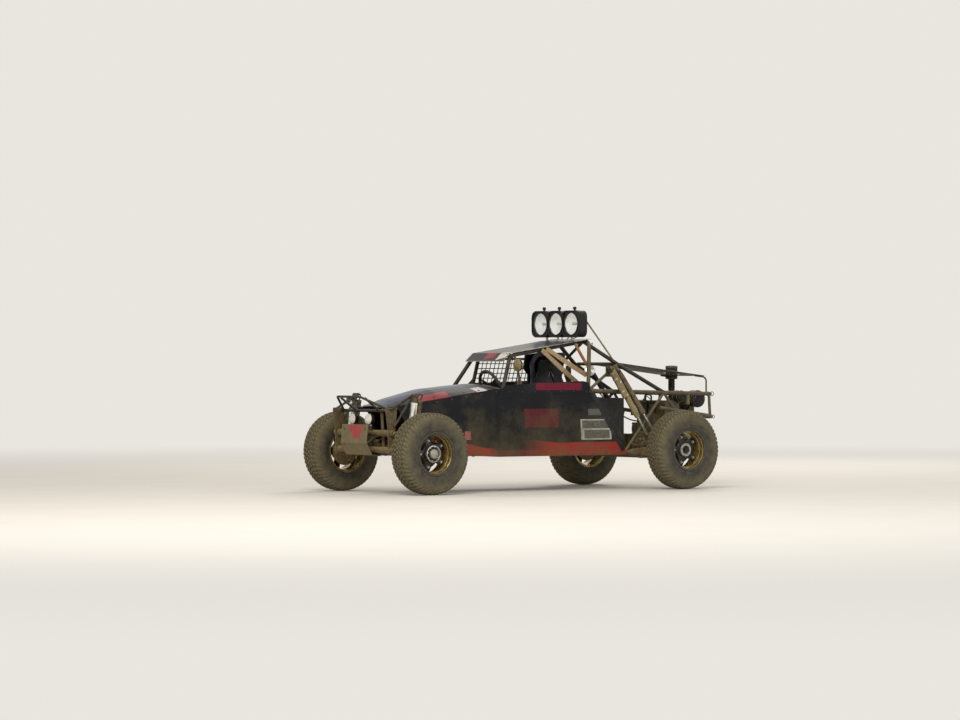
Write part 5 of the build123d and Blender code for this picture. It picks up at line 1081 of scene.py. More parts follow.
@dataclass
class Wheel(Piece):
    """One wheel: a lugged tyre on a spun rim shell with a black five-armed centre and a hub."""

    axle: Axle
    side: float
    radius: float = 0.376
    half_width: float = 0.120
    lug_depth: float = 0.013
    lug_count: int = 54
    rim_radius: float = 0.1905
    arm_count: int = 5
    stud_radius: float = 0.126

    @property
    def label(self) -> str:
        """The wheel's place in its piece names."""
        return f"{self.axle.value}_{'left' if self.side > 0 else 'right'}"

    @property
    def centre(self) -> np.ndarray:
        """The middle of the wheel."""
        if self.axle is Axle.FRONT:
            return np.array([AXLE_X, self.side * FRONT_HALF_TRACK, AXLE_Z])
        return np.array([AXLE_X - WHEELBASE, self.side * REAR_HALF_TRACK, AXLE_Z])

    def around(self, along: np.ndarray, reach: np.ndarray, angle: np.ndarray) -> np.ndarray:
        """Points of the wheel: out along the axle, and at a radius and an angle about it.

        Args:
            along: distance outwards from the wheel's middle.
            reach: radius.
            angle: angle about the axle.

        Returns:
            The points, with three coordinates last.
        """
        along, reach, angle = np.broadcast_arrays(along, reach, angle)
        return self.centre + np.stack([reach * np.cos(angle), self.side * along, reach * np.sin(angle)],
                                      axis=-1)

    def section(self) -> np.ndarray:
        """Half of the carcass's outline, from the crown over the shoulder to the bead."""
        crown = self.radius - self.lug_depth
        knots = ((0.0, crown), (0.040, crown - 0.0012), (0.076, crown - 0.0055), (0.0985, crown - 0.016),
                 (0.1115, crown - 0.036), (0.1180, crown - 0.064), (0.1192, 0.262), (0.1165, 0.228),
                 (0.1075, 0.204), (0.1010, 0.194), (0.0950, 0.1875))
        return curve_through([(*knot, 0.0) for knot in knots], 60)[:, :2]

    def carcass(self) -> Surface:
        """The tyre without its lugs: the outline turned about the axle, with thin ribs on the sidewall.

        Returns:
            The surface, open at the beads, which the rim's flanges cover.
        """
        half = self.section()
        along = np.concatenate([-half[::-1, 0], half[1:, 0]])
        reach = np.concatenate([half[::-1, 1], half[1:, 1]])
        # a bead rib at one radius and a scuff rib higher up, each a narrow bell
        bell = sum(height * np.exp(-((reach - middle) / width) ** 2)
                   for height, middle, width in ((0.0022, 0.214, 0.0028), (0.0020, 0.318, 0.004)))
        along = along + np.sign(along) * np.minimum(bell, self.half_width - np.abs(along)).clip(0)
        angle = np.linspace(0, 2 * np.pi, 144, endpoint=False)
        surface = Surface.grid(self.around(along[:, None], reach[:, None], angle[None, :]), wrap_v=True)
        surface.reach = np.repeat(reach, 144)
        return surface

    def lugs(self) -> Surface:
        """Rubber blocks: small grids laid on the carcass, each lifted by a plateau in both directions.

        A block's point lies at an arc length q from the crown and a slanted angle; the lift is the lug's
        depth times the smaller of two plateaus, which rise from under the carcass at the block's edge to one
        inside it.

        Returns:
            All blocks of the tyre.
        """
        half = self.section()
        arc = np.concatenate([[0], np.cumsum(np.linalg.norm(np.diff(half, axis=0), axis=1))])
        spot = np.array([-1.0, -1.0, -0.86, -0.3, 0.3, 0.86, 1.0, 1.0])
        rise = np.array([-0.25, 0.80, 1.0, 1.0, 1.0, 1.0, 0.80, -0.25])
        lift = np.minimum(rise[:, None], rise[None, :])
        pitch = 2 * np.pi / self.lug_count
        # first and last arc length, share of the pitch, slant and shift of each row of blocks
        rows = ((0.006, 0.030, 0.60, -0.35, 0.0), (0.037, 0.071, 0.58, -0.62, 0.35),
                (0.078, 0.126, 0.56, -0.50, 0.1))
        parts = []
        for low, high, share, slant, shift in rows:
            for side in (-1.0, 1.0):
                number = np.arange(self.lug_count)
                # every other shoulder block runs further down the sidewall
                longer = 0.012 * (number % 2) if high > 0.1 else np.zeros(self.lug_count)
                start, end = np.full(self.lug_count, low), high + longer
                q = (start + end)[:, None, None] / 2 + (end - start)[:, None, None] / 2 * spot[None, :, None]
                q = np.broadcast_to(q, (self.lug_count, 8, 8))
                turn = (number[:, None, None] + shift + (0.5 if side > 0 else 0.0)) * pitch
                angle = turn + pitch * share / 2 * spot[None, None, :] + slant * pitch * (q - low) / 0.035
                along = np.interp(q, arc, half[:, 0])
                reach = np.interp(q, arc, half[:, 1])
                ahead = np.interp(q + 0.003, arc, half[:, 0]), np.interp(q + 0.003, arc, half[:, 1])
                run = unit(np.stack([ahead[0] - along, ahead[1] - reach], axis=-1))
                # the depth thins down the sidewall and the lug's face looks outwards from the outline
                depth = self.lug_depth * np.interp(q, (0.0, 0.080, 0.112, 0.140),
                                                   (0.99, 1.0, 0.50, 0.22)) * lift
                along = np.minimum(along - run[..., 1] * depth, 0.1197)
                reach = np.minimum(reach + run[..., 0] * depth, self.radius - 0.0004)
                points = self.around(side * along, reach, angle)
                count = np.arange(self.lug_count)[:, None, None] * 64
                flat = Surface.grid(points[0])
                block = Surface(points.reshape(-1, 3), (flat.quads[None] + count).reshape(-1, 4))
                block.reach = reach.reshape(-1)
                parts.append(block)
        return Surface.joined(parts)

    def shell(self) -> Surface:
        """The rim's shell: a closed outline of its wall, lips and well turned about the axle.

        Returns:
            The surface.
        """
        lip, bead, well, wall = 0.2035, self.rim_radius - 0.004, 0.170, 0.004
        outer = [(-0.110, lip), (-0.106, lip), (-0.103, bead), (-0.070, bead - 0.002), (-0.052, well),
                 (0.030, well), (0.052, bead - 0.004), (0.098, bead), (0.101, lip - 0.004), (0.104, lip),
                 (0.1085, lip + 0.0005), (0.1110, lip - 0.003)]
        inner = [(0.1080, bead - 0.004), (0.098, bead - 0.0075), (0.090, bead - 0.0080),
                 (0.088, bead - 0.0105), (0.083, bead - 0.0105), (0.081, bead - 0.0085),
                 (0.064, bead - 0.0095), (0.056, bead - 0.012), (0.046, well + 0.003), (0.044, well),
                 (0.040, well), (0.034, well - wall), (-0.050, well - wall), (-0.068, bead - 0.008),
                 (-0.104, bead - 0.005), (-0.110, lip)]
        return turned(outer + inner, self.centre, (0, self.side, 0), 96)

    def lip(self) -> Surface:
        """The rim's rolled lip, a thin ring over the shell's outer edge.

        Returns:
            The closed ring.
        """
        profile = [(0.1040, 0.2042), (0.1090, 0.2048), (0.1122, 0.2022), (0.1128, 0.1980), (0.1110, 0.1860),
                   (0.1085, 0.1805), (0.1010, 0.1780), (0.0990, 0.1792), (0.1060, 0.1815), (0.1085, 0.1860),
                   (0.1085, 0.2000)]
        return turned(profile + profile[:1], self.centre, (0, self.side, 0), 96)

    def spider(self) -> Surface:
        """The black centre: a dished plate whose edge reaches the shell at five arms and draws in between.

        The edge's radius is the arm's reach where the cosine of five times the angle is high, and the hub's
        where it is low, with a smooth step between; both faces and the edge are rows of one grid.

        Returns:
            The closed surface.
        """
        angle = np.linspace(0, 2 * np.pi, 160, endpoint=False)
        wave = np.cos(self.arm_count * angle)
        step = 1 / (1 + np.exp(-(wave - 0.20) * 7.0))
        edge = 0.096 + (0.1675 - 0.096) * step
        share = np.linspace(0, 1, 10)
        reach = 0.052 + (edge[None, :] - 0.052) * share[:, None]
        # the arms dip inwards as they go out and turn towards the shell at their ends
        ripple = 0.006 * np.cos(self.arm_count * angle)[None] * share[:, None]
        dish = 0.030 - 0.020 * ((reach - 0.052) / 0.115) ** 2 + ripple
        front = self.around(dish, reach, angle[None, :])
        back = self.around(dish - 0.012, reach, angle[None, :])
        return Surface.grid(np.vstack([front, back[::-1], front[:1]]), wrap_v=True)

    def hub(self) -> tuple[Surface, Surface]:
        """The bright hub ring or flange, and the cap or the splined end in its middle.

        Returns:
            The ring, then its middle.
        """
        start = self.centre
        axis = (0, self.side, 0)
        if self.axle is Axle.FRONT:
            dish = [(0.020, 0.0), (0.020, 0.074), (0.034, 0.081), (0.058, 0.081), (0.066, 0.077),
                    (0.067, 0.070), (0.050, 0.058), (0.046, 0.044), (0.046, 0.0)]
            cap = [(0.040, 0.0), (0.040, 0.044), (0.076, 0.043), (0.082, 0.036), (0.085, 0.0)]
            return turned(dish, start, axis, 64), turned(cap, start, axis, 48)
        dish = [(0.020, 0.0), (0.020, 0.066), (0.048, 0.066), (0.054, 0.062), (0.054, 0.038), (0.044, 0.034),
                (0.040, 0.0)]
        cap = [(0.036, 0.0), (0.036, 0.024), (0.058, 0.022), (0.060, 0.0)]
        return turned(dish, start, axis, 64), turned(cap, start, axis, 24)

    def hub_gap(self) -> Surface:
        """Black seal between the hub's ring and its cap.

        Returns:
            The closed ring.
        """
        if self.axle is Axle.FRONT:
            profile = [(0.046, 0.0440), (0.0590, 0.0440), (0.0610, 0.0590), (0.0480, 0.0590), (0.046, 0.0440)]
        else:
            profile = [(0.040, 0.0235), (0.0500, 0.0235), (0.0550, 0.0400), (0.0400, 0.0400), (0.040, 0.0235)]
        return turned(profile, self.centre, (0, self.side, 0), 48)

    def disc(self) -> Surface:
        """Brake disc with its bell and the hub's body behind the wheel's centre, turned about the axle.

        Returns:
            The closed surface.
        """
        profile = [(-0.102, 0.0), (-0.102, 0.040), (-0.098, 0.046), (-0.074, 0.048), (-0.070, 0.066),
                   (-0.067, 0.072), (-0.067, 0.132), (-0.066, 0.134), (-0.058, 0.134), (-0.057, 0.132),
                   (-0.057, 0.074), (-0.050, 0.070), (-0.030, 0.066), (-0.026, 0.046), (0.020, 0.045),
                   (0.020, 0.0)]
        return turned(profile, self.centre, (0, self.side, 0), 64)

    def nuts(self) -> Surface:
        """Wheel nuts on the five arms and bolts on the hub's ring."""
        turn = np.arange(self.arm_count) * 2 * np.pi / self.arm_count
        places = self.around(np.full(self.arm_count, 0.0255), np.full(self.arm_count, self.stud_radius), turn)
        out = np.tile([0.0, self.side, 0.0], (self.arm_count, 1))
        studs = bolts(places, out, 0.023, 0.018)
        ring = np.arange(8) * np.pi / 4 + 0.2
        reach = 0.064 if self.axle is Axle.FRONT else 0.050
        face = 0.0585 if self.axle is Axle.FRONT else 0.053
        small = bolts(self.around(np.full(8, face), np.full(8, reach), ring),
                      np.tile([0.0, self.side, 0.0], (8, 1)), 0.012, 0.007)
        return Surface.joined([studs, small])

    def valve(self) -> Surface:
        """The valve: a short rubber stem that leans in from the shell's face."""
        foot = self.around(np.array(0.060), np.array(0.174), np.array(0.9))
        tip = self.around(np.array(0.092), np.array(0.164), np.array(0.9))
        return tube([foot, tip], 0.005, sides=8, across=(1, 0, 0.3))

    def build(self) -> list[bpy.types.Object]:
        """Makes the tyre and the wheel's pieces in place of their plain CAD nodes.

        Returns:
            The pieces.
        """
        body = f"{self.axle.value}_wheel_{'left' if self.side > 0 else 'right'}"
        tyre = Surface.joined([self.carcass(), self.lugs()])
        tyre = tyre.piece(f"tyre_{self.label}_rubber", TYRE_RUBBER, body, 35)
        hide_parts(f"tyre_{self.label}")
        ring, middle = self.hub()
        shell = self.shell().piece(f"rim_{self.label}_shell", RIM_ALLOY, body)
        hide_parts(f"wheel_{self.label}")
        spider = self.spider().piece(f"rim_{self.label}_centre", WHEEL_BLACK, body, 50)
        cap = HUB_ALLOY if self.axle is Axle.FRONT else BLACK_PLASTIC
        return [tyre, shell, spider] + self.dressed((
            (ring, f"hub_{self.label}_ring", BARE_STEEL), (middle, f"hub_{self.label}_middle", cap),
            (self.nuts(), f"wheel_{self.label}_nuts", BARE_STEEL, 25),
            (self.disc(), f"brake_disc_{self.label}", OILY_STEEL),
            (self.lip(), f"rim_{self.label}_lip", CHIPPED_BLACK),
            (self.hub_gap(), f"hub_{self.label}_gap", BLACK_PLASTIC),
            (self.valve(), f"wheel_{self.label}_valve", HOSE_RUBBER)), body)


def landings(node: str, starts: np.ndarray, direction: Sequence[float]) -> tuple[np.ndarray, np.ndarray]:
    """Where parallel lines first meet a CAD node.

    Args:
        node: the node's name.
        starts: where the lines start, count by 3.
        direction: which way they go.

    Returns:
        The points met and the surface's normals there, without the lines that miss.
    """
    item = NODES[node]
    hits = [item.ray_cast(Vector(start), Vector(direction)) for start in np.asarray(starts, float)]
    spots = np.array([spot for hit, spot, _, _ in hits if hit])
    normals = np.array([normal for hit, _, normal, _ in hits if hit])
    return spots, normals


def spaced(points: Sequence[Sequence[float]], step: float) -> np.ndarray:
    """Points at even steps along a broken line, its two ends with them.

    Args:
        points: the line's corners.
        step: the wanted distance between two points.

    Returns:
        The points.
    """
    line = np.asarray(points, float)
    reach = np.concatenate([[0], np.cumsum(np.linalg.norm(np.diff(line, axis=0), axis=1))])
    place = np.linspace(0, reach[-1], max(2, round(reach[-1] / step) + 1))
    return np.stack([np.interp(place, reach, line[:, k]) for k in range(3)], axis=-1)


def ring(centre: Sequence[float], axis: Sequence[float], radius: float, thick: float, count: int = 32,
         sides: int = 8) -> Surface:
    """A torus: a round section of radius thick turned about the axis at a radius.

    Args:
        centre: the torus's middle.
        axis: its axis.
        radius: radius of the section's path.
        thick: radius of the section.
        count: steps round the axis.
        sides: steps round the section.

    Returns:
        The surface.
    """
    angle = np.linspace(0, 2 * np.pi, sides + 1)
    profile = np.stack([np.sin(angle) * thick, radius + np.cos(angle) * thick], axis=-1)
    return turned(profile, centre, axis, count)


def bellows(points: Sequence[Sequence[float]], radius: float, ribs: int, depth: float,
            across: Sequence[float] = UP, taper: float = 1.0) -> Surface:
    """A ribbed hose or boot: a tube whose radius swings by depth once per rib and tapers along its length.

    Args:
        points: what its middle line passes through.
        radius: its mean radius at the start.
        ribs: how many ribs it has.
        depth: share of the radius that the ribs rise and fall.
        across: a direction never along the line.
        taper: the size at the far end over that at the start.

    Returns:
        The closed surface.
    """
    line = curve_through(points, ribs * 6 + 1)
    swing = 1 + depth * np.cos(np.linspace(0, 2 * np.pi * ribs, len(line)))
    return swept(line, circle(radius, 20), across, scale=swing * np.linspace(1.0, taper, len(line)))


def banded(width: float, thick: float) -> np.ndarray:
    """Section of a flat strap: width along the normal, thick along the binormal, with eased corners."""
    a, b = width / 2, thick / 2
    e = min(a, b) * 0.5
    return np.array([(a - e, -b), (a, -b + e), (a, b - e), (a - e, b), (-a + e, b), (-a, b - e), (-a, -b + e),
                     (-a + e, -b)])


def rounded_loop(half_width: float, half_height: float, power: float, count: int) -> np.ndarray:
    """A rounded rectangle as a superellipse: |y/a|^n + |z/b|^n = 1, as pairs of y and z.

    Args:
        half_width: a.
        half_height: b.
        power: n; 2 is an ellipse, and more is squarer.
        count: how many points.

    Returns:
        The points.
    """
    angle = np.linspace(0, 2 * np.pi, count, endpoint=False)
    c, s = np.cos(angle), np.sin(angle)
    reach = (np.abs(c) ** power + np.abs(s) ** power) ** (-1 / power)
    return np.stack([half_width * c * reach, half_height * s * reach], axis=-1)


def side_y(x: float | np.ndarray, z: float | np.ndarray) -> float | np.ndarray:
    """Half width of the side sheet's outer face, which leans in upwards and tapers towards the nose."""
    return SILL_HALF_WIDTH - SIDE_LEAN * (z - SILL_Z) - NOSE_TAPER * np.maximum(x - SCREEN_X, 0.0)


def rail_z(x: float | np.ndarray) -> float | np.ndarray:
    """Height of the top rail's middle: level beside the seat and falling towards the nose."""
    return RAIL_Z - RAIL_FALL * np.maximum(x - SCREEN_X, 0.0)


@dataclass
class Cage(Piece):
    """The tube frame: dusty coated tubes with weld beads and gussets."""

    tubes: tuple[str, ...] = ("main_hoop", "side_frame_left", "side_frame_right", "rear_rails", "roof_rails",
                              "cage_tubes", "rear_frame", "front_frame", "tow_tabs", "deck_stays",
                              "lamp_struts")

    def beads(self) -> Surface:
        """Weld beads: thin rings where tubes meet the hoop, the rails and the posts.

        Returns:
            All the rings as one surface.
        """
        places = (
            # point, direction of the tube, radius of the tube
            ((0.333, 0.413, 0.982), (0.06, -0.40, 0.92), 0.019),
            ((-0.440, 0.418, 0.985), (-0.30, -0.35, 0.89), 0.019),
            ((-0.560, 0.318, 1.385), (-0.85, 0.10, -0.52), 0.014),
            ((-0.830, 0.340, 1.180), (-0.85, 0.10, -0.52), 0.014),
            ((0.380, 0.300, 1.262), (0.4, 0.30, -0.86), 0.019),
            ((-0.440, 0.462, 0.945), (-1.0, 0.0, -0.06), 0.019),
            ((1.770, 0.270, 0.765), (0.0, 1.0, 0.0), 0.014),
            ((-1.930, 0.385, 0.905), (1.0, 0.0, 0.0), 0.019),
            ((-2.001, 0.360, 0.905), (0.0, 1.0, 0.0), 0.019),
            ((-2.001, 0.380, 0.682), (0.0, 1.0, 0.0), 0.014),
        )
        rings = []
        for point, way, radius in places:
            bead = ring(point, way, radius + 0.0012, 0.0032, 28, 8)
            rings += [bead, bead.mirrored(-1)]
        return Surface.joined(rings)

    def gussets(self) -> Surface:
        """Triangular plates in the corners of the hoop and the side frames.

        Returns:
            The plates.
        """
        plates = []
        corners = (
            ((-0.455, 0.424, 0.985), (-0.472, 0.408, 1.070), (-0.375, 0.432, 0.965)),
            ((0.335, 0.402, 0.985), (0.345, 0.372, 1.060), (0.410, 0.424, 0.965)),
        )
        for outline in corners:
            flat = spaced([*outline, outline[0]], 0.02)[:-1]
            plate = slab_of(flat, (0.0, -0.004, 0.0))
            plates += [plate, plate.mirrored(-1)]
        return Surface.joined(plates)

    def build(self) -> list[bpy.types.Object]:
        """Finishes the tubes and adds what is welded to them.

        Returns:
            The added pieces.
        """
        for name in self.tubes:
            self.finish_node(name, FRAME_COAT)
        self.finish_node("roof_rails", ROOF_COAT)
        self.finish_node("front_frame", ROOF_COAT)
        self.finish_node("lamp_struts", TAN_SHOCK)
        return self.dressed(((self.beads(), "cage_weld_beads", FRAME_COAT, 60),
                             (self.gussets(), "cage_gussets", FRAME_COAT)))


@dataclass
class FrontEnd(Piece):
    """Front beam, trailing arms, shock absorbers, steering, brakes, fog lamps and the plate's patch."""

    shock_top: tuple[float, float, float] = (1.608, 0.505, 0.905)
    shock_foot: tuple[float, float, float] = (1.683, 0.505, 0.385)
    beam_x: float = 1.828
    beam_heights: tuple[float, float] = (0.405, 0.560)

    def shock_dress(self) -> dict[str, Surface]:
        """Bright body sleeve, end caps, rubber bump stop and a second, thinner reservoir beside each shock.

        Returns:
            The surfaces by what they are.
        """
        top, foot = np.array(self.shock_top), np.array(self.shock_foot)
        way = unit(foot - top)
        sleeve = turned([(0.066, 0.0), (0.066, 0.024), (0.069, 0.0335), (0.085, 0.0335), (0.088, 0.0325),
                         (0.330, 0.0325), (0.333, 0.0335), (0.352, 0.0335), (0.356, 0.020), (0.356, 0.0)],
                        top, way, 40)
        rod = turned([(0.350, 0.0), (0.350, 0.0118), (0.485, 0.0118), (0.485, 0.0)], top, way, 24)
        stop = turned([(0.440, 0.0), (0.440, 0.015), (0.452, 0.024), (0.462, 0.017), (0.474, 0.026),
                       (0.488, 0.022), (0.488, 0.0)], top, way, 28)
        away = np.array([-0.058, 0.002, 0.0])
        can = turned([(0.045, 0.0), (0.045, 0.018), (0.052, 0.0235), (0.075, 0.0235), (0.078, 0.0220),
                      (0.250, 0.0220), (0.256, 0.0235), (0.270, 0.0200), (0.274, 0.0)], top + away, way, 32)
        clamps = []
        for share in (0.105, 0.215):
            here = top + way * share
            clamps.append(turned([(-0.008, 0.0215), (-0.008, 0.0255), (0.008, 0.0255), (0.008, 0.0215)],
                                 here + away, way, 28))
            clamps.append(turned([(-0.008, 0.0270), (-0.008, 0.0310), (0.008, 0.0310), (0.008, 0.0270)], here,
                                 way, 32))
            clamps.append(tube([here + away * 0.42, here + away * 0.62], 0.006, sides=8))
        hose = tube([top + way * 0.045 + away * 0.35, top + (-0.030, 0.012, 0.012),
                     top + away + (-0.012, 0.010, 0.000), top + away + way * 0.047], THIN_HOSE, 16, 10,
                    across=ACROSS)
        return {"sleeve": sleeve, "rod": rod, "stop": stop, "reservoir": can,
                "clamps": Surface.joined(clamps), "hose": hose}

    def beam_dress(self) -> Surface:
        """Adjuster bosses, clamp bands and end bolts of the two beam tubes.

        Returns:
            The hardware.
        """
        parts = []
        for height in self.beam_heights:
            middle = (self.beam_x, 0.0, height)
            parts.append(turned([(-0.034, 0.0300), (-0.034, 0.0345), (0.034, 0.0345), (0.034, 0.0300)],
                                middle, ACROSS, 40))
            parts.append(tube([(self.beam_x + 0.025, 0.0, height), (self.beam_x + 0.047, 0.0, height)], 0.011,
                              sides=10))
            for y in (0.16, 0.33):
                for side in (-1, 1):
                    parts.append(ring((self.beam_x, side * y, height), ACROSS, 0.0305, 0.0022, 40, 6))
            places = np.array([(self.beam_x, side * 0.4885, height) for side in (-1.0, 1.0)])
            parts.append(bolts(places, np.array([(0, -1.0, 0), (0, 1.0, 0)]), 0.030, 0.016))
        return Surface.joined(parts)

    def caliper(self, side: float) -> tuple[Surface, Surface]:
        """Brake caliper that bridges the disc behind the axle, and its hose.

        Args:
            side: 1 on the left, -1 on the right.

        Returns:
            The caliper and the hose.
        """
        x, y, z = AXLE_X - 0.098, side * 0.678, AXLE_Z + 0.055
        body = Surface.joined([
            cuboid((x - 0.030, y - 0.034, z - 0.045), (x + 0.020, y - 0.010, z + 0.045), 0.010),
            cuboid((x - 0.030, y + 0.010, z - 0.045), (x + 0.020, y + 0.026, z + 0.045), 0.008),
            cuboid((x - 0.044, y - 0.030, z - 0.030), (x - 0.029, y + 0.022, z + 0.030), 0.006),
            tube([(x - 0.004, y - side * 0.036, z + 0.018), (x - 0.004, y - side * 0.046, z + 0.018)], 0.013,
                 sides=14, across=ALONG),
            tube([(x - 0.004, y - side * 0.036, z - 0.018), (x - 0.004, y - side * 0.046, z - 0.018)], 0.013,
                 sides=14, across=ALONG),
        ])
        hose = tube([(x - 0.010, y - side * 0.030, z + 0.040), (x - 0.030, y - side * 0.050, z + 0.090),
                     (x + 0.030, y - side * 0.075, z + 0.120),
                     (AXLE_X - 0.010, y - side * 0.080, AXLE_Z + 0.105)],
                    0.0050, 24, 8, across=(0, 1, 0.2))
        return body, hose

    def fog_lamps(self) -> tuple[Surface, Surface]:
        """Two small lamps on the upper beam, with white domed covers and dark shells on short posts.

        Returns:
            The covers and the shells.
        """
        covers, shells = [], []
        for y in (-0.135, 0.135):
            middle = (1.845, y, 0.682)
            covers.append(turned([(0.030, 0.0), (0.030, 0.050), (0.036, 0.052), (0.046, 0.044),
                                  (0.053, 0.024), (0.055, 0.0)], middle, (1, 0, 0.12), 40))
            shells.append(turned([(-0.030, 0.0), (-0.028, 0.024), (-0.010, 0.044), (0.026, 0.054),
                                  (0.034, 0.054), (0.034, 0.050), (0.028, 0.0)], middle, (1, 0, 0.12), 40))
            shells.append(tube([(1.830, y, 0.588), (1.838, y, 0.634)], 0.009, sides=10, across=ALONG))
            shells.append(cuboid((1.812, y - 0.020, 0.586), (1.852, y + 0.020, 0.594), 0.002))
        return Surface.joined(covers), Surface.joined(shells)

    def plate_patch(self) -> Surface:
        """Plain red sheet on the skid plate's face, which narrows downwards.

        Returns:
            The sheet.
        """
        rows = []
        for z in np.linspace(0.632, 0.512, 9):
            left = np.interp(z, (0.512, 0.575, 0.632), (-0.010, -0.060, -0.120))
            right = np.interp(z, (0.512, 0.632), (0.080, 0.150))
            found, _ = landings("skid_plate", np.array([(AHEAD, y, z) for y in np.linspace(left, right, 8)]),
                                REARWARD)
            rows.append(found + (0.0012, 0, 0))
        return Surface.grid(np.array(rows))

    def arm_bolts(self, side: float) -> Surface:
        """Nuts on the outer ends of the arms' pins and the kingpin's grease caps.

        Args:
            side: 1 on the left, -1 on the right.

        Returns:
            The hardware.
        """
        node = f"front_arms_{'left' if side > 0 else 'right'}"
        starts = np.array([(self.beam_x, side * 0.9, z) for z in self.beam_heights]
                          + [(1.74, side * 0.9, 0.335), (1.74, side * 0.9, 0.490)])
        spots, normals = landings(node, starts, (0, -side, 0))
        return bolts(spots, normals, 0.026, 0.014)

    def build(self) -> list[bpy.types.Object]:
        """Finishes the front end's nodes and adds its details.

        Returns:
            The added pieces.
        """
        for name in ("front_beam", "front_arms_left", "front_arms_right", "knuckle_left", "knuckle_right",
                     "rack_housing", "rack_rod"):
            self.finish_node(name, OILY_STEEL)
        covers, shells = self.fog_lamps()
        made = self.dressed((
            (self.beam_dress(), "beam_hardware", OILY_STEEL), (covers, "fog_lamp_covers", WHITE_ENAMEL),
            (shells, "fog_lamp_shells", BLACK_PLASTIC), (self.plate_patch(), "skid_patch", RED_ENAMEL)))
        finishes = {"sleeve": HARD_CHROME, "rod": HARD_CHROME, "stop": HOSE_RUBBER, "reservoir": OILY_STEEL,
                    "clamps": OILY_STEEL, "hose": HOSE_RUBBER}
        for side, label in SIDES:
            self.finish_node(f"front_shock_{label}", OILY_STEEL)
            made += self.dressed([(surface.mirrored(side), f"front_shock_{label}_{what}", finishes[what])
                                  for what, surface in self.shock_dress().items()])
            body, hose = self.caliper(side)
            made += self.dressed(((body, f"front_caliper_{label}", CAST_ALLOY),
                                  (hose, f"front_brake_hose_{label}", HOSE_RUBBER)), f"knuckle_{label}")
            made.append(self.arm_bolts(side).piece(f"front_arm_bolts_{label}", BARE_STEEL, ROOT, 25))
        return made


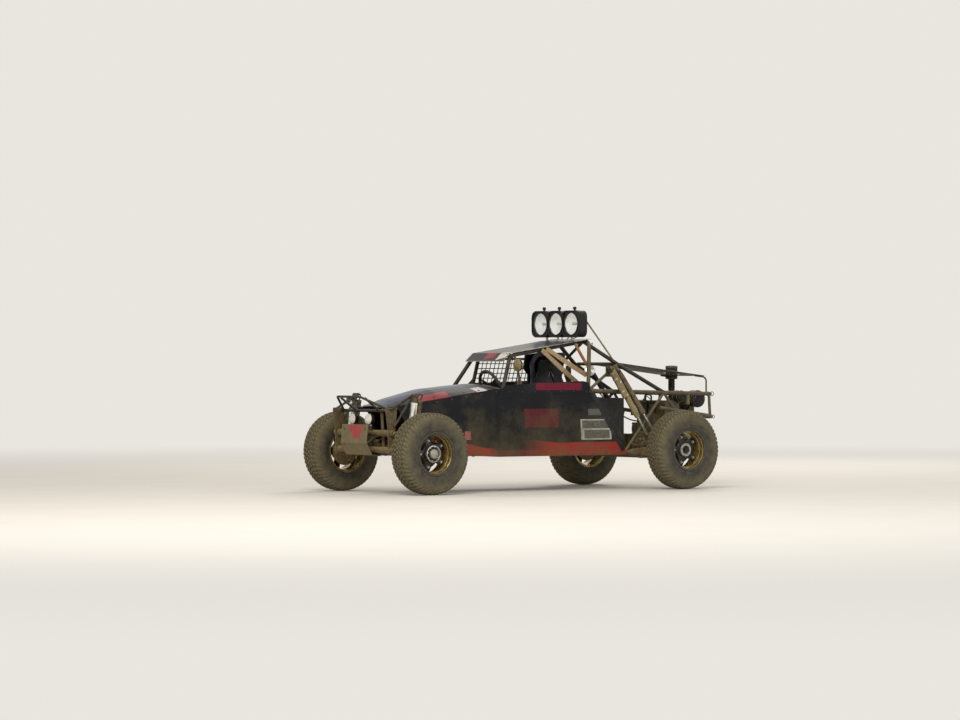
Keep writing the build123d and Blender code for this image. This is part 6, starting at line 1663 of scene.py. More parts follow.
@dataclass
class RearEnd(Piece):
    """Rear trailing arms, paired shock absorbers, drive shafts with boots, brakes and the gearbox."""

    main_top: tuple[float, float, float] = (-0.702, 0.450, 1.150)
    main_foot: tuple[float, float, float] = (-1.092, 0.556, 0.452)
    second_top: tuple[float, float, float] = (-0.800, 0.425, 1.128)
    second_foot: tuple[float, float, float] = (-1.182, 0.556, 0.470)
    axle_x: float = -1.292

    def shock(self, top: Sequence[float], foot: Sequence[float], radius: float) -> dict[str, Surface]:
        """A shock's body sleeve with ribs, its bright rod, bump rubber and seal head.

        Args:
            top: the upper eye.
            foot: the lower eye.
            radius: radius of the body.

        Returns:
            The surfaces by what they are.
        """
        top, foot = np.asarray(top, float), np.asarray(foot, float)
        way, length = unit(foot - top), float(np.linalg.norm(foot - top))
        split = 0.62 * length
        ribs = [(0.040, 0.0), (0.040, radius * 0.8), (0.050, radius + 0.0015)]
        for k in range(6):
            start = 0.056 + k * 0.012
            ribs += [(start, radius + 0.0015), (start + 0.002, radius), (start + 0.007, radius),
                     (start + 0.009, radius + 0.0015)]
        ribs += [(split - 0.040, radius + 0.0015), (split - 0.036, radius + 0.0035),
                 (split - 0.006, radius + 0.0035), (split, radius * 0.7), (split, 0.0)]
        rod = [(split - 0.01, 0.0), (split - 0.01, 0.0118), (length - 0.030, 0.0118), (length - 0.030, 0.0)]
        rubber = [(length - 0.085, 0.0), (length - 0.085, 0.014), (length - 0.070, 0.023),
                  (length - 0.060, 0.016), (length - 0.048, 0.025), (length - 0.032, 0.021),
                  (length - 0.032, 0.0)]
        return {"sleeve": turned(ribs, top, way, 36), "rod": turned(rod, top, way, 20),
                "stop": turned(rubber, top, way, 24)}

    def reservoir(self) -> dict[str, Surface]:
        """Remote reservoir strapped to the main rear shock, with its hose.

        Returns:
            The surfaces by what they are.
        """
        top, foot = np.asarray(self.main_top), np.asarray(self.main_foot)
        way = unit(foot - top)
        away = np.array([0.055, 0.014, 0.032])
        can = turned([(0.080, 0.0), (0.080, 0.020), (0.086, 0.0255), (0.110, 0.0255), (0.113, 0.0240),
                      (0.330, 0.0240), (0.336, 0.0255), (0.352, 0.0230), (0.356, 0.0)], top + away, way, 32)
        bands = []
        for share in (0.150, 0.290):
            here = top + way * share
            for middle, reach in ((here, 0.0295), (here + away, 0.0265)):
                bands.append(turned([(-0.007, reach - 0.003), (-0.007, reach), (0.007, reach),
                                     (0.007, reach - 0.003)],
                                    middle, way, 28))
            bands.append(tube([here + away * 0.42, here + away * 0.60], 0.006, sides=8, across=ACROSS))
        hose = tube([top + way * 0.050 + away * 0.4, top + away * 0.9 + way * 0.010, top + away + way * 0.040,
                     top + away + way * 0.084], THIN_HOSE, 18, 10, across=ACROSS)
        return {"can": can, "bands": Surface.joined(bands), "hose": hose}

    def boots(self) -> Surface:
        """Ribbed rubber boots at both ends of both half shafts, each tapering towards the shaft.

        Returns:
            The four boots.
        """
        inner = bellows([(self.axle_x, 0.158, 0.409), (self.axle_x, 0.205, 0.405),
                         (self.axle_x, 0.245, 0.402)], 0.050, 5,
                        0.09, taper=0.42)
        outer = bellows([(self.axle_x, 0.543, 0.378), (self.axle_x, 0.495, 0.381),
                         (self.axle_x, 0.455, 0.385)], 0.052, 5,
                        0.09, taper=0.42)
        return Surface.joined([part.mirrored(side) for part in (inner, outer) for side in (1, -1)])

    def gearbox_dress(self) -> tuple[Surface, Surface]:
        """Ribs of the casting, its bolts, and the side covers' screws.

        Returns:
            The ribs and the bolts.
        """
        ribs = []
        for k in range(6):
            x = -1.38 + 0.055 * k
            if abs(x - self.axle_x) < 0.045:
                continue
            ribs.append(cuboid((x - 0.004, -0.128, 0.300), (x + 0.004, 0.128, 0.520), 0.002))
        angle = np.arange(10) * np.pi / 5
        spots = []
        normals = []
        for side in (1.0, -1.0):
            starts = np.stack([self.axle_x + 0.060 * np.cos(angle), np.full(10, side * 0.30),
                               0.410 + 0.060 * np.sin(angle)], axis=-1)
            found, faces = landings("gearbox", starts, (0, -side, 0))
            spots.append(found)
            normals.append(faces)
        return Surface.joined(ribs), bolts(np.vstack(spots), np.vstack(normals), 0.014, 0.008)

    def brake(self, side: float) -> tuple[Surface, Surface]:
        """Rear caliper on the arm's carrier, and the steel line along the arm.

        Args:
            side: 1 on the left, -1 on the right.

        Returns:
            The caliper and the line.
        """
        x, y, z = self.axle_x + 0.100, side * 0.728, AXLE_Z + 0.050
        body = Surface.joined([
            cuboid((x - 0.020, y - 0.032, z - 0.045), (x + 0.030, y - 0.010, z + 0.045), 0.010),
            cuboid((x - 0.020, y + 0.010, z - 0.045), (x + 0.030, y + 0.032, z + 0.045), 0.010),
            cuboid((x + 0.026, y - 0.030, z - 0.030), (x + 0.044, y + 0.030, z + 0.030), 0.006),
            tube([(x, y - side * 0.030, z), (x - 0.05, y - side * 0.110, z - 0.03)], 0.012, sides=10),
        ])
        line = tube([(x + 0.02, y - side * 0.032, z + 0.03), (x + 0.09, side * 0.60, 0.440),
                     (-1.06, side * 0.548, 0.430), (-0.95, side * 0.535, 0.418),
                     (-0.88, side * 0.500, 0.440)], 0.0042, 40, 8)
        return body, line

    def build(self) -> list[bpy.types.Object]:
        """Finishes the rear suspension's and drive's nodes and adds their details.

        Returns:
            The added pieces.
        """
        for name in ("rear_arm_left", "rear_arm_right", "suspension_brackets", "half_shafts"):
            self.finish_node(name, OILY_STEEL)
        self.finish_node("gearbox", CAST_ALLOY)
        ribs, screws = self.gearbox_dress()
        made = self.dressed(((self.boots(), "drive_boots", HOSE_RUBBER, 60),
                             (ribs, "gearbox_ribs", CAST_ALLOY), (screws, "gearbox_bolts", BARE_STEEL, 25)))
        looks = {"sleeve": TAN_SHOCK, "rod": BARE_STEEL, "stop": HOSE_RUBBER, "can": TAN_SHOCK,
                 "bands": BARE_STEEL, "hose": HOSE_RUBBER}
        for side, label in SIDES:
            self.finish_node(f"rear_shock_{label}", TAN_SHOCK)
            self.finish_node(f"second_shock_{label}", OILY_STEEL)
            groups = {"rear": self.shock(self.main_top, self.main_foot, 0.0270),
                      "second": self.shock(self.second_top, self.second_foot, 0.0266),
                      "spare": self.reservoir()}
            for group, parts in groups.items():
                for what, surface in parts.items():
                    look = OILY_STEEL if group == "second" and what == "sleeve" else looks[what]
                    made.append(surface.mirrored(side).piece(f"{group}_shock_{label}_{what}", look, ROOT))
            body, line = self.brake(side)
            made += self.dressed(((body, f"rear_caliper_{label}", CAST_ALLOY),
                                  (line, f"rear_brake_line_{label}", TARNISHED_COPPER)))
        return made


@dataclass
class Bodywork(Piece):
    """Side sheets, hood, roof, floor and skid plate, with their fasteners, folds and worn edges."""

    rear_edge: tuple[tuple[float, float], ...] = ((-0.470, 0.925), (-0.800, 0.380))
    fastener_step: float = 0.150

    def side_fasteners(self, side: float) -> Surface:
        """Button-headed screws along the sheet's edges.

        Args:
            side: 1 on the left, -1 on the right.

        Returns:
            The screws.
        """
        top_x = np.arange(-0.40, 1.55, self.fastener_step)
        low_x = np.arange(-0.74, 1.55, self.fastener_step)
        back = spaced([(x, 0, z) for x, z in self.rear_edge], self.fastener_step * 0.7)
        rows = np.vstack([np.column_stack([top_x, 0 * top_x, rail_z(top_x) - 0.006]),
                          np.column_stack([low_x, 0 * low_x, 0.352 + 0.020 * np.clip(low_x - 0.7, 0, 1)]),
                          back])
        rows[:, 1] = side * 0.8
        spots, normals = landings(f"side_panel_{'left' if side > 0 else 'right'}", rows, (0, -side, 0))
        return bolts(spots, normals, 0.013, 0.004, 10)

    def flange(self, side: float) -> Surface:
        """Darker folded strip along the side sheet's slanting rear edge.

        Args:
            side: 1 on the left, -1 on the right.

        Returns:
            The strip.
        """
        (x0, z0), (x1, z1) = self.rear_edge
        line = spaced([(x0 - 0.002, 0, z0), (x1 - 0.002, 0, z1 - 0.010)], 0.05)
        line[:, 1] = side * (side_y(line[:, 0], line[:, 2]) + 0.0016)
        return swept(line, banded(0.046, 0.0024), across=(0.86, 0.0, -0.5))

    def coaming(self, side: float) -> Surface:
        """Upright strip along the cockpit, whose top climbs from the hood and falls at the sheet's end.

        Args:
            side: 1 on the left, -1 on the right.

        Returns:
            The closed strip.
        """
        share = np.linspace(0, 1, 60)
        low = np.stack([0.640 - 1.110 * share, np.full(60, 0.918)])
        high = np.stack([0.640 - 1.072 * share, np.interp(share, (0, 0.10, 0.5, 0.94, 1.0),
                                                          (0.930, 0.998, 1.020, 1.034, 1.022))])
        rows = []
        for (x, z), out in ((low, 0.0030), (high, 0.0030), (high, 0.0010), (low, 0.0010), (low, 0.0030)):
            rows.append(np.column_stack([x, side * (side_y(x, z) + out), z]))
        return Surface.grid(np.array(rows))

    def hood_dress(self) -> tuple[Surface, Surface]:
        """Quarter-turn fasteners round the hood, and two low stiffening swages along it.

        Returns:
            The fasteners and the swages.
        """
        x = np.linspace(0.66, 1.70, 8)
        starts = np.vstack([np.column_stack([x, side * (side_y(x, 0.9) - 0.035), np.full(8, OVER_HOOD)])
                            for side in (-1, 1)]
                           + [np.column_stack([np.full(5, 0.625), np.linspace(-0.34, 0.34, 5),
                                               np.full(5, OVER_HOOD)])])
        spots, normals = landings("hood", starts, DOWN)
        bead = np.array([(0.003, 0.0), (0.0015, 0.010), (-0.002, 0.014), (-0.002, -0.014), (0.0015, -0.010)])
        swages = []
        for side in (-1, 1):
            line = np.column_stack([np.linspace(0.70, 1.66, 20), np.linspace(side * 0.16, side * 0.10, 20),
                                    np.full(20, OVER_HOOD)])
            found, _ = landings("hood", line, DOWN)
            swages.append(swept(found - (0, 0, 0.0015), bead))
        return bolts(spots, normals, 0.020, 0.003, 14), Surface.joined(swages)

    def roof_dress(self) -> dict[str, Surface]:
        """Bright worn front edge, rolled side edges, screws and plain pale and red patches on the visor.

        Returns:
            The surfaces by what they are.
        """
        front = tube([(0.4752, -0.305, 1.2225), (0.4752, 0.305, 1.2225)], 0.0032, sides=8)
        sides = []
        for side in (-1, 1):
            starts = spaced([(0.47, side * 0.3055, OVER_ROOF), (-0.555, side * 0.3055, OVER_ROOF)], 0.03)
            found, _ = landings("roof_panel", starts, DOWN)
            sides.append(swept(found - (0, 0, 0.0012), circle(0.0030, 8)))
        x = np.linspace(0.36, -0.53, 9)
        starts = np.vstack([np.column_stack([x, np.full(9, side * 0.286), np.full(9, OVER_ROOF)])
                            for side in (-1, 1)])
        spots, normals = landings("roof_panel", starts, DOWN)
        patches = {}
        for name, first, last in (("patch", 0.165, 0.290), ("red_patch", -0.040, 0.095)):
            sheet = []
            for y in np.linspace(first, last, 7):
                lean = 0.030 * (y - first) / (last - first)
                row, _ = landings("roof_panel", np.array([(cx - lean, y, OVER_ROOF)
                                                          for cx in np.linspace(0.468, 0.360, 10)]),
                                  DOWN)
                sheet.append(row)
            patches[name] = Surface.grid(np.array(sheet) + (0, 0, 0.0008))
        return {"edge": front, "rims": Surface.joined(sides),
                "screws": bolts(spots, normals, 0.012, 0.003, 10), **patches}

    def skid_dress(self) -> Surface:
        """Countersunk bolts and washers of the skid plate.

        Returns:
            The bolts.
        """
        starts = np.array([(x, y, 0.0) for x in (0.72, 1.00, 1.30, 1.60, 1.78) for y in (-0.17, 0.0, 0.17)])
        spots, normals = landings("skid_plate", starts, UP)
        front = np.array([(AHEAD, y, z) for y in (-0.17, 0.17) for z in (0.46, 0.60)])
        more, faces = landings("skid_plate", front, REARWARD)
        return bolts(np.vstack([spots, more]), np.vstack([normals, faces]), 0.024, 0.006, 10)

    def build(self) -> list[bpy.types.Object]:
        """Finishes the sheets and adds their details.

        Returns:
            The added pieces.
        """
        for name, finish in (("side_panel_left", SIDE_PAINT), ("side_panel_right", SIDE_PAINT),
                             ("hood", HOOD_PAINT_WITH_PAINTED_SHEEN), ("roof_panel", ROOF_PAINT), ("floor_pan", SKID_ALLOY),
                             ("skid_plate", SKID_ALLOY), ("dash_panel", BLACK_PLASTIC),
                             ("firewall", BLACK_PLASTIC)):
            self.finish_node(name, finish)
        made = []
        for side, label in SIDES:
            made += self.dressed(((self.side_fasteners(side), f"side_fasteners_{label}", ROOF_COAT, 25),
                                  (self.flange(side), f"side_flange_{label}", BLACK_PLASTIC),
                                  (self.coaming(side), f"sill_coaming_{label}", SIDE_PAINT)))
        fasteners, swages = self.hood_dress()
        roof = self.roof_dress()
        return made + self.dressed((
            (fasteners, "hood_fasteners", ROOF_COAT, 25), (swages, "hood_swages", HOOD_PAINT_WITH_PAINTED_SHEEN),
            (roof["edge"], "roof_front_edge", BARE_STEEL), (roof["rims"], "roof_side_edges", BARE_STEEL),
            (roof["screws"], "roof_screws", BARE_STEEL, 25), (roof["patch"], "visor_patch", WHITE_ENAMEL),
            (roof["red_patch"], "visor_red_patch", RED_ENAMEL),
            (self.skid_dress(), "skid_bolts", OILY_STEEL, 25)))


@dataclass
class LampUnit(Piece):
    """Three square-framed lamps side by side on the roof: bezels, reflectors, bulbs, glasses and knobs."""

    face: float = -0.368
    height: float = 1.580
    pitch: float = 0.246
    reach: float = 0.104
    half_height: float = 0.128
    back_x: float = -0.4555

    def bowl(self, y: float) -> Surface:
        """A reflector: the parabola depth * (1 - (r/R)^2) turned about the beam, with an even wall.

        Args:
            y: the lamp's middle.

        Returns:
            The bowl.
        """
        r = np.linspace(0.012, 1.0, 14)
        inner = [(-0.012 - 0.058 * (1 - k**2), self.reach * k) for k in r]
        outer = [(-0.0145 - 0.060 * (1 - k**2), self.reach * k + 0.0012) for k in r[::-1]]
        return turned(inner + outer + inner[:1], (self.face, y, self.height), ALONG, 64)

    def glass(self, y: float) -> Surface:
        """A domed glass: two shallow caps with an edge between them.

        Args:
            y: the lamp's middle.

        Returns:
            The glass.
        """
        r = np.linspace(0, 1.0, 9)
        outer = [(0.0040 + 0.008 * (1 - k**2), self.reach * 1.02 * k) for k in r]
        inner = [(0.0005 + 0.008 * (1 - k**2), self.reach * 1.02 * k) for k in r[::-1]]
        return turned(outer + inner, (self.face, y, self.height), ALONG, 64)

    def bezel(self, y: float, half_width: float) -> Surface:
        """A raised frame round one lamp: an eased section swept along a rounded square.

        Args:
            y: the lamp's middle.
            half_width: half the frame's width.

        Returns:
            The frame.
        """
        loop = rounded_loop(half_width - 0.006, self.half_height - 0.006, 4.6, 96)
        path = np.column_stack([np.full(96, self.face + 0.001), loop[:, 0] + y, loop[:, 1] + self.height])
        section = np.array([(-0.005, -0.0055), (0.006, -0.0055), (0.009, -0.003), (0.009, 0.003),
                            (0.006, 0.0055), (-0.005, 0.0055)])
        return swept(path, section, across=ALONG, closed=True)

    def trim(self, y: float) -> Surface:
        """Plate between the square frame and the round glass, bent as a shallow cone, and a rim ring.

        Args:
            y: the lamp's middle.

        Returns:
            The plate and the ring.
        """
        half = 0.133 if abs(y) > 0.1 else 0.113
        loop = rounded_loop(half, self.half_height - 0.008, 4.6, 96)
        rim = rounded_loop(self.reach * 1.03, self.reach * 1.03, 2.0, 96)
        rows = []
        for share, depth in ((0.0, 0.0), (0.35, -0.002), (1.0, -0.004), (1.0, -0.012), (0.0, -0.010)):
            pair = rim * (1 - share) + loop * share
            rows.append(np.column_stack([np.full(96, self.face + 0.002 + depth), pair[:, 0] + y,
                                         pair[:, 1] + self.height]))
        plate = Surface.grid(np.array(rows + rows[:1]), wrap_v=True)
        return Surface.joined([plate, ring((self.face + 0.003, y, self.height), ALONG, self.reach * 1.03,
                                           0.0042, 64, 8)])

    def bulb(self, y: float) -> Surface:
        """Bulb, its shield and the stem that holds it.

        Args:
            y: the lamp's middle.

        Returns:
            The bulb.
        """
        profile = [(-0.070, 0.0), (-0.070, 0.013), (-0.058, 0.013), (-0.056, 0.007), (-0.040, 0.0068),
                   (-0.036, 0.014), (-0.026, 0.0145), (-0.022, 0.011), (-0.021, 0.0)]
        return turned(profile, (self.face, y, self.height), ALONG, 24)

    def knobs(self) -> Surface:
        """Ribbed knobs on the lamps' tops: the radius swings twelve times round.

        Returns:
            The three knobs.
        """
        angle = np.linspace(0, 2 * np.pi, 72, endpoint=False)
        wave = 1 + 0.07 * np.cos(12 * angle)
        rows = []
        for z, r, w in ((0.0, 0.0, 0), (0.0, 0.010, 0), (0.010, 0.010, 0), (0.012, 0.0158, 1),
                        (0.030, 0.0158, 1), (0.036, 0.012, 0), (0.037, 0.0, 0)):
            reach = r * (wave if w else 1.0) * np.ones(72)
            rows.append(np.column_stack([reach * np.cos(angle), reach * np.sin(angle), np.full(72, z)]))
        knob = Surface.grid(np.array(rows), wrap_v=True)
        return Surface.joined([knob.moved((-0.412, y, 1.7075)) for y in (-self.pitch, 0.0, self.pitch)])

    def back(self) -> Surface:
        """Round housings' ends behind the frames, with cooling ribs, and the cable plugs.

        Returns:
            The parts behind.
        """
        parts = []
        for y in (-self.pitch, 0.0, self.pitch):
            parts.append(turned([(0.0, 0.090), (0.006, 0.088), (0.010, 0.074), (0.016, 0.072), (0.022, 0.052),
                                 (0.024, 0.0)],
                                (self.back_x, y, self.height), REARWARD, 48))
            parts.append(turned([(0.020, 0.018), (0.040, 0.018), (0.044, 0.012), (0.056, 0.010),
                                 (0.056, 0.0)],
                                (self.back_x, y, self.height - 0.02), REARWARD, 20))
        return Surface.joined(parts)

    def cables(self) -> Surface:
        """Lamp cables: from each plug in a bow down to the roof's rail.

        Returns:
            The cables.
        """
        parts = []
        for y in (-self.pitch, 0.0, self.pitch):
            parts.append(tube([(-0.508, y, self.height - 0.020), (-0.540, y + 0.01, self.height - 0.060),
                               (-0.530, y * 0.6 + 0.02, 1.470), (-0.500, y * 0.3, 1.4330)], 0.0045, 28, 8,
                              across=(0.1, 1, 0.1)))
        return Surface.joined(parts)

    def feet(self) -> Surface:
        """Bright post sleeves, their foot plates and the hinge bolts at the struts' ends.

        Returns:
            The fittings.
        """
        parts = []
        for y in (-0.2, 0.2):
            parts.append(turned([(0.0, 0.0), (0.0, 0.022), (0.003, 0.022), (0.005, 0.0125), (0.032, 0.0125),
                                 (0.034, 0.010)],
                                (-0.412, y, 1.4195), UP, 28))
        for side in (-1.0, 1.0):
            parts.append(bolts(np.array([(-0.466, side * 0.300, 1.655)]), np.array([(0, side, 0.0)]), 0.020,
                               0.012))
        return Surface.joined(parts)

    def build(self) -> list[bpy.types.Object]:
        """Makes the lamps in place of their plain discs.

        Returns:
            The pieces.
        """
        self.finish_node("lamp_bar", BLACK_PLASTIC)
        spots = (-self.pitch, 0.0, self.pitch)
        # the reflectors carry a painted glow: a weak white emission in the bowls, though the lamps are not
        # lit
        bowls = Surface.joined([self.bowl(y) for y in spots]).piece("lamp_reflectors", REFLECTOR_WITH_PAINTED_GLOW, ROOT, 60)
        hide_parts("lamps")
        frames = Surface.joined([self.bezel(y, 0.139 if abs(y) > 0.1 else 0.119) for y in spots]
                                + [self.trim(y) for y in spots])
        return [bowls] + self.dressed((
            (frames, "lamp_frames", BLACK_PLASTIC, 35),
            (Surface.joined([self.glass(y) for y in spots]), "lamp_glasses", LensFinish(), 50),
            (Surface.joined([self.bulb(y) for y in spots]), "lamp_bulbs", WHITE_ENAMEL),
            (self.knobs(), "lamp_knobs", BLACK_PLASTIC, 35), (self.back(), "lamp_backs", BLACK_PLASTIC, 35),
            (self.cables(), "lamp_cables", HOSE_RUBBER), (self.feet(), "lamp_fittings", BARE_STEEL, 30)))


@dataclass
class Seat(Piece):
    """Bucket seat: stuffed base and back, bolsters round the shell's edge, and the belts."""

    foot: tuple[float, float] = (-0.120, 0.470)
    top: tuple[float, float] = (-0.275, 1.240)

    @staticmethod
    def stuffed(name: str, corners: Surface, finish: Finish, cap: float) -> bpy.types.Object:
        """Blows a closed block up as cloth, as a stuffed pad does, and eases it once.

        Args:
            name: the pad's name.
            corners: the block that is blown up.
            finish: its cover.
            cap: how far, in metres, a point may move.

        Returns:
            The pad.
        """
        pad = corners.piece(name, finish, ROOT, None)
        remesh = pad.modifiers.new("even", "REMESH")
        remesh.mode = "VOXEL"
        remesh.voxel_size = CLOTH_CELL
        bpy.context.view_layer.update()
        even = bpy.data.meshes.new_from_object(pad.evaluated_get(bpy.context.evaluated_depsgraph_get()))
        pad.modifiers.clear()
        pad.data = even
        start = np.empty(len(even.vertices) * 3)
        even.vertices.foreach_get("co", start)
        cloth = pad.modifiers.new("cover", "CLOTH")
        cloth.settings.use_pressure = True
        cloth.settings.uniform_pressure_force = CLOTH_PRESSURE
        cloth.settings.effector_weights.gravity = 0.0
        cloth.settings.quality = 4
        for frame_number in range(1, CLOTH_STEPS + 1):
            bpy.context.scene.frame_set(frame_number)
        blown = bpy.data.meshes.new_from_object(pad.evaluated_get(bpy.context.evaluated_depsgraph_get()))
        pad.modifiers.clear()
        end = np.empty(len(blown.vertices) * 3)
        blown.vertices.foreach_get("co", end)
        move = (end - start).reshape(-1, 3)
        size = np.linalg.norm(move, axis=1, keepdims=True).clip(1e-9)
        blown.vertices.foreach_set("co", (start.reshape(-1, 3) + move * np.minimum(1, cap / size)).ravel())
        blown.shade_smooth()
        pad.data = blown
        if not blown.materials:
            blown.materials.append(finish.build())
        bpy.context.scene.frame_set(1)
        return pad

    def back_block(self) -> Surface:
        """The back's block: a rounded section carried up the shell's slant, narrower at the shoulders.

        Returns:
            The block.
        """
        (x0, z0), (x1, z1) = self.foot, self.top
        way = unit((x1 - x0, 0, z1 - z0))
        ahead = np.array([way[2], 0, -way[0]])
        rows = []
        for share, half, thick in ((0.0, 0.02, 0.010), (0.0, 0.150, 0.026), (0.06, 0.170, 0.034),
                                   (0.30, 0.172, 0.040), (0.55, 0.168, 0.034), (0.72, 0.150, 0.034),
                                   (0.80, 0.118, 0.030), (0.97, 0.112, 0.034), (1.0, 0.098, 0.020),
                                   (1.0, 0.02, 0.008)):
            loop = rounded_loop(half, thick / 2, 5.0, 40)
            middle = np.array([x0, 0, z0]) + way * share * np.hypot(x1 - x0, z1 - z0) + ahead * 0.014
            rows.append(middle + loop[:, :1] * np.array([0, 1.0, 0]) + loop[:, 1:] * ahead)
        return Surface.grid(np.array(rows), wrap_v=True)

    def base_block(self) -> Surface:
        """The base's block, a rounded slab on the pan that rises a little towards the knees.

        Returns:
            The block.
        """
        rows = []
        for x, half, thick in ((-0.110, 0.02, 0.01), (-0.110, 0.150, 0.050), (-0.080, 0.165, 0.060),
                               (0.060, 0.170, 0.060), (0.200, 0.165, 0.066), (0.248, 0.150, 0.050),
                               (0.252, 0.02, 0.01)):
            loop = rounded_loop(half, thick / 2, 5.0, 40)
            middle = np.array([x, 0, 0.478 + 0.10 * max(x, 0.0)])
            rows.append(middle + loop[:, :1] * np.array([0, 1.0, 0]) + loop[:, 1:] * np.array([0, 0, 1.0]))
        return Surface.grid(np.array(rows), wrap_v=True)

    def bolsters(self) -> Surface:
        """One padded roll round the shell's rim: up one side, round the head and down the other.

        Returns:
            The roll.
        """
        half = np.array([(0.235, 0.196, 0.520), (0.060, 0.203, 0.535), (-0.070, 0.206, 0.585),
                         (-0.150, 0.206, 0.720), (-0.205, 0.204, 0.900), (-0.235, 0.190, 1.040),
                         (-0.220, 0.172, 1.120), (-0.215, 0.168, 1.205), (-0.260, 0.135, 1.285),
                         (-0.300, 0.0, 1.300)])
        line = curve_through(np.vstack([half, (half * (1, -1, 1))[-2::-1]]), 120)
        scale = np.interp(np.linspace(0, 1, 120), (0, 0.04, 0.3, 0.5, 0.7, 0.96, 1),
                          (0.4, 1, 1.1, 0.9, 1.1, 1, 0.4))
        return swept(line, rounded_loop(0.016, 0.026, 2.4, 16), across=(0.2, 0.94, 0.3), scale=scale)

    def belt(self, points: Sequence[Sequence[float]], across: Sequence[float], count: int = 40) -> Surface:
        """A flat strap along a line.

        Args:
            points: what its middle passes through.
            across: the direction of its width.
            count: steps along it.

        Returns:
            The strap.
        """
        return swept(curve_through(points, count), banded(0.048, 0.0026), across)

    def belts(self) -> Surface:
        """Shoulder, lap and crotch straps that meet in the buckle over the base.

        Returns:
            The straps.
        """
        buckle = np.array([0.015, 0.0, 0.590])
        parts = []
        for side in (-1.0, 1.0):
            shoulder = [(-0.470, side * 0.075, 1.085), (-0.400, side * 0.076, 1.135),
                        (-0.318, side * 0.078, 1.168), (-0.235, side * 0.080, 1.140),
                        (-0.195, side * 0.082, 1.020), (-0.140, side * 0.070, 0.820),
                        (-0.060, side * 0.035, 0.665), buckle + (-0.010, side * 0.016, 0.018)]
            parts.append(self.belt(shoulder, ACROSS, 60))
            lap = [(-0.130, side * 0.196, 0.520), (-0.060, side * 0.170, 0.565), (0.000, side * 0.100, 0.590),
                   buckle + (0.0, side * 0.028, 0.002)]
            parts.append(swept(curve_through(lap, 36), banded(0.048, 0.0026), across=(0.45, 0.1, 0.9)))
        parts.append(self.belt([buckle + (0.020, 0, -0.010), (0.080, 0, 0.555), (0.130, 0, 0.525),
                                (0.170, 0, 0.522)],
                               ACROSS, 20))
        return Surface.joined(parts)

    def hardware(self) -> Surface:
        """Round turn buckle with its lever, strap adjusters and the shoulder slots' rims.

        Returns:
            The metal parts.
        """
        parts = [turned([(-0.010, 0.0), (-0.010, 0.030), (0.006, 0.031), (0.012, 0.026), (0.013, 0.0)],
                        (0.017, 0, 0.592), (0.55, 0, 0.83), 32),
                 cuboid((0.010, -0.028, 0.606), (0.032, 0.028, 0.613), 0.003)]
        for side in (-1.0, 1.0):
            parts.append(cuboid((-0.155, side * 0.073 - 0.032, 0.850), (-0.138, side * 0.073 + 0.032, 0.885),
                                0.004))
            parts.append(cuboid((-0.064, side * 0.165 - 0.006, 0.545), (-0.030, side * 0.165 + 0.006, 0.600),
                                0.004))
        return Surface.joined(parts)

    def build(self) -> list[bpy.types.Object]:
        """Upholsters the seat.

        Returns:
            The pieces.
        """
        self.finish_node("seat", BLACK_PLASTIC)
        back = self.stuffed("seat_back_pad", self.back_block(), SEAT_CLOTH, 0.009)
        base = self.stuffed("seat_base_pad", self.base_block(), SEAT_CLOTH, 0.009)
        return [back, base] + self.dressed((
            (self.bolsters(), "seat_bolsters", SEAT_VINYL, 60), (self.belts(), "seat_belts", BELT_WEB, 30),
            (self.hardware(), "belt_hardware", BARE_STEEL, 30)))


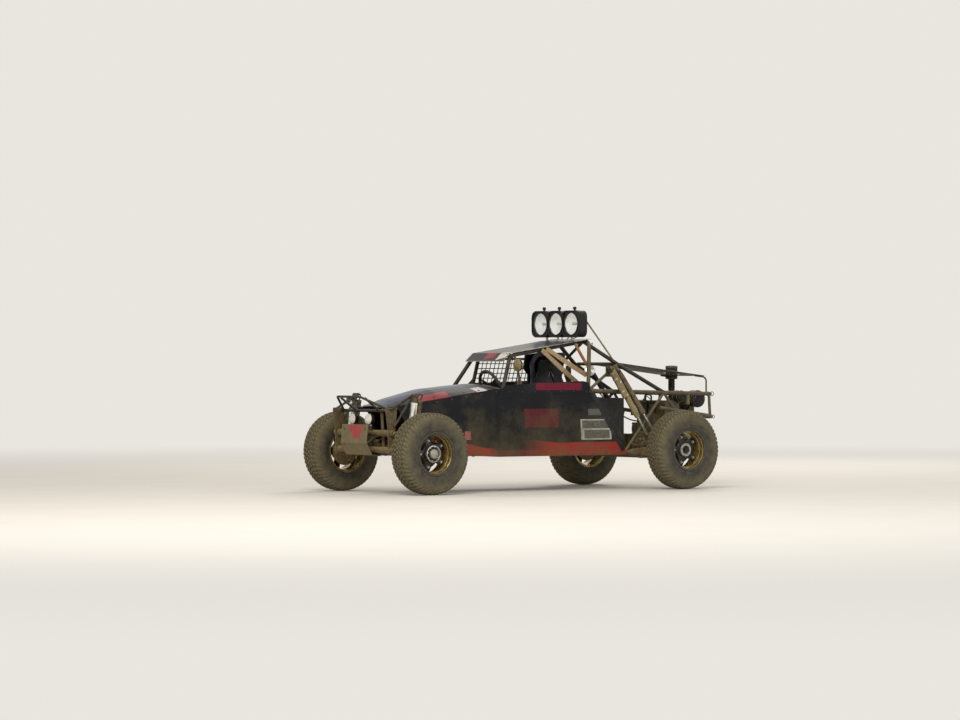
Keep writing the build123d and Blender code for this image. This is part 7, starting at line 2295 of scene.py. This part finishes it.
@dataclass
class Cockpit(Piece):
    """Steering wheel's grip, gauges, switches, levers, pedals, mirror, net, side straps and vent pipe."""

    wheel_centre: tuple[float, float, float] = (0.403, 0.0, 0.985)
    column: tuple[float, float, float] = (-0.9302, 0.0, 0.3672)
    dash_face: float = 0.5775

    def grip(self) -> Surface:
        """Stitched wrap of the rim: a torus whose section swells between the stitches.

        Returns:
            The wrap.
        """
        count, sides = 180, 14
        turn = np.linspace(0, 2 * np.pi, count, endpoint=False)
        axis = np.array(self.column)
        up = unit(np.cross(axis, ACROSS))
        out = np.cos(turn)[:, None] * up + np.sin(turn)[:, None] * np.array([0, 1.0, 0])
        angle = np.linspace(0, 2 * np.pi, sides, endpoint=False)
        thick = 0.0152 + 0.0006 * np.abs(np.sin(turn * 30))[:, None]
        points = (np.array(self.wheel_centre) + out[:, None, :] * (0.151 + thick * np.cos(angle))[:, :, None]
                  + axis * (thick * np.sin(angle))[:, :, None])
        return Surface.grid(points, wrap_u=True, wrap_v=True)

    def wheel_boss(self) -> Surface:
        """Pad and six screws in the wheel's middle.

        Returns:
            The boss.
        """
        axis = np.array(self.column)
        middle = np.array(self.wheel_centre)
        pad = turned([(0.0, 0.0), (0.0, 0.034), (0.014, 0.034), (0.020, 0.028), (0.022, 0.0)], middle, axis,
                     40)
        turn = np.arange(6) * np.pi / 3
        up = unit(np.cross(axis, ACROSS))
        places = middle + 0.016 * axis + 0.026 * (np.cos(turn)[:, None] * up + np.sin(turn)[:, None]
                                                  * np.array([0, 1.0, 0]))
        return Surface.joined([pad, bolts(places, np.tile(axis, (6, 1)), 0.009, 0.005)])

    def gauges(self) -> tuple[Surface, Surface, Surface]:
        """Gauge cases with rims, their pale faces, and their needles and switches.

        Returns:
            The rims, the faces and the needles with the switches.
        """
        rims, faces, needles = [], [], []
        for y, z, r in ((0.0, 0.925, 0.044), (0.112, 0.925, 0.030), (-0.112, 0.925, 0.030),
                        (0.190, 0.925, 0.026), (-0.190, 0.925, 0.026)):
            rims.append(turned([(0.0, r), (0.0, r + 0.006), (0.010, r + 0.006), (0.013, r + 0.001),
                                (0.010, r - 0.003), (0.002, r - 0.003)], (self.dash_face, y, z), REARWARD,
                               40))
            faces.append(turned([(0.001, 0.0), (0.001, r - 0.001), (0.003, r - 0.001), (0.003, 0.0)],
                                (self.dash_face, y, z), REARWARD, 40))
            front = self.dash_face - 0.005
            needles.append(tube([(front, y, z), (front, y + r * 0.55, z + r * 0.45)], 0.0012, sides=6,
                                across=ALONG))
            needles.append(turned([(0.003, 0.0), (0.003, 0.004), (0.007, 0.003), (0.007, 0.0)],
                                  (self.dash_face, y, z), REARWARD, 12))
        for k in range(8):
            y = -0.21 + 0.06 * k
            needles.append(turned([(0.0, 0.0), (0.0, 0.008), (0.004, 0.008), (0.006, 0.004), (0.012, 0.003),
                                   (0.024, 0.005), (0.026, 0.0)], (self.dash_face, y, 0.842), (-1, 0, 0.25),
                                  12))
        return Surface.joined(rims), Surface.joined(faces), Surface.joined(needles)

    def controls(self) -> tuple[Surface, Surface]:
        """Gear lever with its gate and knob on the right, and three pedals on their arms.

        Returns:
            The levers and pedals, then the rubber of the knob and the boot.
        """
        lever = [tube([(0.150, -0.300, 0.337), (0.155, -0.300, 0.520), (0.185, -0.292, 0.700)], 0.008, 20, 10,
                      across=ALONG),
                 cuboid((0.085, -0.345, 0.335), (0.225, -0.255, 0.350), 0.004)]
        for y in (0.10, 0.0, -0.10):
            lever.append(tube([(1.020, y, 0.640), (1.045, y, 0.540), (1.020, y, 0.440)], 0.007, 16, 8,
                              across=ACROSS))
            lever.append(cuboid((1.008, y - 0.030, 0.415), (1.016, y + 0.030, 0.480), 0.003))
        knob = [turned([(-0.020, 0.0), (-0.018, 0.012), (-0.008, 0.020), (0.006, 0.022), (0.018, 0.016),
                        (0.024, 0.0)],
                       (0.190, -0.290, 0.715), (0.15, 0.03, 1), 28),
                bellows([(0.152, -0.300, 0.350), (0.153, -0.300, 0.385), (0.154, -0.300, 0.420)], 0.036, 4,
                        0.12, across=ALONG, taper=0.35)]
        return Surface.joined(lever), Surface.joined(knob)

    def pedal_bar(self) -> Surface:
        """Cross bar that the pedals hang from, with two cylinders ahead of it.

        Returns:
            The bar.
        """
        parts = [tube([(1.022, -0.36, 0.645), (1.022, 0.36, 0.645)], 0.010, sides=12)]
        for y in (0.02, 0.10):
            parts.append(tube([(1.050, y, 0.600), (1.150, y, 0.600)], 0.013, sides=14, across=ACROSS))
        return Surface.joined(parts)

    def mirror(self) -> tuple[Surface, Surface]:
        """Mirror glass that looks back, and the tan dished cap ahead of it.

        Returns:
            The glass and the cap.
        """
        middle = (0.3872, 0.443, 1.185)
        glass = turned([(-0.0002, 0.0), (-0.0002, 0.052), (0.0016, 0.052), (0.0024, 0.046), (0.0028, 0.0)],
                       middle, REARWARD, 48)
        cap = turned([(0.0, 0.054), (0.0, 0.059), (0.010, 0.058), (0.020, 0.046), (0.026, 0.022),
                      (0.027, 0.0), (0.024, 0.0), (0.018, 0.042), (0.008, 0.054)], (0.404, 0.443, 1.185),
                     ALONG, 48)
        return glass, cap

    def net_border(self) -> Surface:
        """Webbing border of the window net.

        Returns:
            The border.
        """
        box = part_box("window_net")
        low, high = np.array(box[0]), np.array(box[1])
        inner_y, outer_y = high[1], low[1]
        corners = [(high[0], outer_y, low[2] + 0.006), (high[0], inner_y, high[2] - 0.006),
                   (low[0], inner_y, high[2] - 0.006), (low[0], outer_y, low[2] + 0.006)]
        parts = []
        for first, last in zip(corners, corners[1:] + corners[:1]):
            parts.append(swept(spaced([first, last], 0.05), banded(0.022, 0.0042), across=(0.02, 0.37, 0.93)
                               if abs(first[0] - last[0]) > 0.1 else ALONG))
        return Surface.joined(parts)

    def side_straps(self) -> Surface:
        """Two tan straps that run from the roof's left rail down and back to the hoop and the sill.

        Returns:
            The straps.
        """
        runs = (((0.018, 0.302, 1.330), (-0.218, 0.304, 1.149), (-0.412, 0.352, 0.985)),
                ((-0.034, 0.302, 1.344), (-0.287, 0.303, 1.204), (-0.478, 0.348, 1.086)))
        return Surface.joined([swept(curve_through(run, 30), banded(0.044, 0.0030), across=(0.63, 0.0, 0.78))
                               for run in runs])

    def hose(self) -> Surface:
        """Primer-coloured vent pipe from the roof's rail down to the filler.

        Returns:
            The pipe.
        """
        return tube([(-0.372, 0.306, 1.388), (-0.405, 0.318, 1.325), (-0.455, 0.326, 1.245),
                     (-0.500, 0.330, 1.182)], 0.0145,
                    24, 14, across=ACROSS)

    def build(self) -> list[bpy.types.Object]:
        """Fits out the cockpit.

        Returns:
            The pieces.
        """
        for name, finish in (("steering_wheel", BLACK_PLASTIC), ("mirror", BLACK_PLASTIC),
                             ("window_net", NET_WEB)):
            self.finish_node(name, finish)
        rims, faces, needles = self.gauges()
        levers, knob = self.controls()
        glass, cap = self.mirror()
        made = self.dressed(((self.grip(), "steering_grip", HOSE_RUBBER, 60),
                             (self.wheel_boss(), "steering_boss", BLACK_PLASTIC)), "steering_wheel")
        return made + self.dressed((
            (rims, "gauge_rims", BARE_STEEL), (faces, "gauge_faces", WHITE_ENAMEL),
            (needles, "gauge_needles", RED_ENAMEL), (levers, "levers", OILY_STEEL),
            (knob, "lever_rubber", HOSE_RUBBER), (self.pedal_bar(), "pedal_bar", OILY_STEEL),
            (glass, "mirror_glass", MIRROR_GLASS), (cap, "mirror_cap", TAN_SHOCK),
            (self.net_border(), "net_border", NET_WEB), (self.hose(), "vent_pipe", PRIMER_TAN),
            (self.side_straps(), "side_straps", BELT_WEB)))


@dataclass
class EngineBay(Piece):
    """Cylinders' fins, fan, carburettor, pipes, filter, cooler, the fuel cell's bands and the deck's edge."""

    bores: tuple[float, float] = (-1.572, -1.702)
    bore_height: float = 0.560
    fan: tuple[float, float, float] = (-1.842, 0.0, 0.745)
    filter_middle: tuple[float, float] = (-1.782, 0.0)
    cover_x: float = -1.637
    silencer: tuple[float, float] = (-1.945, 0.490)
    crank_height: float = 0.520

    def fins(self) -> Surface:
        """Cooling fins of the four cylinders: a zigzag profile turned about each bore.

        Returns:
            The fins.
        """
        profile = [(0.132, 0.050)]
        for k in range(9):
            y = 0.134 + 0.0085 * k
            profile += [(y, 0.058), (y + 0.0008, 0.0665), (y + 0.0030, 0.0665), (y + 0.0038, 0.058)]
        profile.append((0.208, 0.050))
        return Surface.joined([turned(profile, (x, 0, self.bore_height), (0, side, 0), 40)
                               for x in self.bores for side in (-1, 1)])

    def covers(self) -> tuple[Surface, Surface]:
        """Ribbed valve covers outside the banks, and their bolts.

        Returns:
            The covers and the hardware.
        """
        covers, screws = [], []
        for side in (-1.0, 1.0):
            loop = rounded_loop(0.132, 0.056, 4.0, 64)
            rows = []
            for out, size in ((0.268, 1.04), (0.272, 1.04), (0.274, 0.98), (0.292, 0.94), (0.300, 0.86),
                              (0.301, 0.02)):
                rows.append(np.column_stack([self.cover_x + loop[:, 0] * size, np.full(64, side * out),
                                             self.bore_height + loop[:, 1] * size]))
            covers.append(Surface.grid(np.array(rows), wrap_v=True))
            for k in range(5):
                z = self.bore_height - 0.036 + 0.018 * k
                covers.append(tube([(-1.735, side * 0.3000, z), (-1.539, side * 0.3000, z)], 0.0035, sides=8))
            places = np.array([(self.cover_x + dx, side * 0.274, self.bore_height + dz)
                               for dx in (-0.128, -0.045, 0.045, 0.128)
                               for dz in (-0.050, 0.050)])
            screws.append(bolts(places, np.tile([0.0, side, 0.0], (8, 1)), 0.012, 0.007))
        return Surface.joined(covers), Surface.joined(screws)

    def fan_dress(self) -> tuple[Surface, Surface]:
        """Blades and guard of the cooling fan, and its bright belt pulley with the belt.

        Returns:
            The fan's metal parts and the belt.
        """
        x, y, z = self.fan
        parts = []
        blade = slab_of(np.array([(0.0, -0.010, 0.038), (0.020, 0.012, 0.038), (0.020, 0.022, 0.104),
                                  (0.0, -0.012, 0.104)]),
                        (0.004, 0.0, 0.0))
        turn = np.arange(14) * 2 * np.pi / 14
        zero, one = np.zeros(14), np.ones(14)
        spin = np.stack([np.stack([one, zero, zero], -1), np.stack([zero, np.cos(turn), -np.sin(turn)], -1),
                         np.stack([zero, np.sin(turn), np.cos(turn)], -1)], axis=1)
        parts.append(blade.repeated(spin, np.tile([x - 0.100, y, z], (14, 1))))
        for reach in (0.050, 0.075, 0.100, 0.122):
            parts.append(ring((x - 0.112, y, z), ALONG, reach, 0.0018, 48, 6))
        for angle in np.arange(4) * np.pi / 2 + 0.4:
            way = np.array([0.0, np.cos(angle), np.sin(angle)])
            parts.append(tube([np.array([x - 0.112, y, z]) + way * 0.030,
                               np.array([x - 0.112, y, z]) + way * 0.136], 0.0022,
                              sides=6, across=ALONG))
        pulley = [(0.0, 0.0), (0.0, 0.060), (0.004, 0.060), (0.012, 0.048), (0.020, 0.060), (0.024, 0.060),
                  (0.024, 0.0)]
        parts.append(turned(pulley, (x + 0.002, y, z), ALONG, 40))
        parts.append(turned([(a, r * 1.25) for a, r in pulley], (x + 0.002, 0.0, self.crank_height),
                            ALONG, 40))
        # the belt runs half a turn over the upper pulley and half a turn under the lower one
        halves = []
        for start, middle, reach in ((-np.pi / 2, z, 0.052), (np.pi / 2, self.crank_height, 0.064)):
            angle = np.linspace(start, start + np.pi, 16)
            halves.append(np.stack([np.sin(angle) * reach, middle + np.cos(angle) * reach], -1))
        loop = np.concatenate(halves)
        path = np.column_stack([np.full(len(loop), x + 0.014), loop])
        return Surface.joined(parts), swept(path, banded(0.010, 0.007), across=ALONG, closed=True)

    def carburettor(self) -> Surface:
        """Carburettor body under the filter: stacked flanges, bowl, linkage and its studs.

        Returns:
            The body.
        """
        x, y = self.filter_middle
        parts = [turned([(0.0, 0.0), (0.0, 0.048), (0.010, 0.048), (0.012, 0.036), (0.050, 0.034),
                         (0.056, 0.044), (0.068, 0.044), (0.070, 0.0)], (x, y, 0.716), UP, 32),
                 cuboid((x + 0.030, -0.040, 0.735), (x + 0.082, 0.040, 0.790), 0.008),
                 cuboid((x - 0.060, -0.030, 0.740), (x - 0.030, 0.030, 0.780), 0.006),
                 tube([(x + 0.010, 0.046, 0.760), (x + 0.010, 0.085, 0.760)], 0.005, sides=8,
                      across=ALONG),
                 tube([(x + 0.010, 0.080, 0.760), (x + 0.110, 0.084, 0.775), (x + 0.330, 0.075, 0.690)],
                      0.0025, 24, 6)]
        return Surface.joined(parts)

    def manifold(self) -> Surface:
        """Intake runners from the carburettor's foot over and down to the heads.

        Returns:
            The runners.
        """
        x = self.filter_middle[0]
        parts = []
        for side in (-1.0, 1.0):
            parts.append(tube([(x, side * 0.020, 0.735), (x + 0.020, side * 0.110, 0.762),
                               (x + 0.080, side * 0.180, 0.735), (-1.660, side * 0.200, 0.660),
                               (-1.640, side * 0.200, 0.618)], 0.019, 48, 16,
                              across=(1, 0, 0.1)))
            for bore in self.bores:
                parts.append(tube([(-1.645, side * 0.200, 0.672), ((bore - 1.645) / 2, side * 0.202, 0.650),
                                   (bore, side * 0.200, 0.612)], 0.016, 20, 14, across=ACROSS))
        return Surface.joined(parts)

    def exhaust(self) -> Surface:
        """Four header pipes under the heads that run back into one silencer across the tail.

        Returns:
            The exhaust.
        """
        parts = []
        for side in (-1.0, 1.0):
            for k, bore in enumerate(self.bores):
                drop = 0.420 + 0.030 * k
                parts.append(tube([(bore, side * 0.178, 0.505), (bore, side * 0.182, 0.455),
                                   (bore - 0.050, side * 0.186, drop),
                                   (-1.820, side * (0.170 - 0.030 * k), drop),
                                   (-1.925, side * (0.120 - 0.040 * k), 0.470)],
                                  0.0195, 48, 16, across=ACROSS))
        x, z = self.silencer
        parts.append(turned([(-0.210, 0.0), (-0.210, 0.030), (-0.200, 0.046), (-0.190, 0.050), (0.190, 0.050),
                             (0.200, 0.046), (0.210, 0.030), (0.210, 0.0)], (x, 0.0, z), ACROSS, 48))
        for y in (-0.12, 0.12):
            parts.append(ring((x, y, z), ACROSS, 0.0510, 0.0022, 48, 6))
        parts.append(tube([(x, -0.205, z), (-1.950, -0.250, 0.500), (-1.975, -0.275, 0.530)], 0.024, 24, 18,
                          across=UP))
        return Surface.joined(parts)

    def filter_element(self) -> tuple[Surface, Surface]:
        """Pleated filter element, whose radius swings once per pleat, between two capped rims.

        Returns:
            The element and its rims.
        """
        x, y = self.filter_middle
        count = 288
        angle = np.linspace(0, 2 * np.pi, count, endpoint=False)
        rows = []
        for z, size in ((1.062, 0.0), (1.062, 1.0), (1.085, 1.0), (1.110, 1.006), (1.135, 1.0), (1.160, 1.0),
                        (1.160, 0.0)):
            reach = (0.0555 + 0.0032 * np.cos(48 * angle)) * size
            rows.append(np.column_stack([x + reach * np.cos(angle), y + reach * np.sin(angle),
                                         np.full(count, z)]))
        element = Surface.grid(np.array(rows), wrap_v=True)
        rims = [turned([(1.046, 0.0), (1.046, 0.036), (1.052, 0.0600), (1.064, 0.0600), (1.066, 0.054),
                        (1.066, 0.0)],
                       (x, y, 0), UP, 48),
                turned([(1.157, 0.0), (1.157, 0.054), (1.159, 0.0600), (1.170, 0.0600), (1.178, 0.054),
                        (1.1815, 0.020), (1.182, 0.0)],
                       (x, y, 0), UP, 48)]
        return element, Surface.joined(rims)

    def intake_tube(self) -> Surface:
        """Ribbed riser between the carburettor and the filter.

        Returns:
            The riser.
        """
        x, y = self.filter_middle
        return bellows([(x, y, 0.785), (x, y, 0.915), (x, y, 1.046)], 0.0325, 11, 0.05, across=ALONG)

    def wiring(self) -> Surface:
        """Distributor cap with four plug leads and a coil, as bowed cords.

        Returns:
            The leads and the caps.
        """
        cap = np.array([-1.500, 0.060, 0.770])
        parts = [turned([(-0.058, 0.0), (-0.058, 0.022), (-0.010, 0.026), (0.0, 0.034), (0.020, 0.034),
                         (0.032, 0.024), (0.034, 0.0)],
                        cap, UP, 28),
                 turned([(-0.06, 0.0), (-0.06, 0.026), (0.050, 0.026), (0.056, 0.012), (0.072, 0.010),
                         (0.074, 0.0)],
                        (-1.520, -0.075, 0.775), UP, 24)]
        for k, (bore, side) in enumerate([(b, s) for b in self.bores for s in (-1.0, 1.0)]):
            start = cap + 0.018 * np.array([np.cos(k * 1.57), np.sin(k * 1.57), 0]) + (0, 0, 0.030)
            parts.append(tube([start, start + (0.0, 0.0, 0.030), (bore + 0.02, side * 0.130, 0.760),
                               (bore, side * 0.205, 0.700), (bore, side * 0.215, 0.622)], 0.0040, 40, 8,
                              across=(1, 0.1, 0)))
        parts.append(tube([cap + (0, 0, 0.033), cap + (0.0, -0.020, 0.070), (-1.520, -0.060, 0.880),
                           (-1.520, -0.075, 0.848)],
                          0.0040, 24, 8, across=ALONG))
        return Surface.joined(parts)

    def cooler(self) -> tuple[Surface, Surface]:
        """Oil cooler on the tail's right, a stack of thin plates in a frame, and its two hoses.

        Returns:
            The cooler and the hoses.
        """
        plates = [cuboid((-1.700, -0.350, 0.700 + 0.010 * k), (-1.560, -0.312, 0.7035 + 0.010 * k), 0.001)
                  for k in range(15)]
        plates += [cuboid((-1.712, -0.354, 0.690), (-1.698, -0.308, 0.855), 0.003),
                   cuboid((-1.562, -0.354, 0.690), (-1.548, -0.308, 0.855), 0.003)]
        hoses = [tube([(-1.705, -0.330, 0.845), (-1.720, -0.330, 0.890), (-1.700, -0.220, 0.880),
                       (-1.600, -0.115, 0.760), (-1.560, -0.110, 0.712)], 0.0095, 48, 12),
                 tube([(-1.555, -0.330, 0.845), (-1.540, -0.330, 0.885), (-1.520, -0.240, 0.860),
                       (-1.480, -0.135, 0.740), (-1.480, -0.120, 0.690)], 0.0095, 48, 12)]
        return Surface.joined(plates), Surface.joined(hoses)

    def tank_dress(self) -> tuple[Surface, Surface]:
        """Two metal bands round the fuel cell, the filler's bolted flange and cap, and the fuel hose.

        Returns:
            The bands with the filler, and the hose.
        """
        corners = [(-0.838, 0.3733), (-0.529, 0.870), (-0.962, 0.870), (-0.962, 0.3733)]
        parts = []
        for y in (-0.17, 0.17):
            line = spaced([(x, y, z) for x, z in corners + corners[:1]], 0.04)[:-1]
            middle = line.mean(0)
            line = line + unit(line - middle) * 0.0020 * (1, 0, 1)
            parts.append(swept(line, banded(0.028, 0.0020), across=ACROSS, closed=True))
            parts.append(bolts(np.array([(-0.700, y, 0.8725), (-0.800, y, 0.8725)]),
                               np.array([(0, 0, 1.0)] * 2), 0.013, 0.008))
        parts.append(ring((-0.800, 0.10, 0.872), UP, 0.048, 0.004, 40, 8))
        parts.append(bolts(np.column_stack([-0.800 + 0.048 * np.cos(np.arange(8) * np.pi / 4),
                                            0.10 + 0.048 * np.sin(np.arange(8) * np.pi / 4),
                                            np.full(8, 0.8745)]),
                           np.tile([0.0, 0.0, 1.0], (8, 1)), 0.009, 0.005))
        parts.append(turned([(-0.030, 0.0), (-0.030, 0.040), (0.004, 0.044), (0.006, 0.050), (0.018, 0.050),
                             (0.021, 0.044), (0.024, 0.030), (0.030, 0.016), (0.031, 0.0)],
                            (-0.520, 0.338, 1.128), (0.45, 0.86, 0.22), 40))
        hose = [tube([(-0.760, -0.080, 0.872), (-0.760, -0.080, 0.930), (-0.900, -0.060, 0.940),
                      (-1.200, -0.050, 0.700), (-1.440, -0.030, 0.640), (-1.700, -0.050, 0.740),
                      (-1.745, -0.020, 0.760)], THIN_HOSE, 80, 10,
                     across=(0, 1, 0.1))]
        return Surface.joined(parts), Surface.joined(hose)

    def breather_cans(self) -> tuple[Surface, Surface]:
        """Two oil-breather cans that hang inside the left tail rail, with their clamps, bracket and hoses.

        Returns:
            The cans with their hoses, then the clamps and the bracket.
        """
        cans, clamps = [], []
        for x, z, reach, y, length in ((-1.691, 0.880, 0.056, 0.175, 0.115),
                                       (-1.905, 0.856, 0.082, 0.165, 0.110)):
            cans.append(turned([(0.0, 0.0), (0.0, reach - 0.006), (0.004, reach), (length - 0.006, reach),
                                (length, reach - 0.007), (length + 0.002, reach * 0.62),
                                (length + 0.008, reach * 0.56), (length + 0.009, 0.0)], (x, y, z), ACROSS,
                               48))
            for share in (0.22, 0.80):
                clamps.append(ring((x, y + length * share, z), ACROSS, reach + 0.0012, 0.0022, 48, 6))
            cans.append(tube([(x + reach * 0.5, y + 0.02, z - reach * 0.8),
                              (x + reach * 0.8, y - 0.02, z - reach * 1.5), (-1.640, 0.150, 0.660),
                              (-1.600, 0.120, 0.640)], 0.0075, 32, 10, across=(0, 1, 0.2)))
        clamps.append(cuboid((-1.806, 0.190, 0.800), (-1.760, 0.262, 0.925), 0.006))
        clamps.append(cuboid((-1.822, 0.215, 0.868), (-1.746, 0.245, 0.884), 0.004))
        return Surface.joined(cans), Surface.joined(clamps)

    def deck_dress(self) -> tuple[Surface, Surface]:
        """Rolled edges of the deck, and rivets along both of them.

        Returns:
            The edges and the rivets.
        """
        edges, starts = [], []
        for side in (-1, 1):
            found, _ = landings("tail_deck", spaced(
                [(-0.870, side * 0.2985, OVER_ROOF), (-1.945, side * 0.2985, OVER_ROOF)], 0.04), DOWN)
            edges.append(swept(found - (0, 0, 0.0014), circle(0.0030, 8)))
            starts.append(spaced([(-0.90, side * 0.270, OVER_ROOF), (-1.93, side * 0.270, OVER_ROOF)], 0.11))
        edges.append(tube([(-1.9515, -0.299, 1.0815), (-1.9515, 0.299, 1.0815)], 0.0032, sides=8))
        spots, normals = landings("tail_deck", np.vstack(starts), DOWN)
        return Surface.joined(edges), bolts(spots, normals, 0.013, 0.003, 8)

    def build(self) -> list[bpy.types.Object]:
        """Finishes the engine bay's nodes and fits it out.

        Returns:
            The pieces.
        """
        for name, finish in (("engine", CAST_ALLOY), ("fuel_cell", TANK_PLASTIC), ("tail_deck", DECK_SHEET)):
            self.finish_node(name, finish)
        covers, screws = self.covers()
        fan, belt = self.fan_dress()
        element, rims = self.filter_element()
        cooler, hoses = self.cooler()
        bands, fuel_hose = self.tank_dress()
        edges, rivets = self.deck_dress()
        cans, clamps = self.breather_cans()
        riser = self.intake_tube().piece("intake_riser", HOSE_RUBBER, ROOT, 60)
        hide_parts("air_cleaner")
        return [riser] + self.dressed((
            (element, "filter_element", FILTER_GAUZE, 60), (rims, "filter_rims", OILY_STEEL),
            (self.fins(), "cylinder_fins", CAST_ALLOY, 30), (covers, "valve_covers", BLACK_PLASTIC),
            (screws, "valve_cover_bolts", BARE_STEEL, 25), (fan, "fan_parts", BARE_STEEL, 30),
            (belt, "fan_belt", HOSE_RUBBER), (self.carburettor(), "carburettor", CAST_ALLOY),
            (self.manifold(), "intake_runners", CAST_ALLOY), (self.exhaust(), "exhaust", OILY_STEEL),
            (self.wiring(), "plug_leads", HOSE_RUBBER), (cooler, "oil_cooler", CAST_ALLOY, 25),
            (hoses, "oil_hoses", HOSE_RUBBER), (bands, "tank_bands", BARE_STEEL),
            (cans, "breather_cans", WHEEL_BLACK), (clamps, "breather_clamps", TAN_SHOCK),
            (fuel_hose, "fuel_hose", HOSE_RUBBER), (edges, "deck_edges", DECK_SHEET),
            (rivets, "deck_rivets", BARE_STEEL, 30)))


def visual_bounds(items: Sequence[bpy.types.Object]) -> tuple[list[float], list[float]]:
    """Lowest and highest corner of some pieces.

    Args:
        items: the pieces, whose places are in their meshes.

    Returns:
        The two corners as plain lists.
    """
    lows, highs = [], []
    for item in items:
        flat = np.empty(len(item.data.vertices) * 3, np.float32)
        item.data.vertices.foreach_get("co", flat)
        lows.append(flat.reshape(-1, 3).min(0))
        highs.append(flat.reshape(-1, 3).max(0))
    return [float(v) for v in np.min(lows, 0)], [float(v) for v in np.max(highs, 0)]


def main() -> None:
    """Builds the stage and every sub-assembly in turn, and reports each piece."""
    assemblies: list[Piece] = [Studio(), Cage(), Bodywork(), FrontEnd(), RearEnd()]
    assemblies += [Wheel(axle, side) for axle in Axle for side in (1.0, -1.0)]
    assemblies += [LampUnit(), Seat(), Cockpit(), EngineBay()]
    made: list[bpy.types.Object] = []
    for assembly in assemblies:
        pieces = assembly.build()
        for piece in pieces:
            count = sum(len(face.vertices) - 2 for face in piece.data.polygons)
            LOG.info("%s %s: %d triangles", type(assembly).__name__, piece.name, count)
        made += pieces
    shown = made + [NODES[name] for name in NODES if name not in ("lamps", "air_cleaner")]
    low, high = visual_bounds(shown)


if __name__ == "__main__":
    main()
